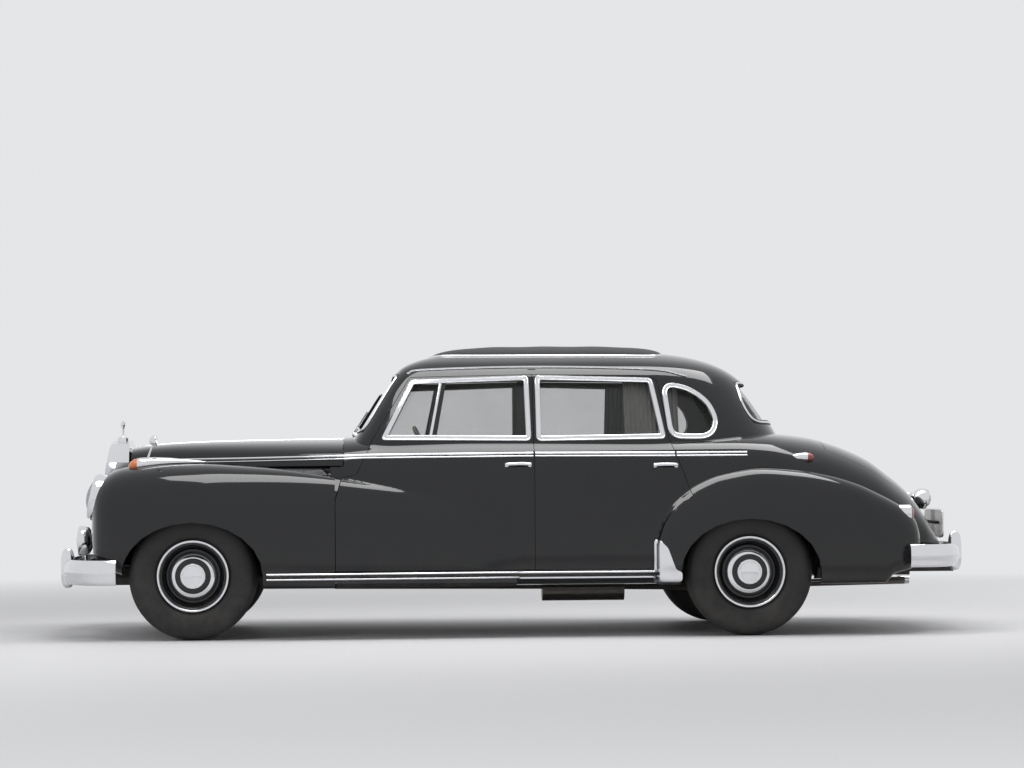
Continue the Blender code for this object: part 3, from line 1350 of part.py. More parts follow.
def grille():
    """Slats bent to a shallow V about an upright centre bar, carried by upright side bars."""
    mouth = offset_outline(shell_outline(), -SHELL_BORDER - SEAT_GAP)
    low, high = min(z for _, z in mouth), max(z for _, z in mouth)
    widest = max(y for y, _ in mouth)
    thing = None
    step = (high - low) / (GRILLE_SLATS + 1)
    for i in range(GRILLE_SLATS):
        z = low + step * (i + 1)
        front = shell_front_x(z, GRILLE_SETBACK)
        plan = [
            (front, -widest), (front - GRILLE_PEAK, 0), (front, widest),
            (front + SLAT_DEPTH, widest), (front - GRILLE_PEAK + SLAT_DEPTH, 0), (front + SLAT_DEPTH, -widest),
        ]
        slat = plan_prism("grille_slat_%02d" % i, plan, z - SLAT_HEIGHT / 2, z + SLAT_HEIGHT / 2)
        thing = slat if thing is None else fuse(thing, slat)
    posts = []
    for y in (-widest * 0.62, 0.0, widest * 0.62):
        shift = -GRILLE_PEAK * (1 - abs(y) / widest)
        ring_low = [
            (shell_front_x(low, GRILLE_SETBACK) + shift - dx, y + dy, low)
            for dx, dy in ((POST_SIZE, -POST_SIZE), (POST_SIZE, POST_SIZE), (-SLAT_DEPTH * 0.9, POST_SIZE), (-SLAT_DEPTH * 0.9, -POST_SIZE))
        ]
        ring_high = [
            (shell_front_x(high, GRILLE_SETBACK) + shift - dx, y + dy, high)
            for dx, dy in ((POST_SIZE, -POST_SIZE), (POST_SIZE, POST_SIZE), (-SLAT_DEPTH * 0.9, POST_SIZE), (-SLAT_DEPTH * 0.9, -POST_SIZE))
        ]
        posts.append(loft("grille_post_%d" % round(y * 1000), [ring_low, ring_high]))
    fuse(thing, *posts)
    keep(thing, front_prism("grille_bounds", mouth, -LENGTH, at_x(SHELL_BACK_X_SHARE) - RADIATOR_WEB - SEAT_GAP))
    return settle(thing, CHROME, CAR, "grille")


POST_SIZE = 0.005

# Front apron


APRON_LOW_SHARE = 0.240
APRON_FRONT_X_SHARE = -0.4550


def front_apron():
    """Panel under the radiator, between the fenders."""
    low, high = at_z(APRON_LOW_SHARE), at_z(SHELL_SHARES[0][1]) - SEAT_GAP
    front, back = at_x(APRON_FRONT_X_SHARE), at_x(-0.4250)
    plan = [
        (back, -at_y(0.480)), (back, at_y(0.480)), (front + FENDER_WALL * 2, at_y(0.480)),
        (front, at_y(0.250)), (front, -at_y(0.250)), (front + FENDER_WALL * 2, -at_y(0.480)),
    ]
    thing = plan_prism("front_apron", plan, low, high)
    inside = plan_prism("apron_inside", offset_outline(plan, -FENDER_WALL), 0, high - FENDER_WALL)
    cut(thing, inside)
    for side, word in SIDES:
        cut(thing, front_fender_solid("apron_side_" + word, side, SHEET_GAP))
    return settle(thing, PAINT, CAR, "front_apron")


# Bumpers

BUMPER_DEPTH = 0.045
BUMPER_SECTION_SHARES = (
    (0.0, -0.50), (0.60, -0.45), (0.93, -0.22), (0.93, 0.22), (0.60, 0.45), (0.0, 0.50), (0.45, 0.20), (0.45, -0.20),
)
FRONT_BUMPER = {"tip": -2.535, "z": 0.372, "height": 0.132, "half": 0.885, "wrap_x": -2.190}
REAR_BUMPER = {"tip": 2.535, "z": 0.430, "height": 0.122, "half": 0.878, "wrap_x": 2.160}
BUMPER_STEPS = 12
BUMPER_POWER = 2.9


def bumper_blade(name, sizes):
    """Blade swept along a plan curve that wraps round the corners."""
    way = 1 if sizes["tip"] > 0 else -1
    reach = abs(sizes["tip"]) - abs(sizes["wrap_x"])
    rings = []
    for i in range(BUMPER_STEPS + 1):
        angle = math.pi * i / BUMPER_STEPS
        y, x = superellipse(angle, BUMPER_POWER)
        centre = Vector((way * (abs(sizes["wrap_x"]) + x * (reach - BUMPER_DEPTH)), y * (sizes["half"] - BUMPER_DEPTH), 0))
        ahead = superellipse(min(angle + 0.02, math.pi), BUMPER_POWER)
        behind = superellipse(max(angle - 0.02, 0), BUMPER_POWER)
        along = Vector((way * (ahead[1] - behind[1]) * (reach - BUMPER_DEPTH), (ahead[0] - behind[0]) * (sizes["half"] - BUMPER_DEPTH), 0)).normalized()
        out = Vector((along.y, -along.x, 0))
        if out.x * way < 0 or (abs(out.x) < 0.05 and out.y * y < 0):
            out = -out
        rings.append([
            centre + out * (BUMPER_DEPTH * depth) + Vector((0, 0, sizes["z"] + sizes["height"] * height))
            for depth, height in BUMPER_SECTION_SHARES
        ])
    return loft(name, rings)


OVERRIDER_Y = 0.430
OVERRIDER_HALF_WIDTH = 0.028
OVERRIDER_HEIGHT = 0.215
BRACKET_Y = 0.330
BRACKET_HALF = 0.022
FRAME_END_X = 2.250
FRONT_RAIL_Z = 0.330
REAR_RAIL_Z = 0.350


def overrider(name, sizes, side):
    way = 1 if sizes["tip"] > 0 else -1
    y = side * OVERRIDER_Y
    _, x = superellipse(math.acos(min(abs(y) / sizes["half"], 1)), BUMPER_POWER)
    front = abs(sizes["tip"]) - 0.004
    thing = block(
        name,
        (min(way * front, way * (front - BUMPER_DEPTH * 1.6)), y - OVERRIDER_HALF_WIDTH, sizes["z"] - OVERRIDER_HEIGHT * 0.42),
        (max(way * front, way * (front - BUMPER_DEPTH * 1.6)), y + OVERRIDER_HALF_WIDTH, sizes["z"] + OVERRIDER_HEIGHT * 0.58),
    )
    return settle(bevelled(thing, OVERRIDER_HALF_WIDTH * 0.55, 2))


def bumper(name, sizes, rail_z):
    way = 1 if sizes["tip"] > 0 else -1
    thing = bumper_blade(name, sizes)
    for side, word in SIDES:
        fuse(thing, overrider(name + "_overrider_" + word, sizes, side))
        near = way * (FRAME_END_X + SEAT_GAP)
        far = way * (abs(sizes["tip"]) - BUMPER_DEPTH * 0.75)
        fuse(thing, block(
            name + "_bracket_" + word,
            (min(near, far), side * BRACKET_Y - BRACKET_HALF, rail_z - BRACKET_HALF),
            (max(near, far), side * BRACKET_Y + BRACKET_HALF, rail_z + BRACKET_HALF),
        ))
        root = way * (abs(sizes["tip"]) - BUMPER_DEPTH * 2)
        fuse(thing, block(
            name + "_upright_" + word,
            (min(root, far), side * BRACKET_Y - BRACKET_HALF * 0.9, rail_z - BRACKET_HALF * 0.9),
            (max(root, far), side * BRACKET_Y + BRACKET_HALF * 0.9, sizes["z"] + BRACKET_HALF),
        ))
        if way < 0:
            fuse(thing, fog_lamp(side, word))
    return settle(thing, CHROME, CAR, name)


FOG_LAMP_RADIUS = 0.083
FOG_LAMP_X = -2.400
FOG_LAMP_Y = 0.430
FOG_LAMP_Z = 0.540
FOG_STALK_RADIUS = 0.012


def fog_lamp(side, word):
    radius = FOG_LAMP_RADIUS
    centre = (FOG_LAMP_X, side * FOG_LAMP_Y, FOG_LAMP_Z)
    profile = [
        (radius * 0.60, 0), (radius * 0.54, radius * 0.40), (radius * 0.30, radius * 0.86), (0, radius),
        (-radius * 0.30, radius), (-radius * 0.42, radius * 0.86), (-radius * 0.50, radius * 0.45), (-radius * 0.53, 0),
    ]
    lamp = turned("fog_lamp_" + word, profile, "X", centre, segments=16)
    stalk = tube("fog_stalk_" + word, [
        (FOG_LAMP_X, side * FOG_LAMP_Y, FOG_LAMP_Z - radius * 0.6),
        (FOG_LAMP_X, side * FOG_LAMP_Y, FRONT_RAIL_Z + BRACKET_HALF * 2),
        (FOG_LAMP_X, side * BRACKET_Y, FRONT_RAIL_Z),
    ], FOG_STALK_RADIUS)
    return settle(fuse(lamp, stalk))


# Number-plate lamp on the boot lid

PLATE_LAMP_X = 2.360
PLATE_LAMP_Z = 0.725
PLATE_LAMP_LENGTH = 0.115
PLATE_LAMP_HALF_WIDTH = 0.150
PLATE_LAMP_HALF_HEIGHT = 0.060
PLATE_HALF_WIDTH = 0.260
PLATE_HALF_HEIGHT = 0.055
PLATE_THICKNESS = 0.006
PLATE_X = 2.470
PLATE_Z = 0.570


def plate_lamp():
    """Chrome hood over the number plate, with the plate's blank panel hung under it."""
    hood = block(
        "plate_lamp",
        (PLATE_LAMP_X - PLATE_LAMP_LENGTH, -PLATE_LAMP_HALF_WIDTH, PLATE_LAMP_Z - PLATE_LAMP_HALF_HEIGHT),
        (PLATE_LAMP_X + PLATE_LAMP_LENGTH, PLATE_LAMP_HALF_WIDTH, PLATE_LAMP_Z + PLATE_LAMP_HALF_HEIGHT),
    )
    thing = settle(bevelled(hood, PLATE_LAMP_HALF_HEIGHT * 0.6, 2))
    plate = block(
        "plate_panel",
        (PLATE_X - PLATE_THICKNESS, -PLATE_HALF_WIDTH, PLATE_Z - PLATE_HALF_HEIGHT),
        (PLATE_X, PLATE_HALF_WIDTH, PLATE_LAMP_Z - PLATE_LAMP_HALF_HEIGHT * 0.5),
    )
    fuse(thing, plate)
    cut(thing, hull_solid("plate_lamp_seat", LAMP_GAP))
    return pivot(settle(thing, CHROME, CAR, "plate_lamp"), LID_AXIS)


def trunk_lid():
    thing = loft("trunk_lid", [hull_ring(station) for station in HULL_STATION_SHARES], PAINT, CAR)
    inside = hull_void("lid_inside", BOOT_STATION_SHARES, LID_WALL, 0, BOOT_TOP_SHARES)
    cut(thing, inside, cabin_solid("lid_cabin", PANEL_GAP))
    keep(thing, plan_prism("lid_form", lid_outline(), at_z(LID_BOTTOM_SHARE), ROOF_HEIGHT))
    rib = block(
        "lid_rib",
        (at_x(0.344) + PANEL_GAP, -at_y(0.250), LID_SHELF_Z + SEAT_GAP),
        (at_x(0.344) + LID_SHELF, at_y(0.250), at_z(0.674) - LID_WALL * 0.7),
    )
    fuse(thing, rib)
    return pivot(settle(thing, PAINT, CAR, "trunk_lid"), LID_AXIS)


# Chassis

RAIL_RADIUS = 0.048
RAIL_WAIST_Y = 0.150
RAIL_WIDE_Y = 0.450
CROSS_RADIUS = 0.035
FRONT_CROSS_X_SHARE = -0.440
FRAME_WAIST_X = -0.250


def chassis_frame():
    """X-shaped frame of round tubes: wide at the axles, narrow under the middle of the floor."""
    thing = None
    for side, word in SIDES:
        rail = tube("rail_" + word, [
            (-FRAME_END_X, side * BRACKET_Y, FRONT_RAIL_Z),
            (FRONT_AXLE_X + 0.35, side * BRACKET_Y, FRONT_RAIL_Z),
            (FRAME_WAIST_X, side * RAIL_WAIST_Y, FRONT_RAIL_Z),
            (FRAME_WAIST_X + 0.40, side * RAIL_WAIST_Y, FRONT_RAIL_Z),
            (REAR_AXLE_X - 0.39, side * BRACKET_Y, FRONT_RAIL_Z),
            (REAR_AXLE_X - 0.20, side * BRACKET_Y, REAR_ARCH_Z),
            (REAR_AXLE_X + 0.22, side * BRACKET_Y, REAR_ARCH_Z),
            (REAR_AXLE_X + 0.45, side * BRACKET_Y, REAR_RAIL_Z),
            (FRAME_END_X, side * BRACKET_Y, REAR_RAIL_Z),
        ], RAIL_RADIUS)
        thing = rail if thing is None else fuse(thing, rail)
    for label, x, z in (
        ("front", -FRAME_END_X + 0.15, FRONT_RAIL_Z), ("waist_a", FRAME_WAIST_X, FRONT_RAIL_Z),
        ("waist_b", FRAME_WAIST_X + 0.40, FRONT_RAIL_Z), ("rear", FRAME_END_X - 0.10, REAR_RAIL_Z),
        ("seat", REAR_AXLE_X - 0.45, FRONT_RAIL_Z),
    ):
        fuse(thing, tube("cross_" + label, [(x, -BRACKET_Y, z), (x, BRACKET_Y, z)], CROSS_RADIUS))
    for side, word in SIDES:
        for label, x in (("front", OUTRIGGER_FRONT_X), ("rear", OUTRIGGER_REAR_X)):
            fuse(thing, outrigger("outrigger_%s_%s" % (label, word), x, side))
    return settle(thing, FRAME_BLACK, CAR, "chassis_frame")


REAR_ARCH_Z = 0.475
OUTRIGGER_FRONT_X = -0.700
OUTRIGGER_REAR_X = 0.600
OUTRIGGER_HALF_LENGTH = 0.030
OUTRIGGER_HEIGHT = 0.050


def outrigger(name, x, side):
    """Arm from the frame to the sill, whose top carries the floor."""
    top = FLOOR_Z - FLOOR_THICKNESS - SEAT_GAP
    near, far = side * RAIL_WAIST_Y, side * (UNDERFLOOR_HALF_WIDTH - PANEL_GAP)
    return block(
        name,
        (x - OUTRIGGER_HALF_LENGTH, min(near, far), top - OUTRIGGER_HEIGHT - 0.01),
        (x + OUTRIGGER_HALF_LENGTH, max(near, far), top),
    )


# Running gear

KINGPIN_Y = 0.655
KINGPIN_RADIUS = 0.022
ARM_LOW_Z = 0.245
ARM_HIGH_Z = 0.470
ARM_THICKNESS = 0.026
ARM_PAD_RADIUS = 0.026
ARM_SPREAD = 0.150
AXLE_BEAM_HALF = 0.045
DRUM_RADIUS = 0.135
DRUM_INNER_Y = 0.690
DRUM_OUTER_Y = 0.720
STUB_RADIUS = 0.030


def wishbone(name, side, z, spread):
    """A-shaped arm in plan from two frame pivots to the ball at the kingpin."""
    near = side * (BRACKET_Y + RAIL_RADIUS * 0.5)
    tip = side * KINGPIN_Y
    half = ARM_THICKNESS / 2
    plan = [
        (FRONT_AXLE_X - spread, near), (FRONT_AXLE_X - spread + ARM_THICKNESS * 2, near),
        (FRONT_AXLE_X, side * (KINGPIN_Y - 0.09)),
        (FRONT_AXLE_X + spread - ARM_THICKNESS * 2, near), (FRONT_AXLE_X + spread, near),
        (FRONT_AXLE_X + ARM_PAD_RADIUS * 0.7, tip), (FRONT_AXLE_X - ARM_PAD_RADIUS * 0.7, tip),
    ]
    arm = plan_prism(name, plan, z - half, z + half)
    pad = cylinder(name + "_pad", ARM_PAD_RADIUS, ARM_THICKNESS, "Z", (FRONT_AXLE_X, tip, z), segments=20)
    return fuse(arm, pad)


def front_axle():
    """Cross beam under the frame, towers beside the rails and two wishbones a side."""
    beam_top = FRONT_RAIL_Z - RAIL_RADIUS - SEAT_GAP
    thing = block(
        "front_axle",
        (FRONT_AXLE_X - AXLE_BEAM_HALF * 2, -BRACKET_Y - RAIL_RADIUS * 2.4, beam_top - AXLE_BEAM_HALF * 1.6),
        (FRONT_AXLE_X + AXLE_BEAM_HALF * 2, BRACKET_Y + RAIL_RADIUS * 2.4, beam_top),
    )
    for side, word in SIDES:
        near, far = side * (BRACKET_Y + RAIL_RADIUS + SEAT_GAP), side * (BRACKET_Y + RAIL_RADIUS * 2.2)
        fuse(thing, block(
            "tower_" + word,
            (FRONT_AXLE_X - AXLE_BEAM_HALF * 1.5, min(near, far), beam_top - AXLE_BEAM_HALF),
            (FRONT_AXLE_X + AXLE_BEAM_HALF * 1.5, max(near, far), ARM_HIGH_Z + ARM_THICKNESS / 2),
        ))
        for label, z in (("low", ARM_LOW_Z), ("high", ARM_HIGH_Z)):
            arm = wishbone("wishbone_%s_%s" % (label, word), side, z, ARM_SPREAD)
            keeper = block(
                "wishbone_bounds_%s_%s" % (label, word),
                (-LENGTH, min(near, side * WIDTH), 0), (LENGTH, max(near, side * WIDTH), ROOF_HEIGHT),
            )
            keep(arm, keeper)
            fuse(thing, settle(arm))
    return settle(thing, FRAME_BLACK, CAR, "front_axle")


def knuckle(side, word):
    """Kingpin post between the arms, brake drum and stub axle."""
    low, high = ARM_LOW_Z + ARM_THICKNESS / 2 + SEAT_GAP, ARM_HIGH_Z - ARM_THICKNESS / 2 - SEAT_GAP
    name = "knuckle_" + word
    thing = cylinder(name, KINGPIN_RADIUS, high - low, "Z", (FRONT_AXLE_X, side * KINGPIN_Y, (low + high) / 2), segments=20)
    middle = (KINGPIN_Y + DRUM_INNER_Y) / 2
    fuse(thing, cylinder(name + "_neck", STUB_RADIUS, DRUM_INNER_Y - KINGPIN_Y + 0.01, "Y", (FRONT_AXLE_X, side * middle, HUB_Z), segments=16))
    drum_middle = (DRUM_INNER_Y + DRUM_OUTER_Y) / 2
    fuse(thing, cylinder(name + "_drum", DRUM_RADIUS, DRUM_OUTER_Y - DRUM_INNER_Y, "Y", (FRONT_AXLE_X, side * drum_middle, HUB_Z), segments=20))
    end = FRONT_TRACK / 2 + DISC_OFFSET - SEAT_GAP
    fuse(thing, cylinder(name + "_stub", STUB_RADIUS, end - drum_middle, "Y", (FRONT_AXLE_X, side * (end + drum_middle) / 2, HUB_Z), segments=16))
    return pivot(settle(thing, CAST_IRON, CAR, name), (FRONT_AXLE_X, side * KINGPIN_Y, HUB_Z))


def rear_axle():
    """Final drive housing with two half-shaft tubes, drums and springs under the frame."""
    thing = ball("rear_axle", 0.115, (REAR_AXLE_X, 0, HUB_Z), segments=12)
    reach = REAR_TRACK / 2 + DISC_OFFSET - SEAT_GAP
    fuse(thing, cylinder("axle_tube", 0.035, reach * 2, "Y", (REAR_AXLE_X, 0, HUB_Z), segments=12))
    for side, word in SIDES:
        inner, outer = REAR_TRACK / 2 - 0.075, REAR_TRACK / 2 - 0.020
        fuse(thing, cylinder("rear_drum_" + word, DRUM_RADIUS, outer - inner, "Y", (REAR_AXLE_X, side * (inner + outer) / 2, HUB_Z), segments=24))
        spring_top = REAR_ARCH_Z - SPRING_SEAT_DROP
        spring_low = HUB_Z - SPRING_RADIUS / 4
        fuse(thing, cylinder(
            "spring_" + word, SPRING_RADIUS, spring_top - spring_low, "Z",
            (REAR_AXLE_X, side * BRACKET_Y, (spring_top + spring_low) / 2), segments=12,
        ))
    return settle(thing, CAST_IRON, CAR, "rear_axle")


SPRING_SEAT_DROP = 0.0412
SPRING_RADIUS = 0.045
DISC_OFFSET = 0.006
DISC_THICKNESS = 0.014
RIM_WALL = 0.010
RIM_LIP = 0.012
HUBCAP_RADIUS = 0.112
HUBCAP_RISE = 0.062
WHEEL_SEGMENTS = 20
TYRE_SEGMENTS = 20


def wheel_profile():
    """Section of the rim, dished disc and domed hubcap: (outward, radius), outward from the wheel's centre."""
    half = RIM_WIDTH / 2
    seat = RIM_RADIUS - 0.014
    return [
        (DISC_OFFSET, 0), (DISC_OFFSET, 0.070), (-0.012, 0.120), (-0.012, seat - RIM_WALL * 2.2),
        (-half, RIM_RADIUS - RIM_WALL), (-half, RIM_RADIUS), (-half + RIM_LIP * 1.2, seat),
        (half - RIM_LIP * 1.2, seat), (half, RIM_RADIUS), (half - 0.010, RIM_RADIUS - RIM_WALL * 2),
        (half * 0.30, seat - RIM_WALL * 2.4), (half * 0.22, 0.140), (half * 0.36, HUBCAP_RADIUS + 0.004),
        (half * 0.62, HUBCAP_RADIUS), (half * 0.95, HUBCAP_RADIUS * 0.72), (half * 1.14, 0),
    ]


def wheel(side, word, end):
    track = FRONT_TRACK if end == "front" else REAR_TRACK
    centre = (FRONT_AXLE_X if end == "front" else REAR_AXLE_X, side * track / 2, HUB_Z)
    name = "wheel_%s_%s" % (end, word)
    thing = turned(name, wheel_profile(), "Y", centre, side, WHEEL_SEGMENTS, STEEL, CAR)
    return pivot(thing, centre)


def tyre_profile():
    """Closed section of the tyre, seated on the rim: (outward, radius)."""
    bead = RIM_WIDTH / 2 - RIM_LIP * 1.2 - SEAT_GAP
    seat = RIM_RADIUS - 0.014 + SEAT_GAP
    half = TYRE_WIDTH / 2
    tall = TYRE_RADIUS - RIM_RADIUS
    outer = [
        (bead, seat), (bead, RIM_RADIUS + 0.006), (half * 0.94, RIM_RADIUS + tall * 0.24), (half, RIM_RADIUS + tall * 0.48),
        (half * 0.93, RIM_RADIUS + tall * 0.76), (half * 0.60, TYRE_RADIUS),
    ]
    return [(-a, r) for a, r in outer] + [(a, r) for a, r in reversed(outer)]


def tyre(side, word, end):
    track = FRONT_TRACK if end == "front" else REAR_TRACK
    centre = (FRONT_AXLE_X if end == "front" else REAR_AXLE_X, side * track / 2, HUB_Z)
    name = "tyre_%s_%s" % (end, word)
    thing = turned(name, tyre_profile(), "Y", centre, side, TYRE_SEGMENTS, RUBBER, CAR)
    return pivot(thing, centre)


# Inside the cabin

SEAT_PROFILE_SHARES = (
    (0.0, 0.0), (1.0, 0.0), (1.16, 1.0), (1.10, 1.05), (1.00, 1.0), (0.86, 0.42), (0.10, 0.46), (0.0, 0.38),
)
SEAT_DEPTH = 0.620
SEAT_HEIGHT = 0.560
SEAT_HALF_WIDTH = 0.620
FRONT_SEAT_X = -0.360
REAR_SEAT_X = 0.650
REAR_SEAT_HALF_WIDTH = 0.540


def seat(name, x, floor, half, height):
    """Bench seat: cushion and back in one outline, on a low plinth."""
    base = floor + PLINTH_HEIGHT
    outline = [(x + a * SEAT_DEPTH, base + b * (height - PLINTH_HEIGHT)) for a, b in SEAT_PROFILE_SHARES]
    thing = settle(bevelled(side_prism(name, outline, -half, half), SEAT_ROUNDING, 2))
    fuse(thing, block(
        name + "_plinth",
        (x + SEAT_DEPTH * 0.1, -PLINTH_HALF_WIDTH, floor + SEAT_GAP),
        (x + SEAT_DEPTH * 0.9, PLINTH_HALF_WIDTH, base + PLINTH_HEIGHT),
    ))
    return settle(thing, CLOTH, CAR, name)


PLINTH_HEIGHT = 0.050
PLINTH_HALF_WIDTH = 0.280
SEAT_ROUNDING = 0.025

DASH_TOP_SHARE = 0.618
DASH_LOW_SHARE = 0.500
DASH_HALF_WIDTH = 0.560
DASH_DEPTH = 0.190
COLUMN_Y = -0.360
WHEEL_RING_RADIUS = 0.205
WHEEL_RING_TUBE = 0.011
STEERING_HUB = Vector((-0.470, COLUMN_Y, 0.975))
COLUMN_ANGLE = math.radians(26)


def column_line():
    return Vector((-math.cos(COLUMN_ANGLE), 0, -math.sin(COLUMN_ANGLE)))


def dashboard():
    back = at_x(INNER_STATION_SHARES[0]) + SEAT_GAP
    low, high = at_z(DASH_LOW_SHARE), at_z(DASH_TOP_SHARE)
    outline = [
        (back, low), (back + DASH_DEPTH * 0.8, low), (back + DASH_DEPTH, low + (high - low) * 0.35),
        (back + DASH_DEPTH * 0.9, high - (high - low) * 0.08), (back + DASH_DEPTH * 0.7, high), (back, high),
    ]
    thing = side_prism("dashboard", outline, -DASH_HALF_WIDTH, DASH_HALF_WIDTH)
    line = column_line()
    start, end = STEERING_HUB + line * 0.030, STEERING_HUB + line * 0.360
    fuse(thing, tube("steering_column", [start + line * SEAT_GAP, end], 0.022))
    return settle(thing, WALNUT, CAR, "dashboard")


def steering_wheel():
    """Thin rim, two spokes and a boss, square to the column."""
    shape = bmesh.new()
    steps, sides = 24, 6
    line = column_line()
    across = Vector((0, 1, 0))
    up = line.cross(across)
    rows = []
    for i in range(steps):
        angle = 2 * math.pi * i / steps
        out = across * math.cos(angle) + up * math.sin(angle)
        rows.append([
            shape.verts.new(STEERING_HUB + out * (WHEEL_RING_RADIUS + WHEEL_RING_TUBE * math.cos(2 * math.pi * j / sides)) + line * (WHEEL_RING_TUBE * math.sin(2 * math.pi * j / sides)))
            for j in range(sides)
        ])
    for i in range(steps):
        here, there = rows[i], rows[(i + 1) % steps]
        for j in range(sides):
            k = (j + 1) % sides
            shape.faces.new((here[j], here[k], there[k], there[j]))
    thing = finish_mesh("steering_wheel", shape, BAKELITE, CUTTERS)
    spoke = tube("wheel_spokes", [STEERING_HUB - across * WHEEL_RING_RADIUS, STEERING_HUB + across * WHEEL_RING_RADIUS], WHEEL_RING_TUBE * 0.7)
    boss = tube("wheel_boss", [STEERING_HUB - line * 0.015, STEERING_HUB + line * (0.030)], 0.030)
    fuse(thing, spoke, boss)
    return pivot(settle(thing, BAKELITE, CAR, "steering_wheel"), STEERING_HUB)


# Engine, exhaust and tank

ENGINE_LENGTH = 0.780
ENGINE_HALF_WIDTH = 0.230
ENGINE_LOW_Z = 0.300
ENGINE_TOP_Z = 0.860
ENGINE_FRONT_X = -1.900
EXHAUST_Y = 0.215
EXHAUST_Z = 0.245
EXHAUST_RADIUS = 0.024
MUFFLER_RADIUS = 0.060
TANK_LOW_Z = 0.335


def engine():
    thing = block(
        "engine",
        (ENGINE_FRONT_X, -ENGINE_HALF_WIDTH, ENGINE_LOW_Z),
        (ENGINE_FRONT_X + ENGINE_LENGTH, ENGINE_HALF_WIDTH, ENGINE_TOP_Z),
    )
    for x in (ENGINE_FRONT_X + 0.25, ENGINE_FRONT_X + ENGINE_LENGTH - 0.15):
        base = FRONT_RAIL_Z + RAIL_RADIUS * math.cos(math.pi / 6) + SEAT_GAP
        fuse(thing, block(
            "engine_mount_%d" % round(-x * 100),
            (x - 0.03, -BRACKET_Y - 0.02, base), (x + 0.03, BRACKET_Y + 0.02, base + 0.045),
        ))
    return settle(thing, CAST_IRON, CAR, "engine")


def exhaust():
    pipe = tube("exhaust", [
        (ENGINE_FRONT_X + ENGINE_LENGTH + 0.10, EXHAUST_Y, EXHAUST_Z + 0.01),
        (0.200, EXHAUST_Y, EXHAUST_Z), (REAR_AXLE_X - 0.35, EXHAUST_Y, EXHAUST_Z - 0.01),
        (REAR_AXLE_X + 0.10, EXHAUST_Y, 0.205), (REAR_AXLE_X + 0.50, EXHAUST_Y + 0.16, 0.240), (2.360, EXHAUST_Y + 0.16, 0.250),
    ], EXHAUST_RADIUS)
    muffler = cylinder("muffler", MUFFLER_RADIUS, 0.480, "X", (0.430, EXHAUST_Y, 0.215), segments=20)
    fuse(pipe, muffler)
    for x, out in ((-0.050, 0.010), (0.300, 0.045)):
        top = FLOOR_Z - FLOOR_THICKNESS - SEAT_GAP
        fuse(pipe, block(
            "exhaust_hanger_%d" % round(x * 100),
            (x - 0.012, EXHAUST_Y + out, EXHAUST_Z - 0.02), (x + 0.012, EXHAUST_Y + out + 0.010, top),
        ))
    return settle(pipe, STEEL, CAR, "exhaust")


def fuel_tank():
    thing = block(
        "fuel_tank", (1.700, -0.270, TANK_LOW_Z), (2.080, 0.270, BOOT_FLOOR_Z - FLOOR_THICKNESS - SEAT_GAP),
    )
    return settle(bevelled(thing, 0.025, 2), FRAME_BLACK, CAR, "fuel_tank")


def build():
    guides = shell_guides()
    body = body_shell(guides)
    settle(body, PAINT, CAR, "body_shell")
    pieces = [
        front_fender(LEFT, "left"),
        rear_fender(LEFT, "left"),
        headlamp(LEFT, "left"),
        turn_lamp(LEFT, "left"),
        side_lamp(LEFT, "left"),
        tail_lamp(LEFT, "left"),
        knuckle(LEFT, "left"),
        side_glass(LEFT, "left", "quarter"),
    ]
    for end in ("front", "rear"):
        pieces += [
            door(LEFT, "left", end, guides),
            side_glass(LEFT, "left", end),
            wheel(LEFT, "left", end),
            tyre(LEFT, "left", end),
        ]
    for piece in pieces:
        mirrored(piece, piece.name.replace("_left", "_right"))
    end_glasses()
    sunroof()
    bonnet()
    trunk_lid()
    plate_lamp()
    radiator_shell()
    grille()
    front_apron()
    bumper("front_bumper", FRONT_BUMPER, FRONT_RAIL_Z)
    bumper("rear_bumper", REAR_BUMPER, REAR_RAIL_Z)
    chassis_frame()
    front_axle()
    rear_axle()
    engine()
    exhaust()
    fuel_tank()
    seat("front_seat", FRONT_SEAT_X, FLOOR_Z, SEAT_HALF_WIDTH, SEAT_HEIGHT)
    seat("rear_seat", REAR_SEAT_X, REAR_FLOOR_Z, REAR_SEAT_HALF_WIDTH, SEAT_HEIGHT * 0.75)
    dashboard()
    steering_wheel()


build()
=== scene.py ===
"""Four-door saloon car: smooth panels, bright trim, wheels, lamps, cabin and stage over the CAD frame."""
import json
import math

import bmesh
import bpy
import numpy as np
from mathutils import Matrix, Vector

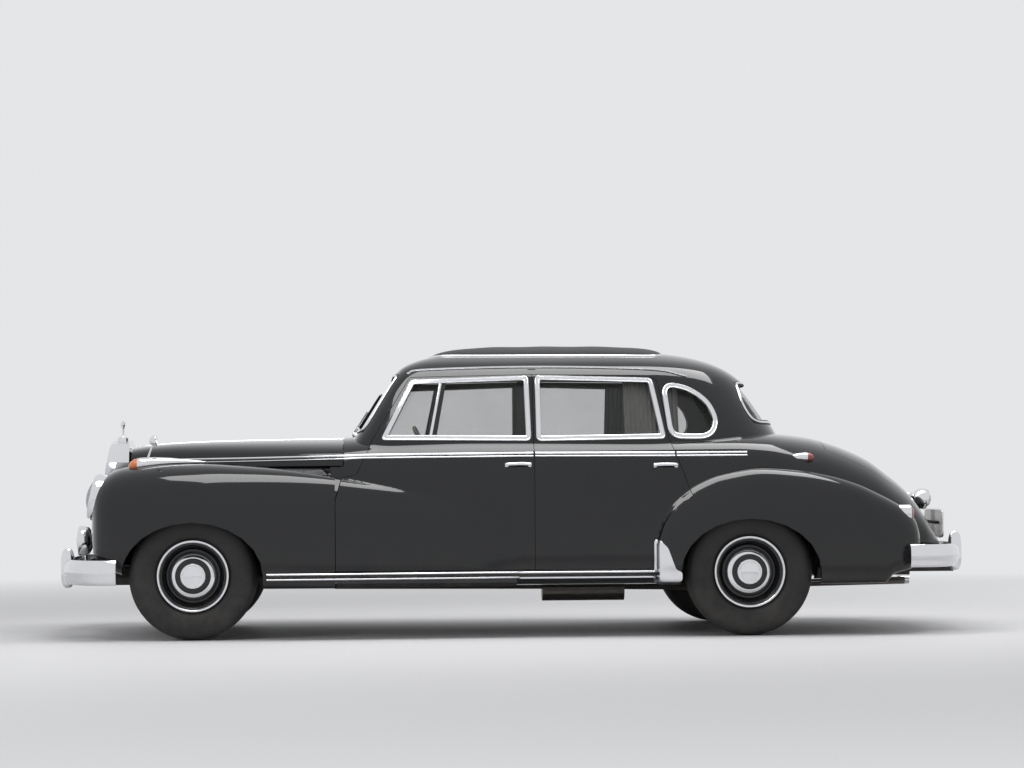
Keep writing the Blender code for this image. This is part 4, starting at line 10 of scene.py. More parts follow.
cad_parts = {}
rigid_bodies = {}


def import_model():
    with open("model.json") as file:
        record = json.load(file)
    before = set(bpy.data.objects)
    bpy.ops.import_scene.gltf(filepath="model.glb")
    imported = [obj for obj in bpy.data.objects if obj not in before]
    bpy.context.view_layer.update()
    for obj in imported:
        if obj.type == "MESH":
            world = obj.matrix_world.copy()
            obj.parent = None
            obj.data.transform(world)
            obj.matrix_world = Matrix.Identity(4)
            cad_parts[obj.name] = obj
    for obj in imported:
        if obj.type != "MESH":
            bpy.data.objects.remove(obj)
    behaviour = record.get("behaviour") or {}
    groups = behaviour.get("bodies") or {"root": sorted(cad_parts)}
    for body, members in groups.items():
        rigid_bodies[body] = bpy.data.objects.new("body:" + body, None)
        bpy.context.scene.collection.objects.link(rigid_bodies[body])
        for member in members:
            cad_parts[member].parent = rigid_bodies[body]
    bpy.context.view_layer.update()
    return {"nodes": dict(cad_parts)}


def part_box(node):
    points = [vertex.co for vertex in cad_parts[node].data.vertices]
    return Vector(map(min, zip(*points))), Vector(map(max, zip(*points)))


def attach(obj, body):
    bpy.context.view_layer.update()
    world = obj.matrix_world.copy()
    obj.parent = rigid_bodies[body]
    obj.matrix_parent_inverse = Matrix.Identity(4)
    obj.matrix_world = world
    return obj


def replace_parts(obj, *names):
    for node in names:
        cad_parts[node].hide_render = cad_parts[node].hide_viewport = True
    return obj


bl_info = {
    "name": "Four-door saloon car",
    "version": (1, 0, 0),
    "blender": (4, 5, 0),
    "location": "3D View > Sidebar > Saloon",
    "description": "Dresses the packed saloon car frame with panels, trim, finishes and a studio",
    "category": "Object",
}

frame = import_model()
NODES = frame["nodes"]

# Sizes of the car, in metres

LENGTH, HALF_WIDTH, ROOF = 5.065, 0.919, 1.600
FRONT_AXLE, REAR_AXLE, HUB_Z = -1.7775, 1.2725, 0.350
WHEEL_PLACES = {"front": (FRONT_AXLE, 0.740), "rear": (REAR_AXLE, 0.7625)}
SEAM = 0.003
SIDES = (("left", -1), ("right", 1))

# Shape tables of the body: places along the car and heights as shares of its length, half width and height

HULL_HALF = (
    (-0.2034, 0.870), (-0.148, 0.898), (-0.040, 0.914), (0.080, 0.914), (0.178, 0.898),
    (0.276, 0.860), (0.3554, 0.805), (0.4146, 0.735), (0.454, 0.635), (0.474, 0.520),
)
HULL_TOP = (
    (-0.2034, 0.690), (-0.148, 0.697), (-0.040, 0.700), (0.276, 0.700), (0.299, 0.696),
    (0.330, 0.685), (0.352, 0.668), (0.376, 0.6425), (0.399, 0.609), (0.4213, 0.559),
    (0.4385, 0.515), (0.450, 0.475), (0.466, 0.390), (0.474, 0.330),
)
HULL_BOTTOM = (
    (-0.2034, 0.175), (0.395, 0.175), (0.405, 0.206), (0.423, 0.223), (0.454, 0.240), (0.474, 0.265),
)
HULL_MIDDLE = ((-0.2034, 0.390), (0.276, 0.390), (0.399, 0.360), (0.474, 0.300))
HULL_UPPER = ((-0.2034, 5.0), (-0.100, 6.0), (0.230, 5.5), (0.330, 3.4), (0.421, 2.6), (0.474, 2.3))
HULL_LOWER = ((-0.2034, 9.0), (0.276, 8.0), (0.399, 5.0), (0.474, 3.5))
CABIN_FRONT = (
    (0.650, -0.1835), (0.675, -0.1795), (0.750, -0.1643), (0.825, -0.1495), (0.8875, -0.137),
    (0.918, -0.1295),
    (0.934, -0.124), (0.956, -0.110), (0.975, -0.088), (0.9875, -0.060), (0.995, -0.025), (1.0, 0.035),
)
CABIN_REAR = (
    (0.650, 0.306), (0.675, 0.303), (0.750, 0.290), (0.825, 0.275), (0.8875, 0.2595), (0.918, 0.247),
    (0.934, 0.238), (0.956, 0.221), (0.975, 0.198), (0.9875, 0.170), (0.995, 0.130), (1.0, 0.075),
)
CABIN_HALF = (
    (0.650, 0.828), (0.675, 0.820), (0.750, 0.780), (0.825, 0.732), (0.8875, 0.684), (0.918, 0.648),
    (0.944, 0.590), (0.969, 0.480), (0.984, 0.370), (0.995, 0.220), (1.0, 0.080),
)
CABIN_MIDDLE, FRONT_POWER, BACK_POWER = 0.056, 11.0, 3.2
FENDER_OUTER = (
    (-0.461, 0.755), (-0.4585, 0.800), (-0.454, 0.845), (-0.447, 0.880), (-0.437, 0.910), (-0.405, 0.955),
    (-0.375, 0.978), (-0.320, 0.996), (-0.257, 1.000), (-0.196, 0.988), (-0.128, 0.966), (-0.060, 0.940),
    (-0.002, 0.905),
)
FENDER_INNER = (
    (-0.461, 0.560), (-0.4585, 0.500), (-0.454, 0.420), (-0.447, 0.340), (-0.437, 0.285), (-0.425, 0.275),
    (-0.375, 0.360), (-0.320, 0.465), (-0.257, 0.575), (-0.196, 0.700), (-0.128, 0.740), (-0.002, 0.760),
)
FENDER_TOP = (
    (-0.461, 0.485), (-0.4585, 0.515), (-0.454, 0.540), (-0.447, 0.562), (-0.437, 0.581), (-0.425, 0.5915),
    (-0.405, 0.5985), (-0.375, 0.602), (-0.343, 0.601), (-0.300, 0.593), (-0.257, 0.581), (-0.214, 0.561),
    (-0.171, 0.539), (-0.128, 0.518), (-0.0845, 0.489), (-0.041, 0.451), (-0.002, 0.410),
)
FENDER_MIDDLE = ((-0.461, 0.400), (-0.425, 0.360), (-0.214, 0.350), (-0.128, 0.345), (-0.002, 0.320))
FENDER_FLOOR = (
    (-0.461, 0.330), (-0.4585, 0.290), (-0.454, 0.268), (-0.437, 0.235), (-0.425, 0.220), (-0.400, 0.175),
    (-0.002, 0.175),
)
FENDER_VALLEY = (
    (-0.461, 0.300), (-0.340, 0.585), (-0.2140, 0.585), (-0.1968, 0.540), (-0.160, 0.300), (-0.002, 0.300),
)
REAR_OUTER = (
    (0.150, 0.915), (0.153, 0.938), (0.158, 0.955), (0.166, 0.972), (0.195, 0.992), (0.251, 1.000),
    (0.310, 0.993), (0.370, 0.965), (0.415, 0.915), (0.430, 0.880), (0.438, 0.845), (0.442, 0.800),
)
REAR_TOP = (
    (0.150, 0.345), (0.153, 0.375), (0.158, 0.425), (0.166, 0.466), (0.178, 0.500), (0.195, 0.532),
    (0.220, 0.560), (0.263, 0.578), (0.306, 0.567), (0.339, 0.549), (0.372, 0.5175), (0.394, 0.486),
    (0.419, 0.444), (0.430, 0.420), (0.438, 0.390), (0.442, 0.360),
)
REAR_FLOOR = ((0.150, 0.180), (0.400, 0.177), (0.410, 0.207), (0.430, 0.225), (0.442, 0.250))
BONNET_HALF = (
    (-0.4260, 0.285), (-0.395, 0.335), (-0.340, 0.445), (-0.270, 0.590), (-0.230, 0.672), (-0.189, 0.745),
)
BONNET_TOP = (
    (-0.4260, 0.660), (-0.407, 0.669), (-0.375, 0.677), (-0.330, 0.682), (-0.260, 0.686), (-0.189, 0.6885),
)
BONNET_BASE = 0.592
FRONT_DOOR = (
    (-0.1974, 0.2325), (-0.1976, 0.473), (-0.1905, 0.550), (-0.1747, 0.561), (-0.161, 0.650),
    (-0.158, 0.677), (-0.116, 0.8975), (0.018, 0.9055), (0.018, 0.2325),
)
REAR_DOOR = (
    (0.018, 0.2325), (0.018, 0.9055), (0.149, 0.900), (0.156, 0.880), (0.161, 0.790), (0.166, 0.684),
    (0.1832, 0.535), (0.190, 0.477), (0.1787, 0.4605), (0.1655, 0.423), (0.1556, 0.369), (0.149, 0.3125),
    (0.1457, 0.2325),
)
FRONT_GLASS = ((-0.140, 0.696), (-0.1115, 0.873), (0.0087, 0.885), (0.0100, 0.691))
REAR_GLASS = ((0.0263, 0.690), (0.0263, 0.886), (0.146, 0.8756), (0.1568, 0.695))
QUARTER_GLASS = (
    (0.1655, 0.862), (0.1714, 0.695), (0.2077, 0.694), (0.2154, 0.715), (0.2178, 0.746), (0.2113, 0.795),
    (0.2004, 0.827), (0.186, 0.851),
)
WINDSCREEN = ((-0.713, 0.710), (-0.598, 0.906), (0.598, 0.906), (0.713, 0.710))
REAR_WINDOW = (
    (-0.560, 0.735), (-0.540, 0.800), (-0.440, 0.878), (0.440, 0.878), (0.540, 0.800), (0.560, 0.735),
)
LID_SIDE = ((0.344, 0.600), (0.380, 0.595), (0.410, 0.575), (0.432, 0.530), (0.450, 0.465), (0.4695, 0.360))
LID_LOW = 0.325
ARCH_REACH, ARCH_RISE = 0.385, 0.292
FENDER_CROWN, FENDER_INSIDE, FENDER_BELOW = 2.7, 6.0, 7.0
REAR_CROWN, REAR_INNER, REAR_MIDDLE = 2.5, 0.620, 0.300
HEADLAMP_Y, TURN_LAMP_Y, HORN_Y, RAIL_Y = 0.612, 0.660, 0.430, 0.330
FOG_RADIUS = 0.082
PIPE_END = (2.360, 0.500, 0.250)
PLATE_Z = 0.5975


# Plane geometry

def xz(rows):
    """Shares of length and height to metres."""
    return [(x * LENGTH, z * ROOF) for x, z in rows]


def yz(rows):
    """Shares of half width and height to metres."""
    return [(y * HALF_WIDTH, z * ROOF) for y, z in rows]


def within(outline, a, b):
    """Even-odd rule: a point is inside if a ray from it crosses the outline an odd number of times."""
    result = np.zeros(np.shape(a), bool)
    points = list(outline)
    for (a0, b0), (a1, b1) in zip(points, points[1:] + points[:1]):
        if b0 == b1:
            continue
        crosses = (b0 > b) != (b1 > b)
        result ^= crosses & (a < (a1 - a0) * (b - b0) / (b1 - b0) + a0)
    return result


def unit(rows):
    """Rows divided by their lengths."""
    return rows / np.linalg.norm(rows, axis=1)[:, None]


def offset(outline, distance):
    """Each side moves out by the distance along its normal, and new corners are where moved sides meet."""
    points = np.array(outline, float)
    following = np.roll(points, -1, axis=0)
    area = np.sum(points[:, 0] * following[:, 1] - following[:, 0] * points[:, 1])
    along = following - points
    along = unit(along)
    normal = np.stack([along[:, 1], -along[:, 0]], axis=1) * (1 if area > 0 else -1)
    before = np.roll(normal, 1, axis=0)
    middle = normal + before
    scale = distance * 2 / np.maximum(np.sum(middle * middle, axis=1), 0.35)
    return [tuple(p) for p in points + middle * scale[:, None]]


def rounded(outline, radius, steps=6):
    """Each corner becomes a quadratic curve from radius before it to radius after it."""
    points = np.array(outline, float)
    result = []
    for i in range(len(points)):
        corner = points[i]
        back, ahead = points[i - 1] - corner, points[(i + 1) % len(points)] - corner
        start = corner + back * min(radius / np.linalg.norm(back), 0.45)
        end = corner + ahead * min(radius / np.linalg.norm(ahead), 0.45)
        for t in np.linspace(0, 1, steps):
            result.append(tuple((1 - t) ** 2 * start + 2 * t * (1 - t) * corner + t * t * end))
    return result


def resampled(path, step, closed=False):
    """Points at even distances along a path."""
    points = np.array(path, float)
    if closed:
        points = np.vstack([points, points[:1]])
    lengths = np.linalg.norm(np.diff(points, axis=0), axis=1)
    reach = np.concatenate([[0], np.cumsum(lengths)])
    count = max(int(round(reach[-1] / step)), 3)
    places = np.linspace(0, reach[-1], count + 1)
    result = np.stack([np.interp(places, reach, points[:, k]) for k in range(points.shape[1])], axis=1)
    return result[:-1] if closed else result


# Body surfaces

def curve(rows, at):
    """Cubic Hermite through (place, value) rows: a slope is the harmonic mean of its sides, 0 at a turn."""
    x, y = np.array(rows, float).T
    at = np.clip(np.asarray(at, float), x[0], x[-1])
    step = np.diff(x)
    rise = np.diff(y) / step
    same = rise[:-1] * rise[1:] > 0
    total = np.where(same, rise[:-1] + rise[1:], 1)
    slope = np.concatenate([[rise[0]], np.where(same, 2 * rise[:-1] * rise[1:] / total, 0), [rise[-1]]])
    i = np.clip(np.searchsorted(x, at, side="right") - 1, 0, len(step) - 1)
    t = (at - x[i]) / step[i]
    return (
        (2 * t**3 - 3 * t**2 + 1) * y[i] + (t**3 - 2 * t**2 + t) * slope[i] * step[i]
        + (3 * t**2 - 2 * t**3) * y[i + 1] + (t**3 - t**2) * slope[i + 1] * step[i]
    )


def ring(angle, power):
    """Point of |a|^p + |b|^p = 1 in the direction of the angle."""
    c, s = np.cos(angle), np.sin(angle)
    size = (np.abs(c) ** power + np.abs(s) ** power) ** (-1 / power)
    return c * size, s * size


def superellipsoid(rise_step, turn_step, rise_power, plan_power):
    """Points of (|a|^p + |b|^p)^(q/p) + |c|^q = 1 on a grid of angles in degrees: (a, b, c)."""
    u, v = np.meshgrid(
        np.radians(grid(-90, 90, rise_step)), np.radians(np.arange(0, 360, turn_step)), indexing="ij",
    )
    flat, rise = ring(u, rise_power)
    a, b = ring(v, plan_power)
    return flat * a, flat * b, rise


def arc(reach, power):
    """b on |a|^p + |b|^p = 1 for a = reach, 0 past the end."""
    return np.maximum(1 - np.clip(np.abs(reach), 0, 1) ** power, 0) ** (1 / power)


def hull_surface(grow):
    """Lower body: superellipse sections across the car, closed at the tail by drawing the last one in."""
    def surface(station, angle):
        s = np.minimum(station, 0.474)
        shrink = np.clip((0.478 - station) / 0.004, 0, 1)
        half = curve(HULL_HALF, s) * HALF_WIDTH + grow
        top = curve(HULL_TOP, s) * ROOF + grow
        bottom = curve(HULL_BOTTOM, s) * ROOF - grow
        middle = curve(HULL_MIDDLE, s) * ROOF
        power = np.where(np.sin(angle) >= 0, curve(HULL_UPPER, s), curve(HULL_LOWER, s))
        y, z = ring(angle, power)
        x = s * LENGTH + grow * (station > 0.474) * np.ones_like(angle)
        return x, y * half * shrink, middle + z * np.where(z >= 0, top - middle, middle - bottom) * shrink
    return surface


def hull_half(x, z):
    """Half width of the lower body at a place along the car and a height."""
    s = x / LENGTH
    half, top = curve(HULL_HALF, s) * HALF_WIDTH, curve(HULL_TOP, s) * ROOF
    bottom, middle = curve(HULL_BOTTOM, s) * ROOF, curve(HULL_MIDDLE, s) * ROOF
    reach = np.where(z >= middle, (z - middle) / (top - middle), (middle - z) / (middle - bottom))
    return half * arc(reach, np.where(z >= middle, curve(HULL_UPPER, s), curve(HULL_LOWER, s)))


def cabin_surface(grow):
    """Upper cabin: superellipse plans stacked up to the roof, blunt in front and round behind."""
    def surface(level, angle):
        share = np.minimum(level, 1.0)
        shrink = np.clip((1.05 - level) / 0.05, 0, 1)
        middle = CABIN_MIDDLE * LENGTH
        front = (middle - curve(CABIN_FRONT, share) * LENGTH + grow) * shrink
        rear = (curve(CABIN_REAR, share) * LENGTH - middle + grow) * shrink
        half = (curve(CABIN_HALF, share) * HALF_WIDTH + grow) * shrink
        x, y = ring(angle, np.where(np.cos(angle) >= 0, BACK_POWER, FRONT_POWER))
        height = 0.65 * ROOF + (share - 0.65) * ROOF * (0.35 * ROOF + grow) / (0.35 * ROOF)
        return middle + x * np.where(x >= 0, rear, front), y * half, height + 0 * x
    return surface


def cabin_half(x, z):
    """Half width of the cabin at a place along the car and a height, 0 outside it."""
    share = z / ROOF
    middle = CABIN_MIDDLE * LENGTH
    front, rear = middle - curve(CABIN_FRONT, share) * LENGTH, curve(CABIN_REAR, share) * LENGTH - middle
    reach = np.where(x >= middle, (x - middle) / rear, (middle - x) / front)
    half = curve(CABIN_HALF, share) * HALF_WIDTH * arc(reach, np.where(x >= middle, BACK_POWER, FRONT_POWER))
    return np.where(share >= 0.64, half, 0)


def cabin_end(y, z, way):
    """Place along the car of the cabin's front (way -1) or back (way 1) at a half width and a height."""
    share = z / ROOF
    half = curve(CABIN_HALF, share) * HALF_WIDTH
    middle = CABIN_MIDDLE * LENGTH
    reach = (
        middle - curve(CABIN_FRONT, share) * LENGTH
    ) if way < 0 else (curve(CABIN_REAR, share) * LENGTH - middle)
    return middle + way * reach * arc(y / half, FRONT_POWER if way < 0 else BACK_POWER)


def fender_surface(side, grow):
    """Front fender: lopsided superellipse sections, drawn in to close the nose."""
    def surface(station, angle):
        s = np.maximum(station, -0.461)
        shrink = np.clip((station + 0.465) / 0.004, 0, 1)
        outer = curve(FENDER_OUTER, s) * HALF_WIDTH + grow
        inner = curve(FENDER_INNER, s) * HALF_WIDTH - grow
        top = curve(FENDER_TOP, s) * ROOF + grow
        valley = np.maximum(curve(FENDER_VALLEY, s) * ROOF + grow, top)
        middle = curve(FENDER_MIDDLE, s) * ROOF
        bottom = curve(FENDER_FLOOR, s) * ROOF - grow
        c, sine = np.cos(angle), np.sin(angle)
        power = np.where(sine < 0, FENDER_BELOW, np.where(c >= 0, FENDER_CROWN, FENDER_INSIDE))
        y, z = ring(angle, power)
        crest = top + (valley - top) * np.minimum(1, np.maximum(0, -c) * 2)
        height = np.where(z >= 0, crest - middle, middle - bottom)
        x = s * LENGTH - grow * (station < -0.461) + 0 * angle
        across = (outer + inner) / 2 + y * shrink * (outer - inner) / 2
        return x, side * across, middle + z * height * shrink
    return surface


def fender_half(x, z):
    """Outer half width of the front fender and its tail at a place and a height, 0 past them."""
    s = x / LENGTH
    outer, inner = curve(FENDER_OUTER, s) * HALF_WIDTH, curve(FENDER_INNER, s) * HALF_WIDTH
    top, middle = curve(FENDER_TOP, s) * ROOF, curve(FENDER_MIDDLE, s) * ROOF
    bottom = curve(FENDER_FLOOR, s) * ROOF
    reach = np.where(z >= middle, (z - middle) / (top - middle), (middle - z) / (middle - bottom))
    half = (outer + inner) / 2 + (outer - inner) / 2 * arc(
        reach, np.where(z >= middle, FENDER_CROWN, FENDER_BELOW),
    )
    return np.where((s < -0.001) & (reach < 1), half, 0)


def rear_fender_surface(side, grow):
    """Rear fender: superellipse sections outside the lower body, drawn in to close both ends."""
    def surface(station, angle):
        s = np.clip(station, 0.150, 0.442)
        shrink = np.clip((0.447 - station) / 0.005, 0, 1) * np.clip((station - 0.147) / 0.003, 0, 1)
        outer = curve(REAR_OUTER, s) * HALF_WIDTH + grow
        inner = REAR_INNER * HALF_WIDTH
        top, bottom = curve(REAR_TOP, s) * ROOF + grow, curve(REAR_FLOOR, s) * ROOF - grow
        middle = REAR_MIDDLE * ROOF
        c, sine = np.cos(angle), np.sin(angle)
        y, z = ring(angle, np.where(sine < 0, FENDER_BELOW, np.where(c >= 0, REAR_CROWN, FENDER_INSIDE)))
        height = np.where(z >= 0, top - middle, middle - bottom)
        x = s * LENGTH + grow * (station > 0.442) + 0 * angle
        across = (outer + inner) / 2 + y * shrink * (outer - inner) / 2
        return x, side * across, middle + z * height * shrink
    return surface


def rear_fender_half(x, z):
    """Outer half width of the rear fender at a place and a height, 0 past it."""
    s = x / LENGTH
    outer, inner = curve(REAR_OUTER, s) * HALF_WIDTH, REAR_INNER * HALF_WIDTH
    top, bottom, middle = curve(REAR_TOP, s) * ROOF, curve(REAR_FLOOR, s) * ROOF, REAR_MIDDLE * ROOF
    reach = np.where(z >= middle, (z - middle) / (top - middle), (middle - z) / (middle - bottom))
    half = (outer + inner) / 2 + (outer - inner) / 2 * arc(
        reach, np.where(z >= middle, REAR_CROWN, FENDER_BELOW),
    )
    return np.where((s > 0.150) & (s < 0.442) & (reach < 1), half, 0)


def soft_max(a, b, width=0.010):
    """Larger of two values, with a small round where they are close."""
    overlap = np.maximum(width - np.abs(a - b), 0) / width
    return np.maximum(a, b) + overlap * overlap * width / 4


def door_half(x, z):
    """Half width of the doors: lower body, cabin side and the front fender's tail."""
    return soft_max(soft_max(hull_half(x, z), cabin_half(x, z), 0.020), fender_half(x, z), 0.016)


def side_half(x, z):
    """Half width of the whole side with both fenders."""
    return np.maximum(door_half(x, z), rear_fender_half(x, z))


def side_surface(side, half, grow):
    """The side as a sheet over its side view."""
    def surface(x, z):
        return x, side * (half(x, z) + grow), z
    return surface


def bonnet_surface(grow):
    """Bonnet: half superellipses from the radiator to the cowl."""
    def surface(station, angle):
        half = curve(BONNET_HALF, station) * HALF_WIDTH + grow
        base = BONNET_BASE * ROOF
        rise = curve(BONNET_TOP, station) * ROOF - base + grow
        y, z = ring(angle, 3.0)
        return station * LENGTH + 0 * angle, y * half, base + z * rise
    return surface


def side_normal(x, z, side, half):
    """Outward direction of a side sheet, from the slopes of its half width."""
    d = 0.004
    slope_x = (half(x + d, z) - half(x - d, z)) / (2 * d)
    slope_z = (half(x, z + d) - half(x, z - d)) / (2 * d)
    normal = np.stack([-slope_x, side * np.ones_like(slope_x), -slope_z], axis=-1)
    return normal / np.linalg.norm(normal, axis=-1, keepdims=True)


def arch(axle, grow=0.0):
    """Half ellipse over the hub with straight sides to the ground."""
    angle = np.linspace(0, math.pi, 33)
    reach, rise = ARCH_REACH + grow, ARCH_RISE + grow
    points = [(axle + reach * math.cos(a), HUB_Z + rise * math.sin(a)) for a in angle]
    return points + [(axle - reach, 0), (axle + reach, 0)]


def lid_plan(grow=0.0):
    """Plan outline of the boot lid."""
    half = [(x * LENGTH, y * HALF_WIDTH) for x, y in LID_SIDE]
    tail = [(half[-1][0] + 0.05, half[-1][1]), (half[-1][0] + 0.05, -half[-1][1])]
    return offset(half + tail + [(x, -y) for x, y in reversed(half)], grow)


# Mesh making

def make_mesh(name, points, faces, finish, body, core, wall=0.0):
    """A sheet whose faces point away from core: the sum of normal . (centre - core) is above 0."""
    mesh = bpy.data.meshes.new(name)
    mesh.from_pydata(np.asarray(points, float).tolist(), [], [list(face) for face in faces])
    count = len(mesh.polygons)
    normals, centres = np.empty(count * 3), np.empty(count * 3)
    mesh.polygons.foreach_get("normal", normals)
    mesh.polygons.foreach_get("center", centres)
    away = centres.reshape(-1, 3) - np.array(core)
    if np.sum(normals.reshape(-1, 3) * away) < 0:
        mesh.flip_normals()
    mesh.polygons.foreach_set("use_smooth", np.ones(count, bool))
    mesh.set_sharp_from_angle(angle=math.radians(40))
    mesh.materials.append(FINISHES[finish])
    obj = bpy.data.objects.new(name, mesh)
    bpy.context.scene.collection.objects.link(obj)
    if wall:
        sheet = obj.modifiers.new("wall", "SOLIDIFY")
        sheet.thickness = wall
        sheet.offset = -1
    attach(obj, body)
    return obj


def trimmed(surface, u, v, keep):
    """Grid of a surface cut to where keep holds; edge points slide to the cut by halving the step."""
    grid_u, grid_v = np.meshgrid(u, v, indexing="ij")
    inside = keep(*surface(grid_u, grid_v))
    cell = inside[:-1, :-1] | inside[1:, :-1] | inside[:-1, 1:] | inside[1:, 1:]
    used = np.zeros_like(inside)
    for part in (used[:-1, :-1], used[1:, :-1], used[:-1, 1:], used[1:, 1:]):
        part |= cell
    stray = used & ~inside
    near_u, near_v = grid_u.copy(), grid_v.copy()
    found = np.zeros_like(inside)
    for du, dv in ((1, 0), (-1, 0), (0, 1), (0, -1), (1, 1), (1, -1), (-1, 1), (-1, -1)):
        a = np.s_[max(-du, 0):inside.shape[0] - max(du, 0), max(-dv, 0):inside.shape[1] - max(dv, 0)]
        b = np.s_[max(du, 0):inside.shape[0] - max(-du, 0), max(dv, 0):inside.shape[1] - max(-dv, 0)]
        take = stray[a] & ~found[a] & inside[b]
        near_u[a] = np.where(take, grid_u[b], near_u[a])
        near_v[a] = np.where(take, grid_v[b], near_v[a])
        found[a] |= take
    far_u, far_v = grid_u[stray], grid_v[stray]
    in_u, in_v = near_u[stray], near_v[stray]
    for _ in range(14):
        mid_u, mid_v = (far_u + in_u) / 2, (far_v + in_v) / 2
        good = keep(*surface(mid_u, mid_v))
        in_u, in_v = np.where(good, mid_u, in_u), np.where(good, mid_v, in_v)
        far_u, far_v = np.where(good, far_u, mid_u), np.where(good, far_v, mid_v)
    grid_u[stray], grid_v[stray] = in_u, in_v
    points = np.stack(surface(grid_u, grid_v), axis=-1)[used]
    number = np.cumsum(used.ravel()).reshape(used.shape) - 1
    quads = np.stack([number[:-1, :-1], number[1:, :-1], number[1:, 1:], number[:-1, 1:]], axis=-1)[cell]
    return points, quads


def tube_faces(rows, columns, close_rows=False, close_columns=True):
    """Quads between the rows of a grid of points, round the columns."""
    i = np.arange(rows if close_rows else rows - 1)
    j = np.arange(columns if close_columns else columns - 1)
    i, j = np.meshgrid(i, j, indexing="ij")
    a, b = i, (i + 1) % rows
    c, d = j, (j + 1) % columns
    return np.stack(
        [a * columns + c, b * columns + c, b * columns + d, a * columns + d], axis=-1,
    ).reshape(-1, 4)


def swept_piece(name, path, normals, section, finish, body, closed=False):
    """Section (across, out) carried along a path: across is the path's direction times the normal."""
    path, section = np.asarray(path, float), np.asarray(section, float)
    if closed:
        along = np.roll(path, -1, axis=0) - np.roll(path, 1, axis=0)
    else:
        along = np.gradient(path, axis=0)
    along = unit(along)
    across = np.cross(along, normals)
    across = unit(across)
    points = path[:, None] + across[:, None] * section[None, :, :1] + normals[:, None] * section[None, :, 1:]
    return tube_piece(name, points, finish, body, ends=not closed, closed=closed)


def tube_piece(name, points, finish, body, angle=40, ends=True, closed=False):
    """A grid of points as a tube round its columns, with flat ends where it is open."""
    rows, columns = points.shape[:2]
    faces = tube_faces(rows, columns, closed).tolist()
    if ends:
        faces += [list(range(columns)), list(range((rows - 1) * columns, rows * columns))]
    return solid_piece(name, points, faces, finish, body, angle)


def solid_piece(name, points, faces, finish, body, angle=40):
    """Makes a mesh, welds it, turns its faces outwards and makes it a piece of a body."""
    mesh = bpy.data.meshes.new(name)
    mesh.from_pydata(points.reshape(-1, 3).tolist(), [], faces)
    shape = bmesh.new()
    shape.from_mesh(mesh)
    bmesh.ops.remove_doubles(shape, verts=shape.verts, dist=1e-5)
    bmesh.ops.recalc_face_normals(shape, faces=shape.faces)
    shape.to_mesh(mesh)
    shape.free()
    mesh.polygons.foreach_set("use_smooth", np.ones(len(mesh.polygons), bool))
    mesh.set_sharp_from_angle(angle=math.radians(angle))
    mesh.materials.append(FINISHES[finish])
    obj = bpy.data.objects.new(name, mesh)
    bpy.context.scene.collection.objects.link(obj)
    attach(obj, body)
    return obj


def half_round(width, height, steps=7):
    """Section of a bead: half an ellipse over a short foot."""
    angle = np.linspace(0, math.pi, steps)
    bow = [(width / 2 * math.cos(a), height * math.sin(a)) for a in angle]
    return bow + [(-width / 2, -0.004), (width / 2, -0.004)]


def oval(width, height, steps=16):
    """Points (w/2 cos a, h/2 sin a) for a from 0 to 2 pi."""
    angle = np.linspace(0, 2 * math.pi, steps, endpoint=False)
    return [(width / 2 * math.cos(a), height / 2 * math.sin(a)) for a in angle]


def side_trim(name, path, side, half, width, height, finish, body, closed=False, grow=0.0, step=0.012):
    """A bead that follows the side of the car along a path in side view."""
    flat = resampled(path, step, closed)
    x, z = flat[:, 0], flat[:, 1]
    y = side * (half(x, z) + grow)
    return swept_piece(
        name, np.stack([x, y, z], axis=1), side_normal(x, z, side, half), half_round(width, height),
        finish, body, closed,
    )


def turned(name, profile, centre, axis, finish, body, steps=96, ripple=None, angle=40):
    """Profile (along, radius) turned about an axis through the centre."""
    profile = np.array(profile, float)
    axis = Vector(axis).normalized()
    first = axis.orthogonal().normalized()
    second = axis.cross(first)
    axis, first, second = np.array(axis), np.array(first), np.array(second)
    turn = np.linspace(0, 2 * math.pi, steps, endpoint=False)
    radius = profile[None, :, 1] + (
        ripple(turn[:, None], profile[None, :, 0], profile[None, :, 1]) if ripple else 0
    )
    points = (
        np.array(centre) + axis * profile[None, :, :1]
        + radius[..., None] * (np.cos(turn)[:, None, None] * first + np.sin(turn)[:, None, None] * second)
    )
    closed_profile = profile[0, 1] > 1e-6 and profile[-1, 1] > 1e-6
    faces = tube_faces(steps, len(profile), True, closed_profile)
    return solid_piece(name, points, faces.tolist(), finish, body, angle)


def smooth_profile(rows, steps=8):
    """Catmull-Rom curve through profile rows."""
    rows = np.array(rows, float)
    padded = np.vstack([2 * rows[0] - rows[1], rows, 2 * rows[-1] - rows[-2]])
    result = []
    for i in range(1, len(padded) - 2):
        p0, p1, p2, p3 = padded[i - 1:i + 3]
        for t in np.linspace(0, 1, steps, endpoint=False):
            result.append(0.5 * (
                2 * p1 + (p2 - p0) * t + (
                    2 * p0 - 5 * p1 + 4 * p2 - p3
                ) * t**2 + (3 * p1 - p0 - 3 * p2 + p3) * t**3
            ))
    result.append(rows[-1])
    result = np.array(result)
    result[:, 1] = np.maximum(result[:, 1], 0)
    return result


# Finishes

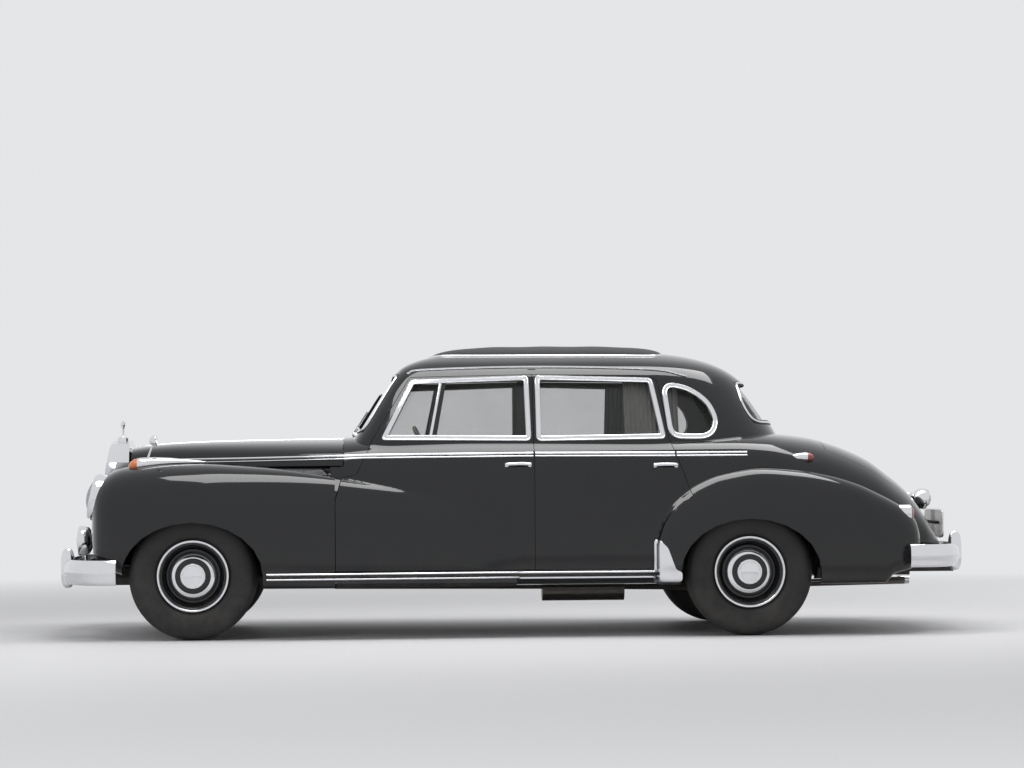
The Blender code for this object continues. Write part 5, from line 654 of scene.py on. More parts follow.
class Value:
    """A socket that takes part in sums: the operators add Math nodes."""

    def __init__(self, tree, socket):
        self.tree = tree
        self.socket = socket

    def math(self, operation, *others, swap=False):
        """Adds a Math node of this value and the others."""
        node = self.tree.nodes.new("ShaderNodeMath")
        node.operation = operation
        given = [self, *others]
        if swap:
            given.reverse()
        for slot, item in zip(node.inputs, given):
            if isinstance(item, Value):
                self.tree.links.new(item.socket, slot)
            else:
                slot.default_value = item
        return Value(self.tree, node.outputs[0])

    def __add__(self, other):
        return self.math("ADD", other)

    def __radd__(self, other):
        return self.math("ADD", other, swap=True)

    def __sub__(self, other):
        return self.math("SUBTRACT", other)

    def __rsub__(self, other):
        return self.math("SUBTRACT", other, swap=True)

    def __mul__(self, other):
        return self.math("MULTIPLY", other)

    def __rmul__(self, other):
        return self.math("MULTIPLY", other, swap=True)

    def above(self, level):
        """1 where the value is over the level."""
        return self.math("GREATER_THAN", level)

    def below(self, level):
        """1 where the value is under the level."""
        return self.math("LESS_THAN", level)

    def size(self):
        """The value without its sign."""
        return self.math("ABSOLUTE")

    def power(self, exponent):
        """The value raised to the exponent."""
        return self.math("POWER", exponent)

    def between(self, low, high):
        """0 at low, 1 at high, straight between and held outside."""
        node = self.tree.nodes.new("ShaderNodeMapRange")
        self.tree.links.new(self.socket, node.inputs["Value"])
        node.inputs["From Min"].default_value = low
        node.inputs["From Max"].default_value = high
        return Value(self.tree, node.outputs["Result"])


class Finish:
    """A material under construction: one Principled shader and the patterns that feed it."""

    def __init__(self, name, **fixed):
        self.material = bpy.data.materials.new(name)
        self.material.use_nodes = True
        self.tree = self.material.node_tree
        self.tree.nodes.clear()
        self.output = self.tree.nodes.new("ShaderNodeOutputMaterial")
        self.shader = self.tree.nodes.new("ShaderNodeBsdfPrincipled")
        self.tree.links.new(self.shader.outputs[0], self.output.inputs["Surface"])
        for label, value in fixed.items():
            self.shader.inputs[label.replace("_", " ")].default_value = value
        self.place = self.node("ShaderNodeTexCoord", {}, {}, "Object").socket

    def node(self, kind, settings, inputs, output=0):
        """Adds a node of a type with its settings and inputs and hands back one output."""
        node = self.tree.nodes.new(kind)
        for label, value in settings.items():
            setattr(node, label, value)
        for label, value in inputs.items():
            if isinstance(value, Value):
                self.tree.links.new(value.socket, node.inputs[label])
            elif isinstance(value, bpy.types.NodeSocket):
                self.tree.links.new(value, node.inputs[label])
            else:
                node.inputs[label].default_value = value
        return Value(self.tree, node.outputs[output])

    def axes(self):
        """X, Y and Z of the object's own place."""
        split = self.tree.nodes.new("ShaderNodeSeparateXYZ")
        self.tree.links.new(self.place, split.inputs[0])
        return [Value(self.tree, part) for part in split.outputs]

    def noise(self, scale, detail=3.0, rough=0.5, stretch=None):
        """Noise over the object's own place."""
        place = self.place
        if stretch:
            place = self.node(
                "ShaderNodeVectorMath", {"operation": "MULTIPLY"}, {0: self.place, 1: stretch}, "Vector",
            ).socket
        return self.node(
            "ShaderNodeTexNoise", {},
            {"Vector": place, "Scale": scale, "Detail": detail, "Roughness": rough}, "Fac",
        )

    def wave(self, scale, direction, distortion=0.0):
        """Bands across a direction."""
        return self.node(
            "ShaderNodeTexWave", {"wave_type": "BANDS", "bands_direction": direction},
            {"Vector": self.place, "Scale": scale, "Distortion": distortion, "Detail": 2.0}, "Fac",
        )

    def mix(self, factor, first, second):
        """Colour first * (1 - factor) + second * factor."""
        node = self.tree.nodes.new("ShaderNodeMix")
        node.data_type = "RGBA"
        for slot, item in ((node.inputs[0], factor), (node.inputs[6], first), (node.inputs[7], second)):
            if isinstance(item, Value):
                self.tree.links.new(item.socket, slot)
            elif isinstance(item, (int, float)):
                slot.default_value = item
            else:
                slot.default_value = (*item[:3], 1.0)
        return Value(self.tree, node.outputs[2])

    def put(self, **links):
        """Feeds values to the shader's inputs by name."""
        for label, value in links.items():
            self.tree.links.new(value.socket, self.shader.inputs[label.replace("_", " ")])
        return self

    def bump(self, height, strength, distance):
        """Feeds a bump of the height to the shader's Normal."""
        self.put(Normal=self.node(
            "ShaderNodeBump", {}, {"Height": height, "Strength": strength, "Distance": distance}, "Normal",
        ))
        return self


def dust(finish, colour, amount=0.35):
    """Road film: more of a grey-brown towards the ground, broken up by noise."""
    low = 1 - finish.axes()[2].between(0.12, 0.62)
    film = low * finish.noise(9.0, 4.0, 0.6).between(0.35, 0.75) * amount
    return finish.mix(film, colour, (0.16, 0.145, 0.125)), film


def painted(finish, flow, colour):
    """Paint colour between c * 0.8 and c * 1.35 + 0.001 as the flow goes from 0 to 1."""
    return finish.mix(flow, tuple(c * 0.8 for c in colour), tuple(c * 1.35 + 0.001 for c in colour))


def paint_finish(name, colour, gloss):
    """Lacquer: Roughness = gloss + 0.05 flow + 0.35 film, Coat = 0.85 - 0.5 film."""
    finish = Finish(name, Coat_Roughness=0.02, Coat_IOR=1.5, Specular_IOR_Level=0.08)
    flow = finish.noise(1.6, 2.0)
    shade, film = dust(finish, painted(finish, flow, colour), 0.10)
    speck = finish.noise(420.0, 2.0)
    finish.put(
        Base_Color=shade,
        Roughness=gloss + 0.05 * flow + 0.35 * film,
        Coat_Weight=0.85 - 0.5 * film,
    )
    return finish.bump(speck, 0.02, 0.0004).material


def chrome_finish(name, tone=0.80):
    """Plated metal: Roughness = 0.045 + 0.05 cloud + 0.18 pits + 0.3 film."""
    finish = Finish(name, Metallic=1.0)
    cloud = finish.noise(7.0, 4.0)
    pits = finish.noise(260.0, 3.0, 0.7).between(0.66, 0.80)
    shade = finish.mix(cloud, (tone * 0.96, tone * 0.97, tone), (tone * 1.04, tone * 1.04, tone * 1.06))
    shade, film = dust(finish, finish.mix(pits * 0.25, shade, (0.42, 0.40, 0.37)), 0.12)
    finish.put(Base_Color=shade, Roughness=0.045 + 0.05 * cloud + 0.18 * pits + 0.3 * film)
    return finish.bump(cloud, 0.03, 0.001).material


def glass_finish(name, tint, clear):
    """Thin glass: it shows what is behind it, and shines more the flatter it is looked at."""
    finish = Finish(name, Metallic=0.0, IOR=1.5, Coat_Weight=1.0, Coat_Roughness=0.0)
    edge = finish.node("ShaderNodeFresnel", {}, {"IOR": 1.5}, "Fac")
    smear = finish.noise(5.0, 4.0, 0.6)
    finish.put(
        Base_Color=finish.mix(smear, tint, tuple(t * 0.85 for t in tint)),
        Alpha=clear + 0.06 * smear + 0.75 * edge,
        Roughness=0.02 + 0.05 * smear,
    )
    return finish.material


def lens_finish(name, colour, deep, ribs=260.0, direction="Z"):
    """Moulded lens: colour and bump follow its ribs."""
    finish = Finish(name, IOR=1.5, Coat_Weight=1.0, Coat_Roughness=0.02, Specular_IOR_Level=0.7)
    rib = finish.wave(ribs, direction)
    glow = finish.noise(60.0, 2.0)
    finish.put(Base_Color=finish.mix(rib * 0.7 + glow * 0.3, deep, colour), Roughness=0.06 + 0.12 * glow)
    return finish.bump(rib, 0.35, 0.0015).material


def rubber_finish(name):
    """Tyre rubber: Roughness = 0.52 + 0.2 grain + 0.2 film, greyed by age."""
    finish = Finish(name, Specular_IOR_Level=0.35)
    grain = finish.noise(180.0, 4.0, 0.7)
    age = finish.noise(5.0, 3.0)
    shade = finish.mix(age, (0.012, 0.012, 0.013), (0.030, 0.029, 0.028))
    shade, film = dust(finish, shade, 0.22)
    finish.put(Base_Color=shade, Roughness=0.52 + 0.20 * grain + 0.2 * film)
    return finish.bump(grain, 0.18, 0.0006).material


def metal_finish(name, dark, light, metallic, rough, bump=0.2, scale=60.0):
    """Bare, cast or plainly painted metal with a broken surface."""
    finish = Finish(name, Metallic=metallic)
    grain, patch = finish.noise(scale, 4.0, 0.65), finish.noise(6.0, 4.0, 0.6)
    shade, film = dust(finish, finish.mix(patch * 0.7 + grain * 0.3, dark, light), 0.5)
    finish.put(Base_Color=shade, Roughness=rough + 0.2 * grain + 0.2 * film)
    return finish.bump(grain, bump, 0.001).material


def weave(finish, scale):
    """Plain weave: the warp and weft waves, each shown where it is the higher."""
    warp, weft = finish.wave(scale, "X"), finish.wave(scale, "Z")
    across = finish.wave(scale, "Y")
    return (warp.math("MAXIMUM", weft) + across.math("MAXIMUM", weft)) * 0.5


def cloth_finish(name, dark, light, scale=210.0, sheen=0.4):
    """Woven cloth: 0.5 thread + 0.3 wear + 0.2 flock goes from dark to light."""
    finish = Finish(name, Sheen_Weight=sheen, Sheen_Roughness=0.5, Specular_IOR_Level=0.25)
    thread = weave(finish, scale)
    wear, flock = finish.noise(4.0, 3.0), finish.noise(340.0, 3.0, 0.7)
    finish.put(
        Base_Color=finish.mix(thread * 0.5 + wear * 0.3 + flock * 0.2, dark, light),
        Roughness=0.78 + 0.18 * flock,
    )
    return finish.bump(thread * 0.7 + flock * 0.3, 0.35, 0.0008).material


def walnut_finish(name):
    """Polished walnut: 0.7 grain + 0.3 pore goes from dark to light."""
    finish = Finish(name, Coat_Weight=0.8, Coat_Roughness=0.06)
    grain = finish.wave(7.0, "Z", 6.0)
    pore = finish.noise(90.0, 4.0, 0.7, (1.0, 0.15, 1.0))
    finish.put(
        Base_Color=finish.mix(grain * 0.7 + pore * 0.3, (0.085, 0.030, 0.012), (0.30, 0.135, 0.055)),
        Roughness=0.28 + 0.2 * pore,
    )
    return finish.bump(pore, 0.1, 0.0004).material


def lined_paint_finish(name, colour, gloss, lining):
    """Paint outside and woven lining inside.

    A face counts as inside if it looks towards the middle of the car: normal_y * sign(y) < 0.35.
    """
    finish = Finish(name, Coat_Roughness=0.03, Specular_IOR_Level=0.15)
    x, y, z = finish.axes()
    normal = finish.node("ShaderNodeTexCoord", {}, {}, "Normal")
    split = finish.tree.nodes.new("ShaderNodeSeparateXYZ")
    finish.tree.links.new(normal.socket, split.inputs[0])
    inward = (Value(finish.tree, split.outputs[1]) * y.math("SIGN")).below(0.35)
    room = z.above(0.42) * x.above(-0.80) * x.below(1.28) * y.size().below(0.80)
    cabin = inward * room
    thread = weave(finish, 180.0)
    flow = finish.noise(1.6, 2.0)
    floor = z.below(0.52) * room
    lined = finish.mix(thread * 0.35 + finish.noise(5.0, 3.0) * 0.5, tuple(c * 0.75 for c in lining), lining)
    lined = finish.mix(floor, lined, (0.030, 0.026, 0.023))
    shade, film = dust(finish, painted(finish, flow, colour), 0.25)
    finish.put(
        Base_Color=finish.mix(cabin, shade, lined),
        Roughness=cabin * 0.75 + gloss + 0.05 * flow + 0.3 * film,
        Coat_Weight=0.85 * (1 - cabin),
    )
    return finish.bump(thread * cabin, 0.08, 0.0004).material


FINISHES = {}


def make_finishes():
    """All finishes, from the colours in the panel."""
    scene = bpy.context.scene
    paint, cabin = scene.saloon_paint, scene.saloon_cabin
    colour, cloth = tuple(paint.colour), tuple(cabin.cloth)
    FINISHES.update({
        "paint": paint_finish("body_paint", colour, paint.roughness),
        "lined": lined_paint_finish("body_paint_and_lining", colour, paint.roughness, tuple(cabin.lining)),
        "chrome": chrome_finish("chrome_trim"),
        "glass": glass_finish("window_glass", (0.055, 0.065, 0.062), 0.10),
        "lamp_glass": glass_finish("lamp_glass", (0.60, 0.63, 0.63), 0.16),
        "red": lens_finish("red_lens", (0.50, 0.012, 0.010), (0.16, 0.002, 0.002)),
        "amber": lens_finish("amber_lens", (0.85, 0.22, 0.010), (0.35, 0.060, 0.002)),
        "fluted": lens_finish("fluted_lens", (0.80, 0.82, 0.82), (0.46, 0.48, 0.49), 90.0, "Y"),
        "rubber": rubber_finish("tyre_rubber"),
        "wheel": paint_finish("wheel_paint", tuple(c * 1.1 for c in colour), paint.roughness + 0.04),
        "chassis": metal_finish("chassis_paint", (0.010, 0.010, 0.010), (0.030, 0.028, 0.026), 0.0, 0.45),
        "iron": metal_finish("cast_iron", (0.045, 0.045, 0.046), (0.11, 0.105, 0.10), 0.8, 0.50, 0.5, 40.0),
        "pipe": metal_finish("pipe_steel", (0.16, 0.14, 0.125), (0.34, 0.31, 0.29), 0.9, 0.35, 0.2, 25.0),
        "cloth": cloth_finish("seat_cloth", tuple(c * 0.62 for c in cloth), cloth),
        "curtain": cloth_finish("curtain_cloth", (0.42, 0.42, 0.40), (0.62, 0.62, 0.59), 260.0, 0.2),
        "walnut": walnut_finish("walnut"),
        "canvas": cloth_finish("roof_canvas", (0.006, 0.006, 0.007), (0.020, 0.020, 0.021), 240.0, 0.15),
        "bakelite": metal_finish("bakelite", (0.52, 0.46, 0.33), (0.68, 0.62, 0.48), 0.0, 0.16, 0.03, 30.0),
        "dark": metal_finish("seal_rubber", (0.006, 0.006, 0.006), (0.016, 0.016, 0.016), 0.0, 0.55, 0.1),
        "plate": metal_finish("plate_enamel", (0.60, 0.60, 0.57), (0.70, 0.70, 0.67), 0.0, 0.25, 0.03, 20.0),
        "dial": metal_finish("dial_face", (0.55, 0.52, 0.44), (0.72, 0.69, 0.60), 0.0, 0.35, 0.02),
    })


NODE_FINISHES = {
    "body_shell": "lined", "door_": "lined", "bonnet": "paint", "trunk_lid": "paint", "front_fender": "paint",
    "rear_fender": "paint", "front_apron": "paint", "wheel_": "wheel", "tyre_": "rubber", "knuckle": "iron",
    "front_axle": "chassis", "rear_axle": "iron", "chassis_frame": "chassis", "engine": "iron",
    "exhaust": "pipe", "fuel_tank": "chassis", "dashboard": "walnut", "steering_wheel": "bakelite",
    "front_seat": "cloth", "rear_seat": "cloth", "sunroof": "canvas", "windscreen": "glass",
    "rear_window": "glass", "quarter_glass": "glass", "front_glass": "glass", "rear_glass": "glass",
    "radiator_shell": "chrome", "grille": "chrome", "front_bumper": "chrome", "rear_bumper": "chrome",
    "headlamp": "chrome", "turn_lamp": "chrome", "side_lamp": "chrome", "tail_lamp": "red",
    "plate_lamp": "paint",
}


def dress_nodes():
    """Gives each CAD node its kind's finish: the longest name in the table that starts the node's."""
    for name, node in NODES.items():
        kind = max((key for key in NODE_FINISHES if name.startswith(key)), key=len)
        for slot in node.material_slots:
            slot.material = FINISHES[NODE_FINISHES[kind]]


# Panels

def grid(low, high, step):
    """Even places from low to high, about a step apart."""
    return np.linspace(low, high, max(int(round(abs(high - low) / step)), 2) + 1)


def lid_zone(x, y, z, grow):
    """Inside the boot lid's plan, above its lower edge."""
    return within(lid_plan(grow), x, y) & (z > LID_LOW * ROOF - grow)


def body_panels(cell, grow):
    """Cowl, sills, quarter panels and tail, then the roof with its pillars."""
    doors = [offset(xz(rows), SEAM / 2) for rows in (FRONT_DOOR, REAR_DOOR)]
    quarter = offset(xz(QUARTER_GLASS), 0.004)
    screen, back = offset(yz(WINDSCREEN), 0.004), offset(yz(REAR_WINDOW), 0.004)
    rear_arch = arch(REAR_AXLE)

    def outside_doors(x, y, z):
        return ~((within(doors[0], x, z) | within(doors[1], x, z)) & (np.abs(y) > 0.45))

    def lower(x, y, z):
        room = (x > -0.189 * LENGTH + 0.004) | (z < 0.372) & (x > -0.98)
        room |= (z < 0.940) & (z > 0.50) & (np.abs(y) > 0.40) & (x > -1.028)
        covered = (cabin_half(x, z) > np.abs(y) + 0.001) | (rear_fender_half(x, z) > np.abs(y) + 0.012)
        lid = lid_zone(x, y, z, SEAM / 2)
        return room & outside_doors(x, y, z) & ~covered & ~lid & ~within(rear_arch, x, z)

    def upper(x, y, z):
        clear = outside_doors(x, y, z) & ~(within(quarter, x, z) & (np.abs(y) > 0.45))
        front = within(screen, y, z) & (x < 0)
        rear = within(back, y, z) & (x > 0.9)
        below = (hull_half(x, z) > np.abs(y)) & (z < 1.12)
        return clear & ~front & ~rear & ~below

    made = []
    stations = np.concatenate(
        [grid(-0.2034, 0.440, cell / LENGTH), grid(0.441, 0.474, 0.0012), [0.4755, 0.477, 0.478]]
    )
    angles = np.radians(np.concatenate([grid(-60, 60, 1.0), grid(60.8, 119.2, 0.8), grid(120, 240, 1.0)]))
    points, faces = trimmed(hull_surface(grow), stations, angles, lower)
    made.append(make_mesh("body_lower_skin", points, faces, "paint", "body", core=(1.0, 0, 0.7)))
    levels = np.concatenate(
        [grid(0.652, 0.93, cell / ROOF), grid(0.935, 0.985, 0.004), grid(0.987, 1.0, 0.002), [1.02, 1.05]]
    )
    turn = np.radians(grid(0, 360, 0.8))
    points, faces = trimmed(cabin_surface(grow), levels, turn, upper)
    made.append(make_mesh("roof_skin", points, faces, "paint", "body", core=(0.2, 0, 1.0)))

    def bay_half(x, z):
        return curve(BONNET_HALF, x / LENGTH) * HALF_WIDTH - 0.016

    def under_bonnet(x, y, z):
        return z < 0.944

    for word, side in SIDES:
        points, faces = trimmed(
            side_surface(side, bay_half, 0.0),
            grid(-2.13, -0.975, 0.03), grid(0.56, 0.95, 0.03), under_bonnet,
        )
        made.append(make_mesh(
            "engine_bay_side_" + word, points, faces, "paint", "body", core=(-1.5, 0, 0.8), wall=0.002,
        ))
    return made


def door_panels(cell, grow):
    """Outer skin of each door and its window frame."""
    made = []
    for word, side in SIDES:
        for end, rows, glass in (("front", FRONT_DOOR, FRONT_GLASS), ("rear", REAR_DOOR, REAR_GLASS)):
            outline, opening = offset(xz(rows), -SEAM / 2), offset(xz(glass), 0.004)

            def keep(x, y, z, outline=outline, opening=opening):
                return within(outline, x, z) & ~within(opening, x, z)

            x = grid(min(p[0] for p in outline) - 0.01, max(p[0] for p in outline) + 0.01, cell)
            z = grid(0.36, 1.46, cell * 0.6)
            points, faces = trimmed(side_surface(side, side_half, grow), x, z, keep)
            name = "door_skin_%s_%s" % (end, word)
            made.append(make_mesh(
                name, points, faces, "paint", "door_%s_%s" % (end, word), core=(np.mean(x), 0, 0.8),
            ))
    return made


def fender_panels(cell, grow):
    """Front fenders from the nose to the door seam and rear fenders round the wheel, less their arches."""
    front_arch, rear_arch = arch(FRONT_AXLE), arch(REAR_AXLE)
    door = offset(xz(REAR_DOOR), SEAM / 2)
    made = []
    for word, side in SIDES:
        def front(x, y, z):
            lamp = (np.hypot(np.abs(y) - HEADLAMP_Y, z - 0.488 * ROOF) < 0.130) & (x < -2.20)
            return (x < -0.1976 * LENGTH - SEAM / 2) & ~within(front_arch, x, z) & ~lamp

        def rear(x, y, z):
            outside = np.abs(y) > hull_half(x, z) - 0.004
            return outside & ~within(rear_arch, x, z) & ~within(door, x, z)

        stations = np.concatenate(
            [[-0.465, -0.464, -0.4625], grid(-0.461, -0.430, 0.0012), grid(-0.428, -0.19, cell / LENGTH)]
        )
        angles = np.radians(grid(-80, 185, 1.8))
        points, faces = trimmed(fender_surface(side, grow), stations, angles, front)
        made.append(make_mesh(
            "front_fender_skin_" + word, points, faces, "paint", "body", core=(-1.7, side * 0.60, 0.55),
        ))
        stations = np.concatenate(
            [
                [0.147, 0.1485], grid(0.150, 0.166, 0.0014), grid(0.168, 0.428, cell / LENGTH),
                grid(0.430, 0.442, 0.0012), [0.4445, 0.447],
            ]
        )
        angles = np.radians(grid(-85, 120, 1.5))
        points, faces = trimmed(rear_fender_surface(side, grow), stations, angles, rear)
        made.append(make_mesh(
            "rear_fender_skin_" + word, points, faces, "paint", "body", core=(1.5, side * 0.60, 0.5),
        ))
    return made


def lid_panels(cell, grow):
    """Bonnet and boot lid, and the bright strip along the middle of the bonnet."""
    stations, angles = grid(-0.4255, -0.1895, cell / LENGTH), np.radians(grid(1, 179, 1.5))
    u, v = np.meshgrid(stations, angles, indexing="ij")
    points = np.stack(bonnet_surface(grow)(u, v), axis=-1).reshape(-1, 3)
    faces = tube_faces(len(stations), len(angles), False, False)
    made = [make_mesh("bonnet_skin", points, faces, "paint", "bonnet", core=(-1.5, 0, 0.8))]
    x = grid(-0.4245, -0.1895, 0.004)
    top = curve(BONNET_TOP, x) * ROOF + grow
    path = np.stack([x * LENGTH, 0 * x, top], axis=1)
    made.append(swept_piece(
        "bonnet_strip", path, np.tile([0.0, 0.0, 1.0], (len(x), 1)), half_round(0.016, 0.007), "chrome",
        "bonnet",
    ))

    def lid(x, y, z):
        return lid_zone(x, y, z, -SEAM / 2)

    stations = np.concatenate([grid(0.342, 0.440, cell / LENGTH), grid(0.441, 0.474, 0.0012)])
    points, faces = trimmed(hull_surface(grow), stations, np.radians(grid(-10, 190, 0.9)), lid)
    made.append(make_mesh("boot_lid_skin", points, faces, "paint", "trunk_lid", core=(1.8, 0, 0.6)))
    return made


# Bright trim

def on_side(name, side, path, width, height, finish, body, half=side_half, grow=0.002, closed=False):
    """A side bead by the name of its finish."""
    return side_trim(name, path, side, half, width, height, finish, body, closed, grow)


def bonnet_half(x, z):
    """Half width of the bonnet at a place along the car and a height."""
    s = x / LENGTH
    base = BONNET_BASE * ROOF
    rise = curve(BONNET_TOP, s) * ROOF - base
    return curve(BONNET_HALF, s) * HALF_WIDTH * arc((z - base) / rise, 3.0)


def between(path, low, high):
    """The part of a side-view path between two places along the car."""
    x, z = np.array(path).T
    place = np.concatenate([[low], x[(x > low) & (x < high)], [high]])
    return list(zip(place, np.interp(place, x, z)))


BELT = (
    (-2.159, 0.977), (-1.529, 0.983), (-0.957, 0.992), (-0.837, 0.996), (0.093, 1.001), (0.892, 0.998),
    (1.272, 0.998),
)


def belt_strips():
    """Two bright beads along the belt line, from the radiator to behind the rear door."""
    made = []
    for word, side in SIDES:
        for label, low, high, body, half in (
            ("bonnet", -2.140, -0.968, "bonnet", bonnet_half),
            ("front", -0.993, 0.086, "door_front_" + word, side_half),
            ("rear", 0.096, 0.868, "door_rear_" + word, side_half),
            ("quarter", 0.878, 1.272, "body", side_half),
        ):
            for row, lift, width in ((0, 0.010, 0.012), (1, -0.007, 0.009)):
                path = [(x, z + lift) for x, z in between(BELT, low, high)]
                made.append(on_side(
                    "belt_%s_%d_%s" % (label, row, word), side, path, width, 0.005, "chrome", body, half,
                ))
    return made


def frame_band(name, side, outline, body, clip=None):
    """Bright band round a window, with a raised bead on both edges."""
    outer, inner = rounded(offset(outline, 0.027), 0.03), offset(outline, 0.001)

    def keep(x, y, z):
        held = within(outer, x, z) & ~within(inner, x, z)
        return held & within(clip, x, z) if clip is not None else held

    low, high = np.min(outer, axis=0), np.max(outer, axis=0)
    points, faces = trimmed(
        side_surface(side, side_half, 0.0045), grid(low[0] - 0.004, high[0] + 0.004, 0.006),
        grid(low[1] - 0.004, high[1] + 0.004, 0.006), keep,
    )
    made = [make_mesh(name, points, faces, "chrome", body, core=((low[0] + high[0]) / 2, 0, 1.2))]
    made.append(
        on_side(
            name + "_inner", side, offset(outline, 0.003), 0.008, 0.006, "chrome", body, grow=0.003,
            closed=True,
        )
    )
    bead = resampled(offset(outer, -0.004), 0.012, True)
    if clip is not None:
        bead = bead[within(offset(clip, -0.004), bead[:, 0], bead[:, 1])]
        gap = np.argmax(np.linalg.norm(np.diff(np.vstack([bead, bead[:1]]), axis=0), axis=1))
        bead = np.roll(bead, -(gap + 1), axis=0)
    made.append(on_side(name + "_outer", side, bead, 0.007, 0.005, "chrome", body, grow=0.003))
    return made


def window_frames():
    """Bright frames of the side windows, the vent bars and the rims of windscreen and rear window."""
    made = []
    for word, side in SIDES:
        made += frame_band(
            "frame_front_" + word, side, xz(FRONT_GLASS), "door_front_" + word,
            offset(xz(FRONT_DOOR), -0.003),
        )
        made += frame_band(
            "frame_rear_" + word, side, xz(REAR_GLASS), "door_rear_" + word, offset(xz(REAR_DOOR), -0.003),
        )
        made += frame_band("frame_quarter_" + word, side, rounded(xz(QUARTER_GLASS), 0.05), "body")
        made.append(on_side(
            "vent_bar_" + word, side, [(-0.478, 1.100), (-0.416, 1.412)], 0.018, 0.007, "chrome",
            "door_front_" + word, grow=-0.004,
        ))
        gutter = [(-0.60, 1.455), (-0.50, 1.476), (0.10, 1.489), (0.75, 1.474), (0.96, 1.435)]
        path = smooth_profile(gutter, 10)
        made.append(
            on_side("gutter_" + word, side, path, 0.010, 0.012, "chrome", "body", cabin_half, grow=0.001)
        )
    for name, rows, way in (("windscreen_rim", WINDSCREEN, -1), ("rear_window_rim", REAR_WINDOW, 1)):
        flat = resampled(rounded(offset(yz(rows), -0.002), 0.05), 0.012, True)
        y, z = flat.T
        d = 0.003
        x = cabin_end(y, z, way)
        normal = np.stack([
            way * np.ones_like(y), -way * (cabin_end(y + d, z, way) - cabin_end(y - d, z, way)) / (2 * d),
            -way * (cabin_end(y, z + d, way) - cabin_end(y, z - d, way)) / (2 * d),
        ], axis=1)
        normal = unit(normal)
        path = np.stack([x, y, z], axis=1)
        for part, finish, width, height in (("seal", "dark", 0.034, 0.006), ("", "chrome", 0.016, 0.011)):
            made.append(swept_piece(
                name + part, path, normal, half_round(width, height), finish, "body", True,
            ))
    return made


STONE_GUARD = (
    (0.746, 0.529), (0.773, 0.529), (0.816, 0.485), (0.859, 0.365), (0.892, 0.353), (0.892, 0.304),
    (0.864, 0.288),
    (0.746, 0.289),
)


def sill_trim():
    """Bright sill mouldings with a dark centre, and the stone guards in front of the rear wheels."""
    made = []
    for word, side in SIDES:
        for label, z, width, height, finish in (
            ("upper", 0.358, 0.013, 0.012, "chrome"), ("centre", 0.345, 0.022, 0.006, "dark"),
            ("lower", 0.331, 0.013, 0.012, "chrome"),
        ):
            made.append(on_side(
                "sill_%s_%s" % (label, word), side, [(-1.372, z), (0.772, z)], width, height, finish,
                "body", grow=0.003,
            ))

        def keep(x, y, z):
            return within(rounded(STONE_GUARD, 0.015), x, z)

        points, faces = trimmed(
            side_surface(side, side_half, 0.008), grid(0.74, 0.90, 0.005), grid(0.28, 0.535, 0.005), keep,
        )
        made.append(make_mesh(
            "stone_guard_" + word, points, faces, "chrome", "body", core=(0.8, 0, 0.4), wall=0.006,
        ))
    return made


HANDLES = (("front", -0.075, 0.078, 0.945), ("rear", 0.742, 0.885, 0.937))
HANDLE_INSET = 0.012
HANDLE_FOOT = [(-0.002, 0), (-0.002, 0.013), (0.004, 0.012), (0.007, 0.007), (0.016, 0.005), (0.016, 0)]


def handles():
    """Door handles: an oval grip that rises from its two feet, each foot on a small oval plate."""
    made = []
    for word, side in SIDES:
        for end, start, stop, z in HANDLES:
            t = np.linspace(0, 1, 40)
            x = start + (stop - start) * t
            rise = 0.006 + 0.026 * np.sin(math.pi * t) ** 0.45
            height = np.full_like(x, z)
            normal = side_normal(x, height, side, side_half)
            base = np.stack([x, side * side_half(x, height), height], axis=1)
            made.append(swept_piece(
                "handle_%s_%s" % (end, word), base + normal * rise[:, None], normal, oval(0.017, 0.012),
                "chrome", "door_%s_%s" % (end, word),
            ))
            for k, place in enumerate((start + HANDLE_INSET, stop - HANDLE_INSET)):
                foot = np.array([place, side * side_half(place, z), z])
                out = side_normal(np.array([place]), np.array([z]), side, side_half)[0]
                made.append(turned(
                    "handle_foot_%s_%d_%s" % (end, k, word), HANDLE_FOOT, foot, out, "chrome",
                    "door_%s_%s" % (end, word), 24,
                ))
    return made


# Wheels

TREAD = (-0.048, -0.024, 0.0, 0.024, 0.048)
TREAD_RADIUS, TREAD_HALF, TREAD_FALL = 0.350, 0.0585, 0.0055
GROOVE_WIDTH, GROOVE_DEPTH, GROOVE_SWING = 0.0024, 0.0065, 0.0035
CUT_DEPTH, CUT_START = 0.004, 0.060


def tread_ripple(turn, along, radius):
    """Round the tread: five grooves whose line swings in a zigzag, and fine cuts across the shoulders."""
    swing = GROOVE_SWING * np.abs(((turn * 36 / math.pi) % 2) - 1)
    depth = sum(np.exp(-((along - place - swing) / GROOVE_WIDTH) ** 2) for place in TREAD)
    cuts = np.exp(-(((turn * 72 / (2 * math.pi)) % 1 - 0.5) / 0.13) ** 2) * (np.abs(along) > CUT_START)
    crown = np.clip((radius - 0.326) / 0.010, 0, 1)
    return -(GROOVE_DEPTH * np.minimum(depth, 1) + CUT_DEPTH * cuts) * crown


def tyre_rows():
    """Half section of the tyre from its bead to the middle of the tread: (along, radius)."""
    wall = [
        (0.053, 0.1795), (0.0555, 0.190), (0.0585, 0.200), (0.070, 0.212), (0.082, 0.232), (0.089, 0.256),
        (0.0915, 0.278), (0.0895, 0.302), (0.0825, 0.322), (0.0720, 0.3355), (0.062, 0.3425),
        (0.0585, 0.3445),
    ]
    side = smooth_profile(wall, 3)
    tread = [
        (a, TREAD_RADIUS - TREAD_FALL * (abs(a) / TREAD_HALF) ** 2.4)
        for a in np.linspace(0.0575, -0.0575, 50)
    ]
    mirrored = [(-a, r) for a, r in side[::-1]]
    return np.vstack([side, tread, mirrored])


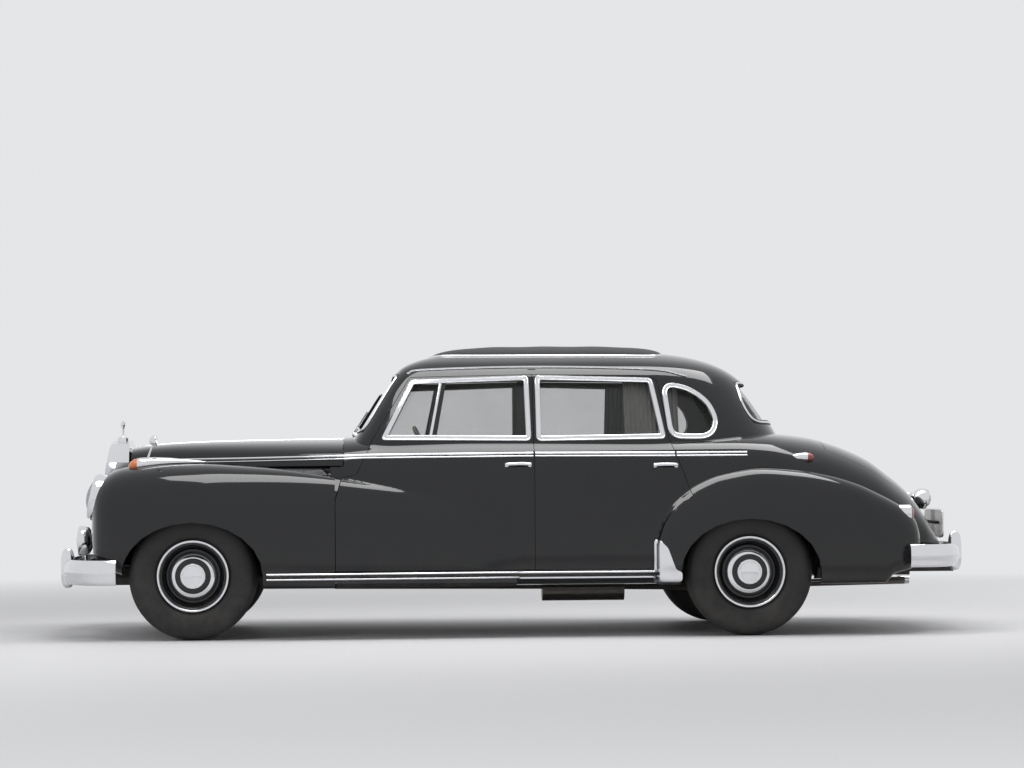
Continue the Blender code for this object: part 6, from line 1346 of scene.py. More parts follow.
def wheels():
    """Tyres with a cut tread, dished discs, trim rings and domed caps with plain rings."""
    made = []
    for word, side in SIDES:
        for end in ("front", "rear"):
            x, y = WHEEL_PLACES[end]
            centre, axis = (x, side * y, HUB_Z), (0, side, 0)
            body = "wheel_%s_%s" % (end, word)
            tag = "%s_%s" % (end, word)
            tyre = turned(
                "tyre_skin_" + tag, tyre_rows(), centre, axis, "rubber", body, 144, tread_ripple, 60,
            )
            made.append(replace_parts(tyre, "tyre_" + tag))
            disc = smooth_profile([
                (0.006, 0), (0.006, 0.068), (-0.010, 0.118), (-0.014, 0.150), (-0.030, 0.164),
                (-0.066, 0.168),
                (-0.0695, 0.184), (-0.066, 0.1905), (-0.055, 0.186), (-0.050, 0.1785), (0.000, 0.1770),
                (0.050, 0.1785),
                (0.055, 0.186), (0.066, 0.1905), (0.0695, 0.184), (0.064, 0.174), (0.046, 0.164),
                (0.030, 0.158),
                (0.016, 0.150), (0.0125, 0.141), (0.017, 0.128), (0.026, 0.117), (0.032, 0.100), (0.034, 0),
            ], 3)
            made.append(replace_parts(
                turned("disc_skin_" + tag, disc, centre, axis, "wheel", body, 96), "wheel_" + tag,
            ))
            made.append(turned("rim_ring_" + tag, [
                (0.0700, 0.1960), (0.0745, 0.1945), (0.0755, 0.1900), (0.0735, 0.1855), (0.0690, 0.1830),
                (0.0660, 0.1850), (0.0668, 0.1930),
            ], centre, axis, "chrome", body, 120))
            made.append(turned("cap_" + tag, smooth_profile([
                (0.022, 0.1290), (0.031, 0.1300), (0.040, 0.1265), (0.049, 0.1160), (0.056, 0.1050),
                (0.0585, 0.1000), (0.0560, 0.0960), (0.030, 0.0900),
            ], 3).tolist() + [(0.022, 0.0900)], centre, axis, "chrome", body, 120))
            made.append(turned("cap_band_" + tag, [
                (0.045, 0.0955), (0.0560, 0.0950), (0.0635, 0.0820), (0.0660, 0.0700), (0.0450, 0.0690),
            ], centre, axis, "wheel", body, 96))
            made.append(turned("cap_dome_" + tag, [
                (0.048, 0.0690), (0.0665, 0.0700), (0.0705, 0.0670), (0.0720, 0.0610), (0.0710, 0.0560),
                (0.0700, 0.0520), (0.0735, 0.0400), (0.0765, 0.0260), (0.0785, 0.0120), (0.0792, 0.0),
                (0.048, 0),
            ], centre, axis, "chrome", body, 96))
    return made


# Lamps

def drop(name, rows, radius, y, heights, finish, body, low=None, high=None, swell=1.0):
    """Long drop along the car: round sections whose size is a curve of the place along it."""
    table = np.array(rows, float)
    start, stop = max(low or table[0, 0], table[0, 0]), min(high or table[-1, 0], table[-1, 0])
    share = start + (stop - start) * (1 - np.cos(np.linspace(0, math.pi, 60))) / 2
    size = np.maximum(np.interp(share, table[:, 0], table[:, 1]), 0.0) * radius * swell
    smooth = np.convolve(np.pad(size, 3, mode="edge"), np.ones(7) / 7, mode="valid")
    size = np.where((share > table[0, 0] + 0.002) & (share < table[-1, 0] - 0.002), smooth, size) + 0.0006
    turn = np.linspace(0, 2 * math.pi, 33)[:-1]
    points = np.stack([
        np.repeat(share[:, None] * LENGTH, 32, axis=1), y + size[:, None] * np.cos(turn),
        heights(share)[:, None] + size[:, None] * np.sin(turn),
    ], axis=-1)
    return tube_piece(name, points, finish, body)


def crown_height(share, y):
    """Height of the front fender's crown at a place along the car and a half width."""
    outer, inner = curve(FENDER_OUTER, share) * HALF_WIDTH, curve(FENDER_INNER, share) * HALF_WIDTH
    top, middle = curve(FENDER_TOP, share) * ROOF, curve(FENDER_MIDDLE, share) * ROOF
    reach = (y - (outer + inner) / 2) / ((outer - inner) / 2)
    return middle + (top - middle) * np.where(reach >= 0, arc(reach, FENDER_CROWN), arc(reach, FENDER_INSIDE))


TURN_LAMP = (
    (-0.4225, 0.0), (-0.4205, 0.55), (-0.416, 0.90), (-0.409, 1.0), (-0.395, 0.88), (-0.375, 0.62),
    (-0.355, 0.34),
    (-0.339, 0.08),
)
SIDE_LAMP = (
    (0.289, 0.08), (0.298, 0.45), (0.308, 0.80), (0.316, 1.0), (0.322, 0.90), (0.3255, 0.55), (0.327, 0.0),
)


def lamps():
    """Headlamps with reflector and fluted glass, turn lamps, side lamps, tail lamps and fog-lamp glasses."""
    made = []
    tilt = math.radians(12)
    for word, side in SIDES:
        centre, axis = (-2.3071, side * HEADLAMP_Y, 0.7808), (-math.cos(tilt), 0, math.sin(tilt))
        rim = turned("headlamp_rim_" + word, smooth_profile([
            (-0.060, 0.1265), (-0.020, 0.1295), (0.010, 0.1300), (0.026, 0.1275), (0.036, 0.1215),
            (0.0385, 0.1150),
            (0.0350, 0.1090), (0.0280, 0.1065), (0.010, 0.1080), (-0.060, 0.1200),
        ], 4), centre, axis, "chrome", "body", 96)
        made.append(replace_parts(rim, "headlamp_" + word))
        made.append(turned("headlamp_bowl_" + word, smooth_profile([
            (-0.128, 0), (-0.120, 0.040), (-0.085, 0.085), (-0.030, 0.1120), (0.006, 0.1215), (0.008, 0.1080),
            (-0.020, 0.1040), (-0.070, 0.080), (-0.108, 0.040), (-0.115, 0),
        ], 4), centre, axis, "chrome", "body", 72))
        bow = np.linspace(0, 1, 16)
        front = [(0.030 + 0.036 * (1 - t * t), 0.1065 * t) for t in bow]
        back = [(0.026 + 0.034 * (1 - t * t), 0.1065 * t) for t in bow[::-1]]
        made.append(turned("headlamp_glass_" + word, front + back, centre, axis, "lamp_glass", "body", 72))
        made.append(turned("headlamp_bulb_" + word, [
            (-0.110, 0), (-0.110, 0.012), (-0.060, 0.012), (-0.055, 0.020), (-0.035, 0.022),
            (-0.020, 0.014), (-0.016, 0),
        ], centre, axis, "fluted", "body", 32))
        made.append(turned("headlamp_flutes_" + word, [
            (0.012, 0), (0.012, 0.1060), (0.015, 0.1060), (0.015, 0),
        ], centre, axis, "lamp_glass", "body", 72))

        def turn_height(share):
            return crown_height(share, TURN_LAMP_Y) + 0.012

        lamp = drop(
            "turn_lamp_skin_" + word, TURN_LAMP, 0.036, side * TURN_LAMP_Y, turn_height, "chrome", "body",
            -0.4125,
        )
        made.append(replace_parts(lamp, "turn_lamp_" + word))
        made.append(drop(
            "turn_lamp_lens_" + word, TURN_LAMP, 0.036, side * TURN_LAMP_Y, turn_height, "amber", "body",
            None, -0.4123, 1.0,
        ))
        height = 0.611 * ROOF
        y = side * float(hull_half(np.array(0.314 * LENGTH), np.array(height)))

        def level(share):
            return height + 0 * share

        lamp = drop(
            "side_lamp_skin_" + word, SIDE_LAMP, 0.026, y, level, "chrome", "body", None, 0.3195, 1.05,
        )
        made.append(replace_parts(lamp, "side_lamp_" + word))
        made.append(
            drop("side_lamp_lens_" + word, SIDE_LAMP, 0.026, y, level, "red", "body", 0.3195, None, 1.02)
        )
        centre = (0.427 * LENGTH, side * 0.735, 0.415 * ROOF)
        made.append(turned("tail_lamp_rim_" + word, smooth_profile([
            (-0.060, 0.0470), (0.010, 0.0480), (0.019, 0.0470), (0.023, 0.0440), (0.020, 0.0410),
            (0.010, 0.0400),
            (-0.060, 0.0400),
        ], 4), centre, (1, 0, 0), "chrome", "body", 64))
        lens = turned("tail_lamp_lens_" + word, smooth_profile([
            (-0.080, 0), (-0.080, 0.0395), (0.016, 0.0405), (0.030, 0.0345), (0.039, 0.0200), (0.042, 0),
        ], 5), centre, (1, 0, 0), "red", "body", 64)
        made.append(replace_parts(lens, "tail_lamp_" + word))
        r, centre = FOG_RADIUS, (-2.400, side * HORN_Y, 0.540)
        made.append(turned("fog_shell_" + word, smooth_profile([
            (-r * 0.61, 0), (-r * 0.55, r * 0.42), (-r * 0.31, r * 0.88), (0.0, r * 1.015),
            (r * 0.30, r * 1.015),
            (r * 0.40, r * 0.97), (r * 0.42, r * 0.90), (r * 0.36, r * 0.86), (r * 0.10, r * 0.86),
            (-r * 0.2, 0),
        ], 5), centre, (-1, 0, 0), "chrome", "body", 64))
        made.append(turned("fog_glass_" + word, smooth_profile([
            (r * 0.36, 0), (r * 0.34, r * 0.87), (r * 0.40, r * 0.87), (r * 0.52, r * 0.50), (r * 0.565, 0),
        ], 5), centre, (-1, 0, 0), "fluted", "body", 64))
    return made


# Bumpers

def bumper_skin(name, tip, wrap, half, z, height):
    """Blade along |x|^2.9 + |y|^2.9 = 1 in plan.

    At b from -1 to 1 up the blade it stands out by depth * (0.97 - 0.5 |b|^3.2 + 0.05 exp(-(b / 0.1)^2)).
    """
    way = 1 if tip > 0 else -1
    turn = np.radians(np.concatenate([grid(0, 20, 1.0), grid(22, 158, 2.0), grid(160, 180, 1.0)]))
    depth = 0.045
    y, x = ring(turn, 2.9)
    reach = abs(tip) - abs(wrap) - depth
    path = np.stack([way * (abs(wrap) + x * reach), y * (half - depth), np.full_like(x, z)], axis=1)
    along = np.gradient(path, axis=0)
    out = np.stack([along[:, 1], -along[:, 0], 0 * x], axis=1)
    out = unit(out)
    out *= np.sign(np.sum(out * (path - [way * abs(wrap) * 0.9, 0, z]), axis=1))[:, None]
    bow = np.linspace(-1, 1, 33)
    stand = depth * (0.97 - 0.50 * np.abs(bow) ** 3.2 + 0.05 * np.exp(-(bow / 0.10) ** 2))
    face = list(zip(stand, height * 0.515 * bow))
    back = [(d - 0.006 - depth * 0.10, h * 0.97) for d, h in face[::-1]]
    section = np.array(face + back)
    up = np.array([0, 0, 1.0])
    points = path[:, None] + out[:, None] * section[None, :, :1] + up * section[None, :, 1:]
    return tube_piece(name, points, "chrome", "body", 50)


def overrider_skin(name, tip, side, z):
    """Superellipsoid horn: |x|^p + |y|^p + |z|^q = 1 in its own half sizes, tapering upwards."""
    way = 1 if tip > 0 else -1
    x, y, rise = superellipsoid(6, 7.5, 3.0, 2.6)
    taper = 1 - 0.12 * rise
    points = np.stack([
        way * (abs(tip) - 0.040) + x * 0.038, side * HORN_Y + y * 0.030 * taper,
        z + 0.017 + rise * 0.1105,
    ], axis=-1)
    return tube_piece(name, points, "chrome", "body", 60, False)


def smooth_profile3(rows, steps=10):
    """Quadratic curve through the first and last of three points, drawn towards the middle one."""
    a, b, c = np.array(rows, float)
    t = np.linspace(0, 1, steps * 2)[:, None]
    return (1 - t) ** 2 * a + 2 * t * (1 - t) * b + t * t * c


def bumpers():
    """Bumper blades, their horns and brackets, and the fog lamps' stalks."""
    made = [
        bumper_skin("front_bumper_skin", -2.535, -2.190, 0.885, 0.372, 0.132),
        bumper_skin("rear_bumper_skin", 2.535, 2.160, 0.878, 0.430, 0.122),
    ]
    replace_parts(made[0], "front_bumper")
    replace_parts(made[1], "rear_bumper")
    for word, side in SIDES:
        for label, tip, height, rail in (("front", -2.535, 0.372, 0.330), ("rear", 2.535, 0.430, 0.350)):
            made.append(overrider_skin("%s_horn_%s" % (label, word), tip, side, height))
            way = math.copysign(1, tip)
            x = np.linspace(2.2503, 2.503, 12)
            path = np.stack([way * x, 0 * x + side * RAIL_Y, 0 * x + rail], axis=1)
            bar = [
                (-0.020, -0.022), (0.020, -0.022), (0.022, -0.020), (0.022, 0.020), (0.020, 0.022),
                (-0.020, 0.022), (-0.022, 0.020), (-0.022, -0.020),
            ]
            made.append(swept_piece(
                "%s_bracket_%s" % (label, word), path, np.tile([0.0, 0.0, 1.0], (12, 1)), bar, "chassis",
                "body",
            ))
        stalk = smooth_profile3(
            [(-2.400, side * HORN_Y, 0.500), (-2.400, side * HORN_Y, 0.390), (-2.400, side * RAIL_Y, 0.340)]
        )
        made.append(tube_along("fog_stalk_" + word, stalk, 0.012, "chrome", "body"))
    return made


# Small fittings

def tube_along(name, path, radius, finish, body, steps=14):
    """Round bar: its normals are the path's direction times a fixed guide."""
    path = np.array(path, float)
    along = np.gradient(path, axis=0)
    along = unit(along)
    guide = np.array([0.0, 1.0, 0.0]) if abs(along[0, 1]) < 0.9 else np.array([0.0, 0.0, 1.0])
    normals = np.cross(along, guide)
    normals = unit(normals)
    return swept_piece(name, path, normals, oval(radius * 2, radius * 2, steps), finish, body)


def fittings():
    """Fender mirror, wipers, curtains and tail pipe end."""
    made = []
    base = np.array([-2.030, -0.665, 1.000])
    made.append(
        tube_along(
            "mirror_stem", base + np.linspace(0, 1, 12)[:, None] * [0.030, -0.012, 0.075], 0.006,
            "chrome", "body",
        )
    )
    made.append(turned("mirror_head", smooth_profile([
        (0.012, 0), (0.012, 0.027), (0.006, 0.031), (-0.012, 0.026), (-0.026, 0.012), (-0.030, 0),
    ], 5), base + [0.036, -0.014, 0.092], (1, -0.15, 0), "chrome", "body", 40))
    for k, (y0, y1, z1) in enumerate(((-0.36, -0.47, 1.310), (0.22, 0.08, 1.330))):
        t = np.linspace(0, 1, 30)
        y, z = y0 + (y1 - y0) * t, 1.118 + (z1 - 1.118) * t
        skin = np.stack([cabin_end(y, z, -1), y, z], axis=1)
        made.append(tube_along("wiper_arm_%d" % k, (skin + [-0.022, 0, 0.006])[:20], 0.004, "chrome", "body"))
        tip = skin[19] + [-0.018, 0, 0.006]
        blade = tip + np.linspace(-0.8, 0.8, 26)[:, None] * (skin[29] - skin[8]) * 0.8
        blade[:, 0] = cabin_end(blade[:, 1], blade[:, 2], -1) - 0.010
        made.append(tube_along("wiper_blade_%d" % k, blade, 0.005, "dark", "body", 10))
        made.append(turned("wiper_pivot_%d" % k, [
            (0, 0), (0, 0.020), (0.010, 0.018), (0.028, 0.011), (0.034, 0.0),
        ], skin[0] + [0.004, 0, -0.004], (-1, 0, 0.7), "chrome", "body", 28))
    low = np.linspace(0, 1, 60)
    for word, side in SIDES:
        for label, start, stop, body in (
            ("rear", 0.600, 0.790, "door_rear_" + word), ("quarter", 0.850, 0.905, "body"),
        ):
            u, v = np.meshgrid(low, np.linspace(0, 1, 24), indexing="ij")
            x = start + (stop - start) * u
            z = 1.095 + 0.315 * v
            y = side * (cabin_half(x, z) - 0.058 + 0.009 * np.sin(u * (stop - start) * 260))
            points = np.stack([x, y, z], axis=-1).reshape(-1, 3)
            made.append(make_mesh(
                "curtain_%s_%s" % (label, word), points, tube_faces(60, 24, False, False), "curtain", body,
                core=((start + stop) / 2, 0, 1.2), wall=0.0015,
            ))
    made.append(tube_along(
        "tail_pipe_end",
        np.linspace(
            [PIPE_END[0] - 0.02, PIPE_END[1], PIPE_END[2]], [PIPE_END[0] + 0.05, *PIPE_END[1:]], 8,
        ), 0.0262,
        "chrome", "body", 24,
    ))
    return made


def plate_lamp():
    """Domed plate lamp on its arm, over a blank enamelled plate with a bright frame."""
    centre = np.array([2.395, 0.0, 0.738])
    globe = turned("plate_lamp_dome", smooth_profile([
        (-0.060, 0), (-0.056, 0.020), (-0.040, 0.042), (-0.010, 0.058), (0.020, 0.060), (0.030, 0.056),
        (0.034, 0.050),
        (0.028, 0.046), (0.026, 0),
    ], 5), centre, (1, 0, -0.25), "chrome", "trunk_lid", 64)
    made = [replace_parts(globe, "plate_lamp")]
    made.append(turned("plate_lamp_lens", smooth_profile([
        (0.024, 0), (0.024, 0.045), (0.034, 0.042), (0.050, 0.026), (0.056, 0),
    ], 5), centre, (1, 0, -0.25), "fluted", "trunk_lid", 48))
    made.append(tube_along("plate_lamp_arm", smooth_profile3([
        (2.235, 0, 0.742), (2.300, 0, 0.775), (2.360, 0, 0.748),
    ]), 0.017, "chrome", "trunk_lid", 20))
    for word, side in SIDES:
        made.append(
            tube_along(
                "plate_arm_" + word,
                np.linspace([2.300, side * 0.16, 0.62], [2.462, side * 0.16, 0.60], 10), 0.010, "paint",
                "trunk_lid",
            )
        )
    y, z = ring(np.linspace(0, 2 * math.pi, 97)[:-1], 9.0)
    path = np.stack([0 * y + 2.4665, y * 0.258, PLATE_Z + z * 0.080], axis=1)
    rim = swept_piece(
        "plate_frame", path, np.tile([1.0, 0.0, 0.0], (96, 1)), half_round(0.008, 0.005), "chrome",
        "trunk_lid", True,
    )
    made.append(rim)
    radius = np.linspace(0, 1, 12)
    r, k = np.meshgrid(radius[1:], np.arange(96), indexing="ij")
    front = np.stack(
        [2.4685 - 0.0015 * r**8, y[k] * 0.256 * r, PLATE_Z + z[k] * 0.078 * r], axis=-1,
    ).reshape(-1, 3)
    faces = tube_faces(11, 96).tolist() + [list(range(96))]
    made.append(make_mesh("plate_sheet", front, faces, "plate", "trunk_lid", core=(2.0, 0, 0.6), wall=0.004))
    return made


def roof_height(x, y):
    """Height of the roof over a place: the highest level whose plan still holds it, found by halving."""
    low, high = np.full(np.shape(x), 1.30), np.full(np.shape(x), ROOF)
    for _ in range(26):
        middle = (low + high) / 2
        inside = cabin_half(x, middle) > np.abs(y)
        low, high = np.where(inside, middle, low), np.where(inside, high, middle)
    return low


def sunroof():
    """Folding roof: a padded canvas over bows, highest along its middle, with a bright edge all round."""
    centre, reach, half = 0.190, 0.6670, 0.417
    rho, turn = np.meshgrid(
        np.sin(np.linspace(0.02, 1, 36) * math.pi / 2), np.radians(np.arange(0, 360, 2.5)), indexing="ij",
    )
    a, b = ring(turn, 7.0)
    x, y = centre + reach * rho * a, half * rho * b
    bow = 0.0012 * np.cos((x - centre) * 2 * math.pi / 0.29) * (1 - rho**4)
    z = roof_height(x, y) + 0.0295 * (1 - rho**7) ** 0.5 + bow
    z = np.where(rho > 0.9999, roof_height(x, y) - 0.004, z)
    points = np.stack([x, y, z], axis=-1).reshape(-1, 3)
    faces = tube_faces(rho.shape[0], rho.shape[1]).tolist() + [list(range(rho.shape[1]))]
    top = make_mesh("folding_roof", points, faces, "canvas", "body", core=(0.19, 0, 1.3), wall=0.004)
    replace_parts(top, "sunroof")
    a, b = ring(np.radians(np.arange(0, 360, 1.5)), 7.0)
    x, y = centre + (reach + 0.001) * a, (half + 0.001) * b
    path = np.stack([x, y, roof_height(x, y) + 0.002], axis=1)
    normal = np.stack([0 * x, 0.25 * b, np.ones_like(x)], axis=1)
    normal = unit(normal)
    rim = swept_piece("folding_roof_edge", path, normal, half_round(0.014, 0.009), "chrome", "body", True)
    return [top, rim]


# Cabin

def pillow(name, centre, sizes, lean, crown):
    """Closed rounded box, swollen by a cloth simulation, then pressed into channels."""
    a, b, rise = superellipsoid(3, 3, 5.0, 6.0)
    deep, wide, high = a * sizes[0], b * sizes[1], rise * sizes[2]
    c, s = math.cos(lean), math.sin(lean)
    points = np.stack([centre[0] + deep * c + high * s, wide, centre[1] - deep * s + high * c], axis=-1)
    piece = tube_piece(name, points, "cloth", "body", 80, False)
    swell(piece, crown)
    return piece


SEAT_VOXEL, SEAT_PRESSURE, SWELL_FRAMES = 0.020, 4.0, 20
CHANNEL_STEP, CHANNEL_WIDTH, CHANNEL_DEPTH = 0.105, 0.10, 0.010


def swell(piece, limit):
    """Remeshes the piece, blows it up as cloth and holds each point within the limit."""
    scene = bpy.context.scene
    parent = piece.parent
    remesh = piece.modifiers.new("remesh", "REMESH")
    remesh.mode = "VOXEL"
    remesh.voxel_size = SEAT_VOXEL
    apply_modifiers(piece)
    start = np.empty(len(piece.data.vertices) * 3)
    piece.data.vertices.foreach_get("co", start)
    cloth = piece.modifiers.new("cloth", "CLOTH")
    cloth.settings.use_pressure = True
    cloth.settings.uniform_pressure_force = SEAT_PRESSURE
    cloth.settings.effector_weights.gravity = 0.0
    cloth.settings.quality = 4
    for step in range(1, SWELL_FRAMES + 1):
        scene.frame_set(step)
    apply_modifiers(piece)
    scene.frame_set(1)
    end = np.empty(len(start))
    piece.data.vertices.foreach_get("co", end)
    start, end = start.reshape(-1, 3), end.reshape(-1, 3)
    move = end - start
    length = np.linalg.norm(move, axis=1)[:, None]
    move *= np.minimum(1, limit / np.maximum(length, 1e-9))
    final = start + move
    channel = np.exp(-(((final[:, 1] / CHANNEL_STEP) % 1 - 0.5) / CHANNEL_WIDTH) ** 2)
    middle = final.mean(axis=0)
    pull = (middle - final) * [1, 0, 1]
    pull /= np.maximum(np.linalg.norm(pull, axis=1), 1e-6)[:, None]
    final += pull * (CHANNEL_DEPTH * channel)[:, None]
    piece.data.vertices.foreach_set("co", final.ravel())
    piece.data.update()
    piece.data.polygons.foreach_set("use_smooth", np.ones(len(piece.data.polygons), bool))
    piece.parent = parent
    smooth = piece.modifiers.new("smooth", "SUBSURF")
    smooth.levels = smooth.render_levels = 1


def apply_modifiers(piece):
    """Bakes the piece's modifiers into its mesh."""
    shot = bpy.data.meshes.new_from_object(piece.evaluated_get(bpy.context.evaluated_depsgraph_get()))
    shot.materials.clear()
    shot.materials.append(piece.data.materials[0])
    piece.modifiers.clear()
    piece.data = shot


def seats(crown):
    """Front and rear benches: cushions and backs of woven cloth over a low base."""
    made = []
    for node, cushion_share in (("front_seat", 0.42), ("rear_seat", 0.50)):
        low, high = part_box(node)
        floor, half, height, depth = low.z, (high.y - low.y) / 2, high.z - low.z, high.x - low.x
        cushion_top = floor + height * cushion_share
        middle = floor + 0.075
        thick = (cushion_top - middle) / 2
        pieces = (
            (
                "cushion", (low.x + depth * 0.42, middle + thick),
                (depth * 0.40, half - 0.020, thick - 0.012), -0.06,
            ),
            (
                "back", (low.x + depth * 0.865, (cushion_top + high.z) / 2 - 0.02),
                (0.062, half - 0.025, (high.z - cushion_top) / 2 + 0.030), 0.20,
            ),
        )
        first = None
        for label, centre, sizes, lean in pieces:
            piece = pillow("%s_%s" % (node, label), centre, sizes, lean, crown * 0.5)
            first = first or piece
            made.append(piece)
        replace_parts(first, node)
        a, b, rise = superellipsoid(10, 10, 9.0, 9.0)
        points = np.stack([
            low.x + depth * 0.44 + a * depth * 0.34, b * (half - 0.05), floor + 0.046 + rise * 0.045,
        ], axis=-1)
        made.append(tube_piece(node + "_base", points, "dark", "body", 50, False))
    return made


def cockpit():
    """Steering wheel with a horn ring, and round dials in the dashboard."""
    made = []
    angle = math.radians(26)
    line = np.array([-math.cos(angle), 0, -math.sin(angle)])
    hub = np.array([-0.470, -0.360, 0.975])
    rim = turned("steering_rim", [
        (0.0115 * math.sin(a), 0.205 + 0.0115 * math.cos(a)) for a in np.linspace(0, 2 * math.pi, 17)[:-1]
    ], hub, -line, "bakelite", "steering_wheel", 120)
    made.append(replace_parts(rim, "steering_wheel"))
    made.append(turned("steering_boss", smooth_profile([
        (-0.034, 0), (-0.034, 0.026), (-0.006, 0.034), (0.010, 0.036), (0.018, 0.026), (0.020, 0),
    ], 5), hub, -line, "bakelite", "steering_wheel", 48))
    made.append(turned("horn_ring", [
        (
            0.004 + 0.0035 * math.sin(a), 0.120 + 0.0035 * math.cos(a),
        ) for a in np.linspace(0, 2 * math.pi, 11)[:-1]
    ], hub, -line, "chrome", "steering_wheel", 72))
    made.append(
        tube_along(
            "steering_spokes", hub + np.linspace(-0.203, 0.203, 30)[:, None] * [0, 1, 0], 0.0075,
            "bakelite", "steering_wheel",
        )
    )
    for k, y in enumerate((-0.44, -0.28)):
        centre = (-0.585, y, 0.925)
        made.append(
            turned(
                "dial_%d" % k, [(0, 0), (0, 0.050), (0.004, 0.050), (0.004, 0)], centre, (1, 0, 0),
                "dial", "body", 40,
            )
        )
        made.append(turned("dial_rim_%d" % k, [
            (0, 0.049), (0, 0.056), (0.006, 0.056), (0.009, 0.0525), (0.006, 0.049),
        ], centre, (1, 0, 0), "chrome", "body", 48))
    return made


# Studio

def studio(settings):
    """Pale floor that fades into the background, soft lamps and the camera of the photograph."""
    scene = bpy.context.scene
    scene.view_settings.view_transform = "Standard"
    radius, turn = np.concatenate([[0.0], np.geomspace(2.0, 120.0, 24)]), np.linspace(0, 2 * math.pi, 73)[:-1]
    r, t = np.meshgrid(radius[1:], turn, indexing="ij")
    points = np.stack([r * np.cos(t), r * np.sin(t), 0 * r], axis=-1).reshape(-1, 3)
    faces = tube_faces(len(radius) - 1, len(turn), False, True).tolist() + [list(range(len(turn)))]
    mesh = bpy.data.meshes.new("studio_floor")
    mesh.from_pydata((points + [0, 0, -0.0005]).tolist(), [], faces)
    finish = Finish("studio_floor", Specular_IOR_Level=0.25)
    x, y = finish.axes()[:2]
    far = (x * x + y * y).power(0.5).between(3.4, 9.5)
    cloud = finish.noise(0.35, 3.0)
    tone = tuple(settings.floor)
    finish.put(
        Base_Color=finish.mix(cloud, tuple(c * 0.97 for c in tone), tone),
        Roughness=0.55 + 0.1 * cloud,
    )
    pale = finish.tree.nodes.new("ShaderNodeEmission")
    pale.inputs["Color"].default_value = (*settings.background, 1.0)
    blend = finish.tree.nodes.new("ShaderNodeMixShader")
    finish.tree.links.new(far.socket, blend.inputs[0])
    finish.tree.links.new(finish.shader.outputs[0], blend.inputs[1])
    finish.tree.links.new(pale.outputs[0], blend.inputs[2])
    finish.tree.links.new(blend.outputs[0], finish.output.inputs["Surface"])
    mesh.materials.append(finish.material)
    floor = bpy.data.objects.new("studio_floor", mesh)
    scene.collection.objects.link(floor)

    world = bpy.data.worlds.new("studio")
    scene.world = world
    world.use_nodes = True
    tree = world.node_tree
    tree.nodes.clear()
    path = tree.nodes.new("ShaderNodeLightPath")
    seen = Value(tree, path.outputs["Is Camera Ray"]).math(
        "MAXIMUM", Value(tree, path.outputs["Is Glossy Ray"]),
    )
    seen = seen.math("MAXIMUM", Value(tree, path.outputs["Is Transmission Ray"]))
    mix = tree.nodes.new("ShaderNodeMix")
    mix.data_type = "RGBA"
    tree.links.new(seen.socket, mix.inputs[0])
    mix.inputs[6].default_value = (settings.fill, settings.fill, settings.fill * 1.02, 1.0)
    mix.inputs[7].default_value = (*settings.background, 1.0)
    light = tree.nodes.new("ShaderNodeBackground")
    tree.links.new(mix.outputs[2], light.inputs["Color"])
    output = tree.nodes.new("ShaderNodeOutputWorld")
    tree.links.new(light.outputs[0], output.inputs["Surface"])

    for name, place, target, size, watts in (
        ("overhead", (0.3, -0.9, 4.6), (0.0, -0.2, 0.6), (6.6, 2.0), settings.lamps),
        ("front_fill", (-6.5, -5.0, 3.0), (-0.8, 0.0, 0.6), (2.4, 2.4), settings.lamps * 0.45),
        ("rear_fill", (6.5, 4.5, 3.2), (0.8, 0.0, 0.7), (2.4, 2.4), settings.lamps * 0.45),
    ):
        data = bpy.data.lights.new(name, "AREA")
        data.shape = "RECTANGLE"
        data.size, data.size_y = size
        data.energy = watts
        lamp = bpy.data.objects.new(name, data)
        lamp.location = place
        lamp.rotation_euler = (Vector(target) - Vector(place)).to_track_quat("-Z", "Y").to_euler()
        lamp.visible_glossy = not name.endswith("fill")
        scene.collection.objects.link(lamp)

    yaw, pitch, roll = 0.050509, 0.033456, -0.0067889
    ahead = Vector((math.sin(yaw) * math.cos(pitch), math.cos(yaw) * math.cos(pitch), math.sin(pitch)))
    right = Vector((math.cos(yaw), -math.sin(yaw), 0))
    up = right.cross(ahead)
    right, up = right * math.cos(roll) + up * math.sin(roll), up * math.cos(roll) - right * math.sin(roll)
    data = bpy.data.cameras.new("camera")
    data.sensor_width, data.lens = 36.0, 97.27
    data.clip_end = 400.0
    camera = bpy.data.objects.new("camera", data)
    camera.matrix_world = Matrix((
        (right.x, up.x, -ahead.x, -0.7958), (right.y, up.y, -ahead.y, -15.9819),
        (right.z, up.z, -ahead.z, 0.8814),
        (0, 0, 0, 1),
    ))
    scene.collection.objects.link(camera)
    scene.camera = camera


# Settings and operators


def colour_property(name, description, default):
    """A colour setting of the panel."""
    return bpy.props.FloatVectorProperty(
        name=name, description=description, default=default, size=3, min=0.0, max=1.0, subtype="COLOR",
    )


def give_slots(pieces):
    """Hands back the finished state of an operator."""
    return {"FINISHED"}


class SaloonPaint(bpy.types.PropertyGroup):
    colour: colour_property("Paint", "Colour of the body", (0.0045, 0.0048, 0.0060))
    roughness: bpy.props.FloatProperty(
        name="Roughness", description="How dull the paint is", default=0.10, min=0.0, max=1.0,
        subtype="FACTOR",
    )


class SaloonPanels(bpy.types.PropertyGroup):
    cell: bpy.props.FloatProperty(
        name="Cell", description="Grid size of the panels", default=0.013, min=0.006, max=0.05, unit="LENGTH",
    )
    stand: bpy.props.FloatProperty(
        name="Stand", description="How far the panels lie outside the frame", default=0.0022, min=0.001,
        max=0.01, unit="LENGTH",
    )


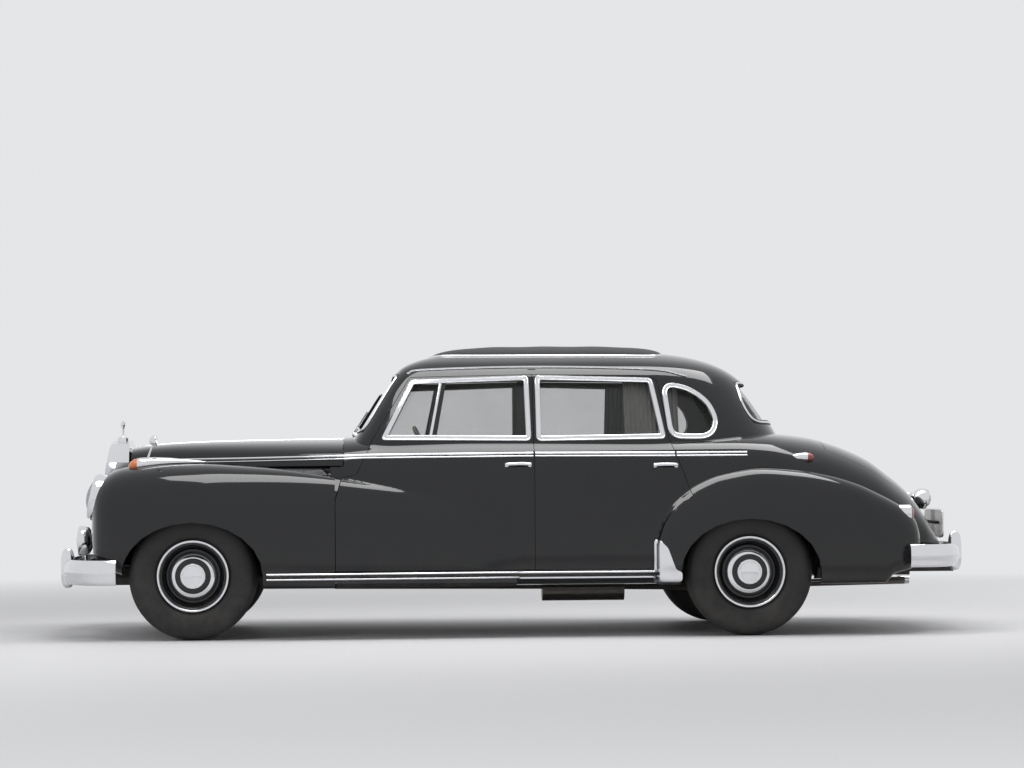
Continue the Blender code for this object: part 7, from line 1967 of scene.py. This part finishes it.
class SaloonCabin(bpy.types.PropertyGroup):
    cloth: colour_property("Seat cloth", "Colour of the seats", (0.36, 0.34, 0.30))
    lining: colour_property("Lining", "Colour of the roof and door lining", (0.46, 0.45, 0.42))
    crown: bpy.props.FloatProperty(
        name="Crown", description="How far the seat cloth may swell", default=0.024, min=0.0, max=0.05,
        unit="LENGTH",
    )


class SaloonStudio(bpy.types.PropertyGroup):
    floor: colour_property("Floor", "Colour of the floor", (0.62, 0.62, 0.63))
    background: colour_property("Background", "Colour behind the car", (0.78, 0.79, 0.80))
    fill: bpy.props.FloatProperty(
        name="Fill", description="Light from all round", default=0.42, min=0.0, max=1.0,
    )
    lamps: bpy.props.FloatProperty(
        name="Lamps", description="Power of the overhead lamp", default=260.0, min=0.0, max=2000.0,
        unit="POWER",
    )


class SALOON_OT_finishes(bpy.types.Operator):
    """Make the finishes and put them on the CAD nodes"""

    bl_idname = "saloon.finishes"
    bl_label = "Finishes"

    def execute(self, context):
        make_finishes()
        dress_nodes()
        return {"FINISHED"}


class SALOON_OT_body(bpy.types.Operator):
    """Lay the smooth skins on the body and roof"""

    bl_idname = "saloon.body"
    bl_label = "Body and roof skins"

    def execute(self, context):
        settings = context.scene.saloon_panels
        return give_slots(body_panels(settings.cell, settings.stand))


class SALOON_OT_doors(bpy.types.Operator):
    """Lay the smooth skins on the four doors"""

    bl_idname = "saloon.doors"
    bl_label = "Door skins"

    def execute(self, context):
        settings = context.scene.saloon_panels
        return give_slots(door_panels(settings.cell, settings.stand))


class SALOON_OT_fenders(bpy.types.Operator):
    """Lay the smooth skins on the front and rear fenders"""

    bl_idname = "saloon.fenders"
    bl_label = "Fender skins"

    def execute(self, context):
        settings = context.scene.saloon_panels
        return give_slots(fender_panels(settings.cell, settings.stand))


class SALOON_OT_lids(bpy.types.Operator):
    """Lay the smooth skins on the bonnet and boot lid"""

    bl_idname = "saloon.lids"
    bl_label = "Bonnet and boot lid skins"

    def execute(self, context):
        settings = context.scene.saloon_panels
        for piece in lid_panels(settings.cell, settings.stand):
            give_slots([piece])
        return {"FINISHED"}


class SALOON_OT_trim(bpy.types.Operator):
    """Lay the bright strips, window frames, sill mouldings and handles"""

    bl_idname = "saloon.trim"
    bl_label = "Bright trim"

    def execute(self, context):
        return give_slots(belt_strips() + window_frames() + sill_trim() + handles())


class SALOON_OT_wheels(bpy.types.Operator):
    """Turn the tyres, discs, trim rings and caps"""

    bl_idname = "saloon.wheels"
    bl_label = "Wheels and tyres"

    def execute(self, context):
        return give_slots(wheels())


class SALOON_OT_lamps(bpy.types.Operator):
    """Turn the headlamps, turn lamps, side lamps, tail lamps and fog lamps"""

    bl_idname = "saloon.lamps"
    bl_label = "Lamps"

    def execute(self, context):
        return give_slots(lamps())


class SALOON_OT_bumpers(bpy.types.Operator):
    """Sweep the bumper blades and their horns"""

    bl_idname = "saloon.bumpers"
    bl_label = "Bumpers"

    def execute(self, context):
        return give_slots(bumpers())


class SALOON_OT_fittings(bpy.types.Operator):
    """Make the mirror, wipers, curtains, plate lamp and pipe end"""

    bl_idname = "saloon.fittings"
    bl_label = "Small fittings"

    def execute(self, context):
        return give_slots(fittings() + plate_lamp() + sunroof())


class SALOON_OT_seats(bpy.types.Operator):
    """Sew and fill the front and rear benches"""

    bl_idname = "saloon.seats"
    bl_label = "Seats"

    def execute(self, context):
        return give_slots(seats(context.scene.saloon_cabin.crown))


class SALOON_OT_cockpit(bpy.types.Operator):
    """Turn the steering wheel, horn ring and dials"""

    bl_idname = "saloon.cockpit"
    bl_label = "Steering wheel and dials"

    def execute(self, context):
        return give_slots(cockpit())


class SALOON_OT_studio(bpy.types.Operator):
    """Make the floor, lamps, world and camera"""

    bl_idname = "saloon.studio"
    bl_label = "Studio"

    def execute(self, context):
        studio(context.scene.saloon_studio)
        return {"FINISHED"}


OPERATORS = (
    SALOON_OT_finishes, SALOON_OT_body, SALOON_OT_doors, SALOON_OT_fenders, SALOON_OT_lids,
    SALOON_OT_trim, SALOON_OT_wheels, SALOON_OT_lamps, SALOON_OT_bumpers, SALOON_OT_fittings, SALOON_OT_seats,
    SALOON_OT_cockpit, SALOON_OT_studio,
)
GROUPS = (
    ("saloon_paint", SaloonPaint), ("saloon_panels", SaloonPanels), ("saloon_cabin", SaloonCabin),
    ("saloon_studio", SaloonStudio),
)


class SALOON_PT_panel(bpy.types.Panel):
    """Settings and steps of the saloon car"""

    bl_label = "Saloon car"
    bl_idname = "SALOON_PT_panel"
    bl_space_type = "VIEW_3D"
    bl_region_type = "UI"
    bl_category = "Saloon"

    def draw(self, context):
        for label, group in GROUPS:
            settings = getattr(context.scene, label)
            box = self.layout.box()
            for name in group.__annotations__:
                box.prop(settings, name)
        for operator in OPERATORS:
            self.layout.operator(operator.bl_idname)


def register():
    """Registers the settings, the operators and the panel."""
    for label, group in GROUPS:
        bpy.utils.register_class(group)
        setattr(bpy.types.Scene, label, bpy.props.PointerProperty(type=group))
    for operator in OPERATORS:
        bpy.utils.register_class(operator)
    bpy.utils.register_class(SALOON_PT_panel)


def unregister():
    """Takes away what register added."""
    bpy.utils.unregister_class(SALOON_PT_panel)
    for operator in reversed(OPERATORS):
        bpy.utils.unregister_class(operator)
    for label, group in reversed(GROUPS):
        delattr(bpy.types.Scene, label)
        bpy.utils.unregister_class(group)


def main():
    """Runs every operator in order."""
    register()
    for operator in OPERATORS:
        category, name = operator.bl_idname.split(".")
        getattr(getattr(bpy.ops, category), name)()


if __name__ == "__main__":
    main()
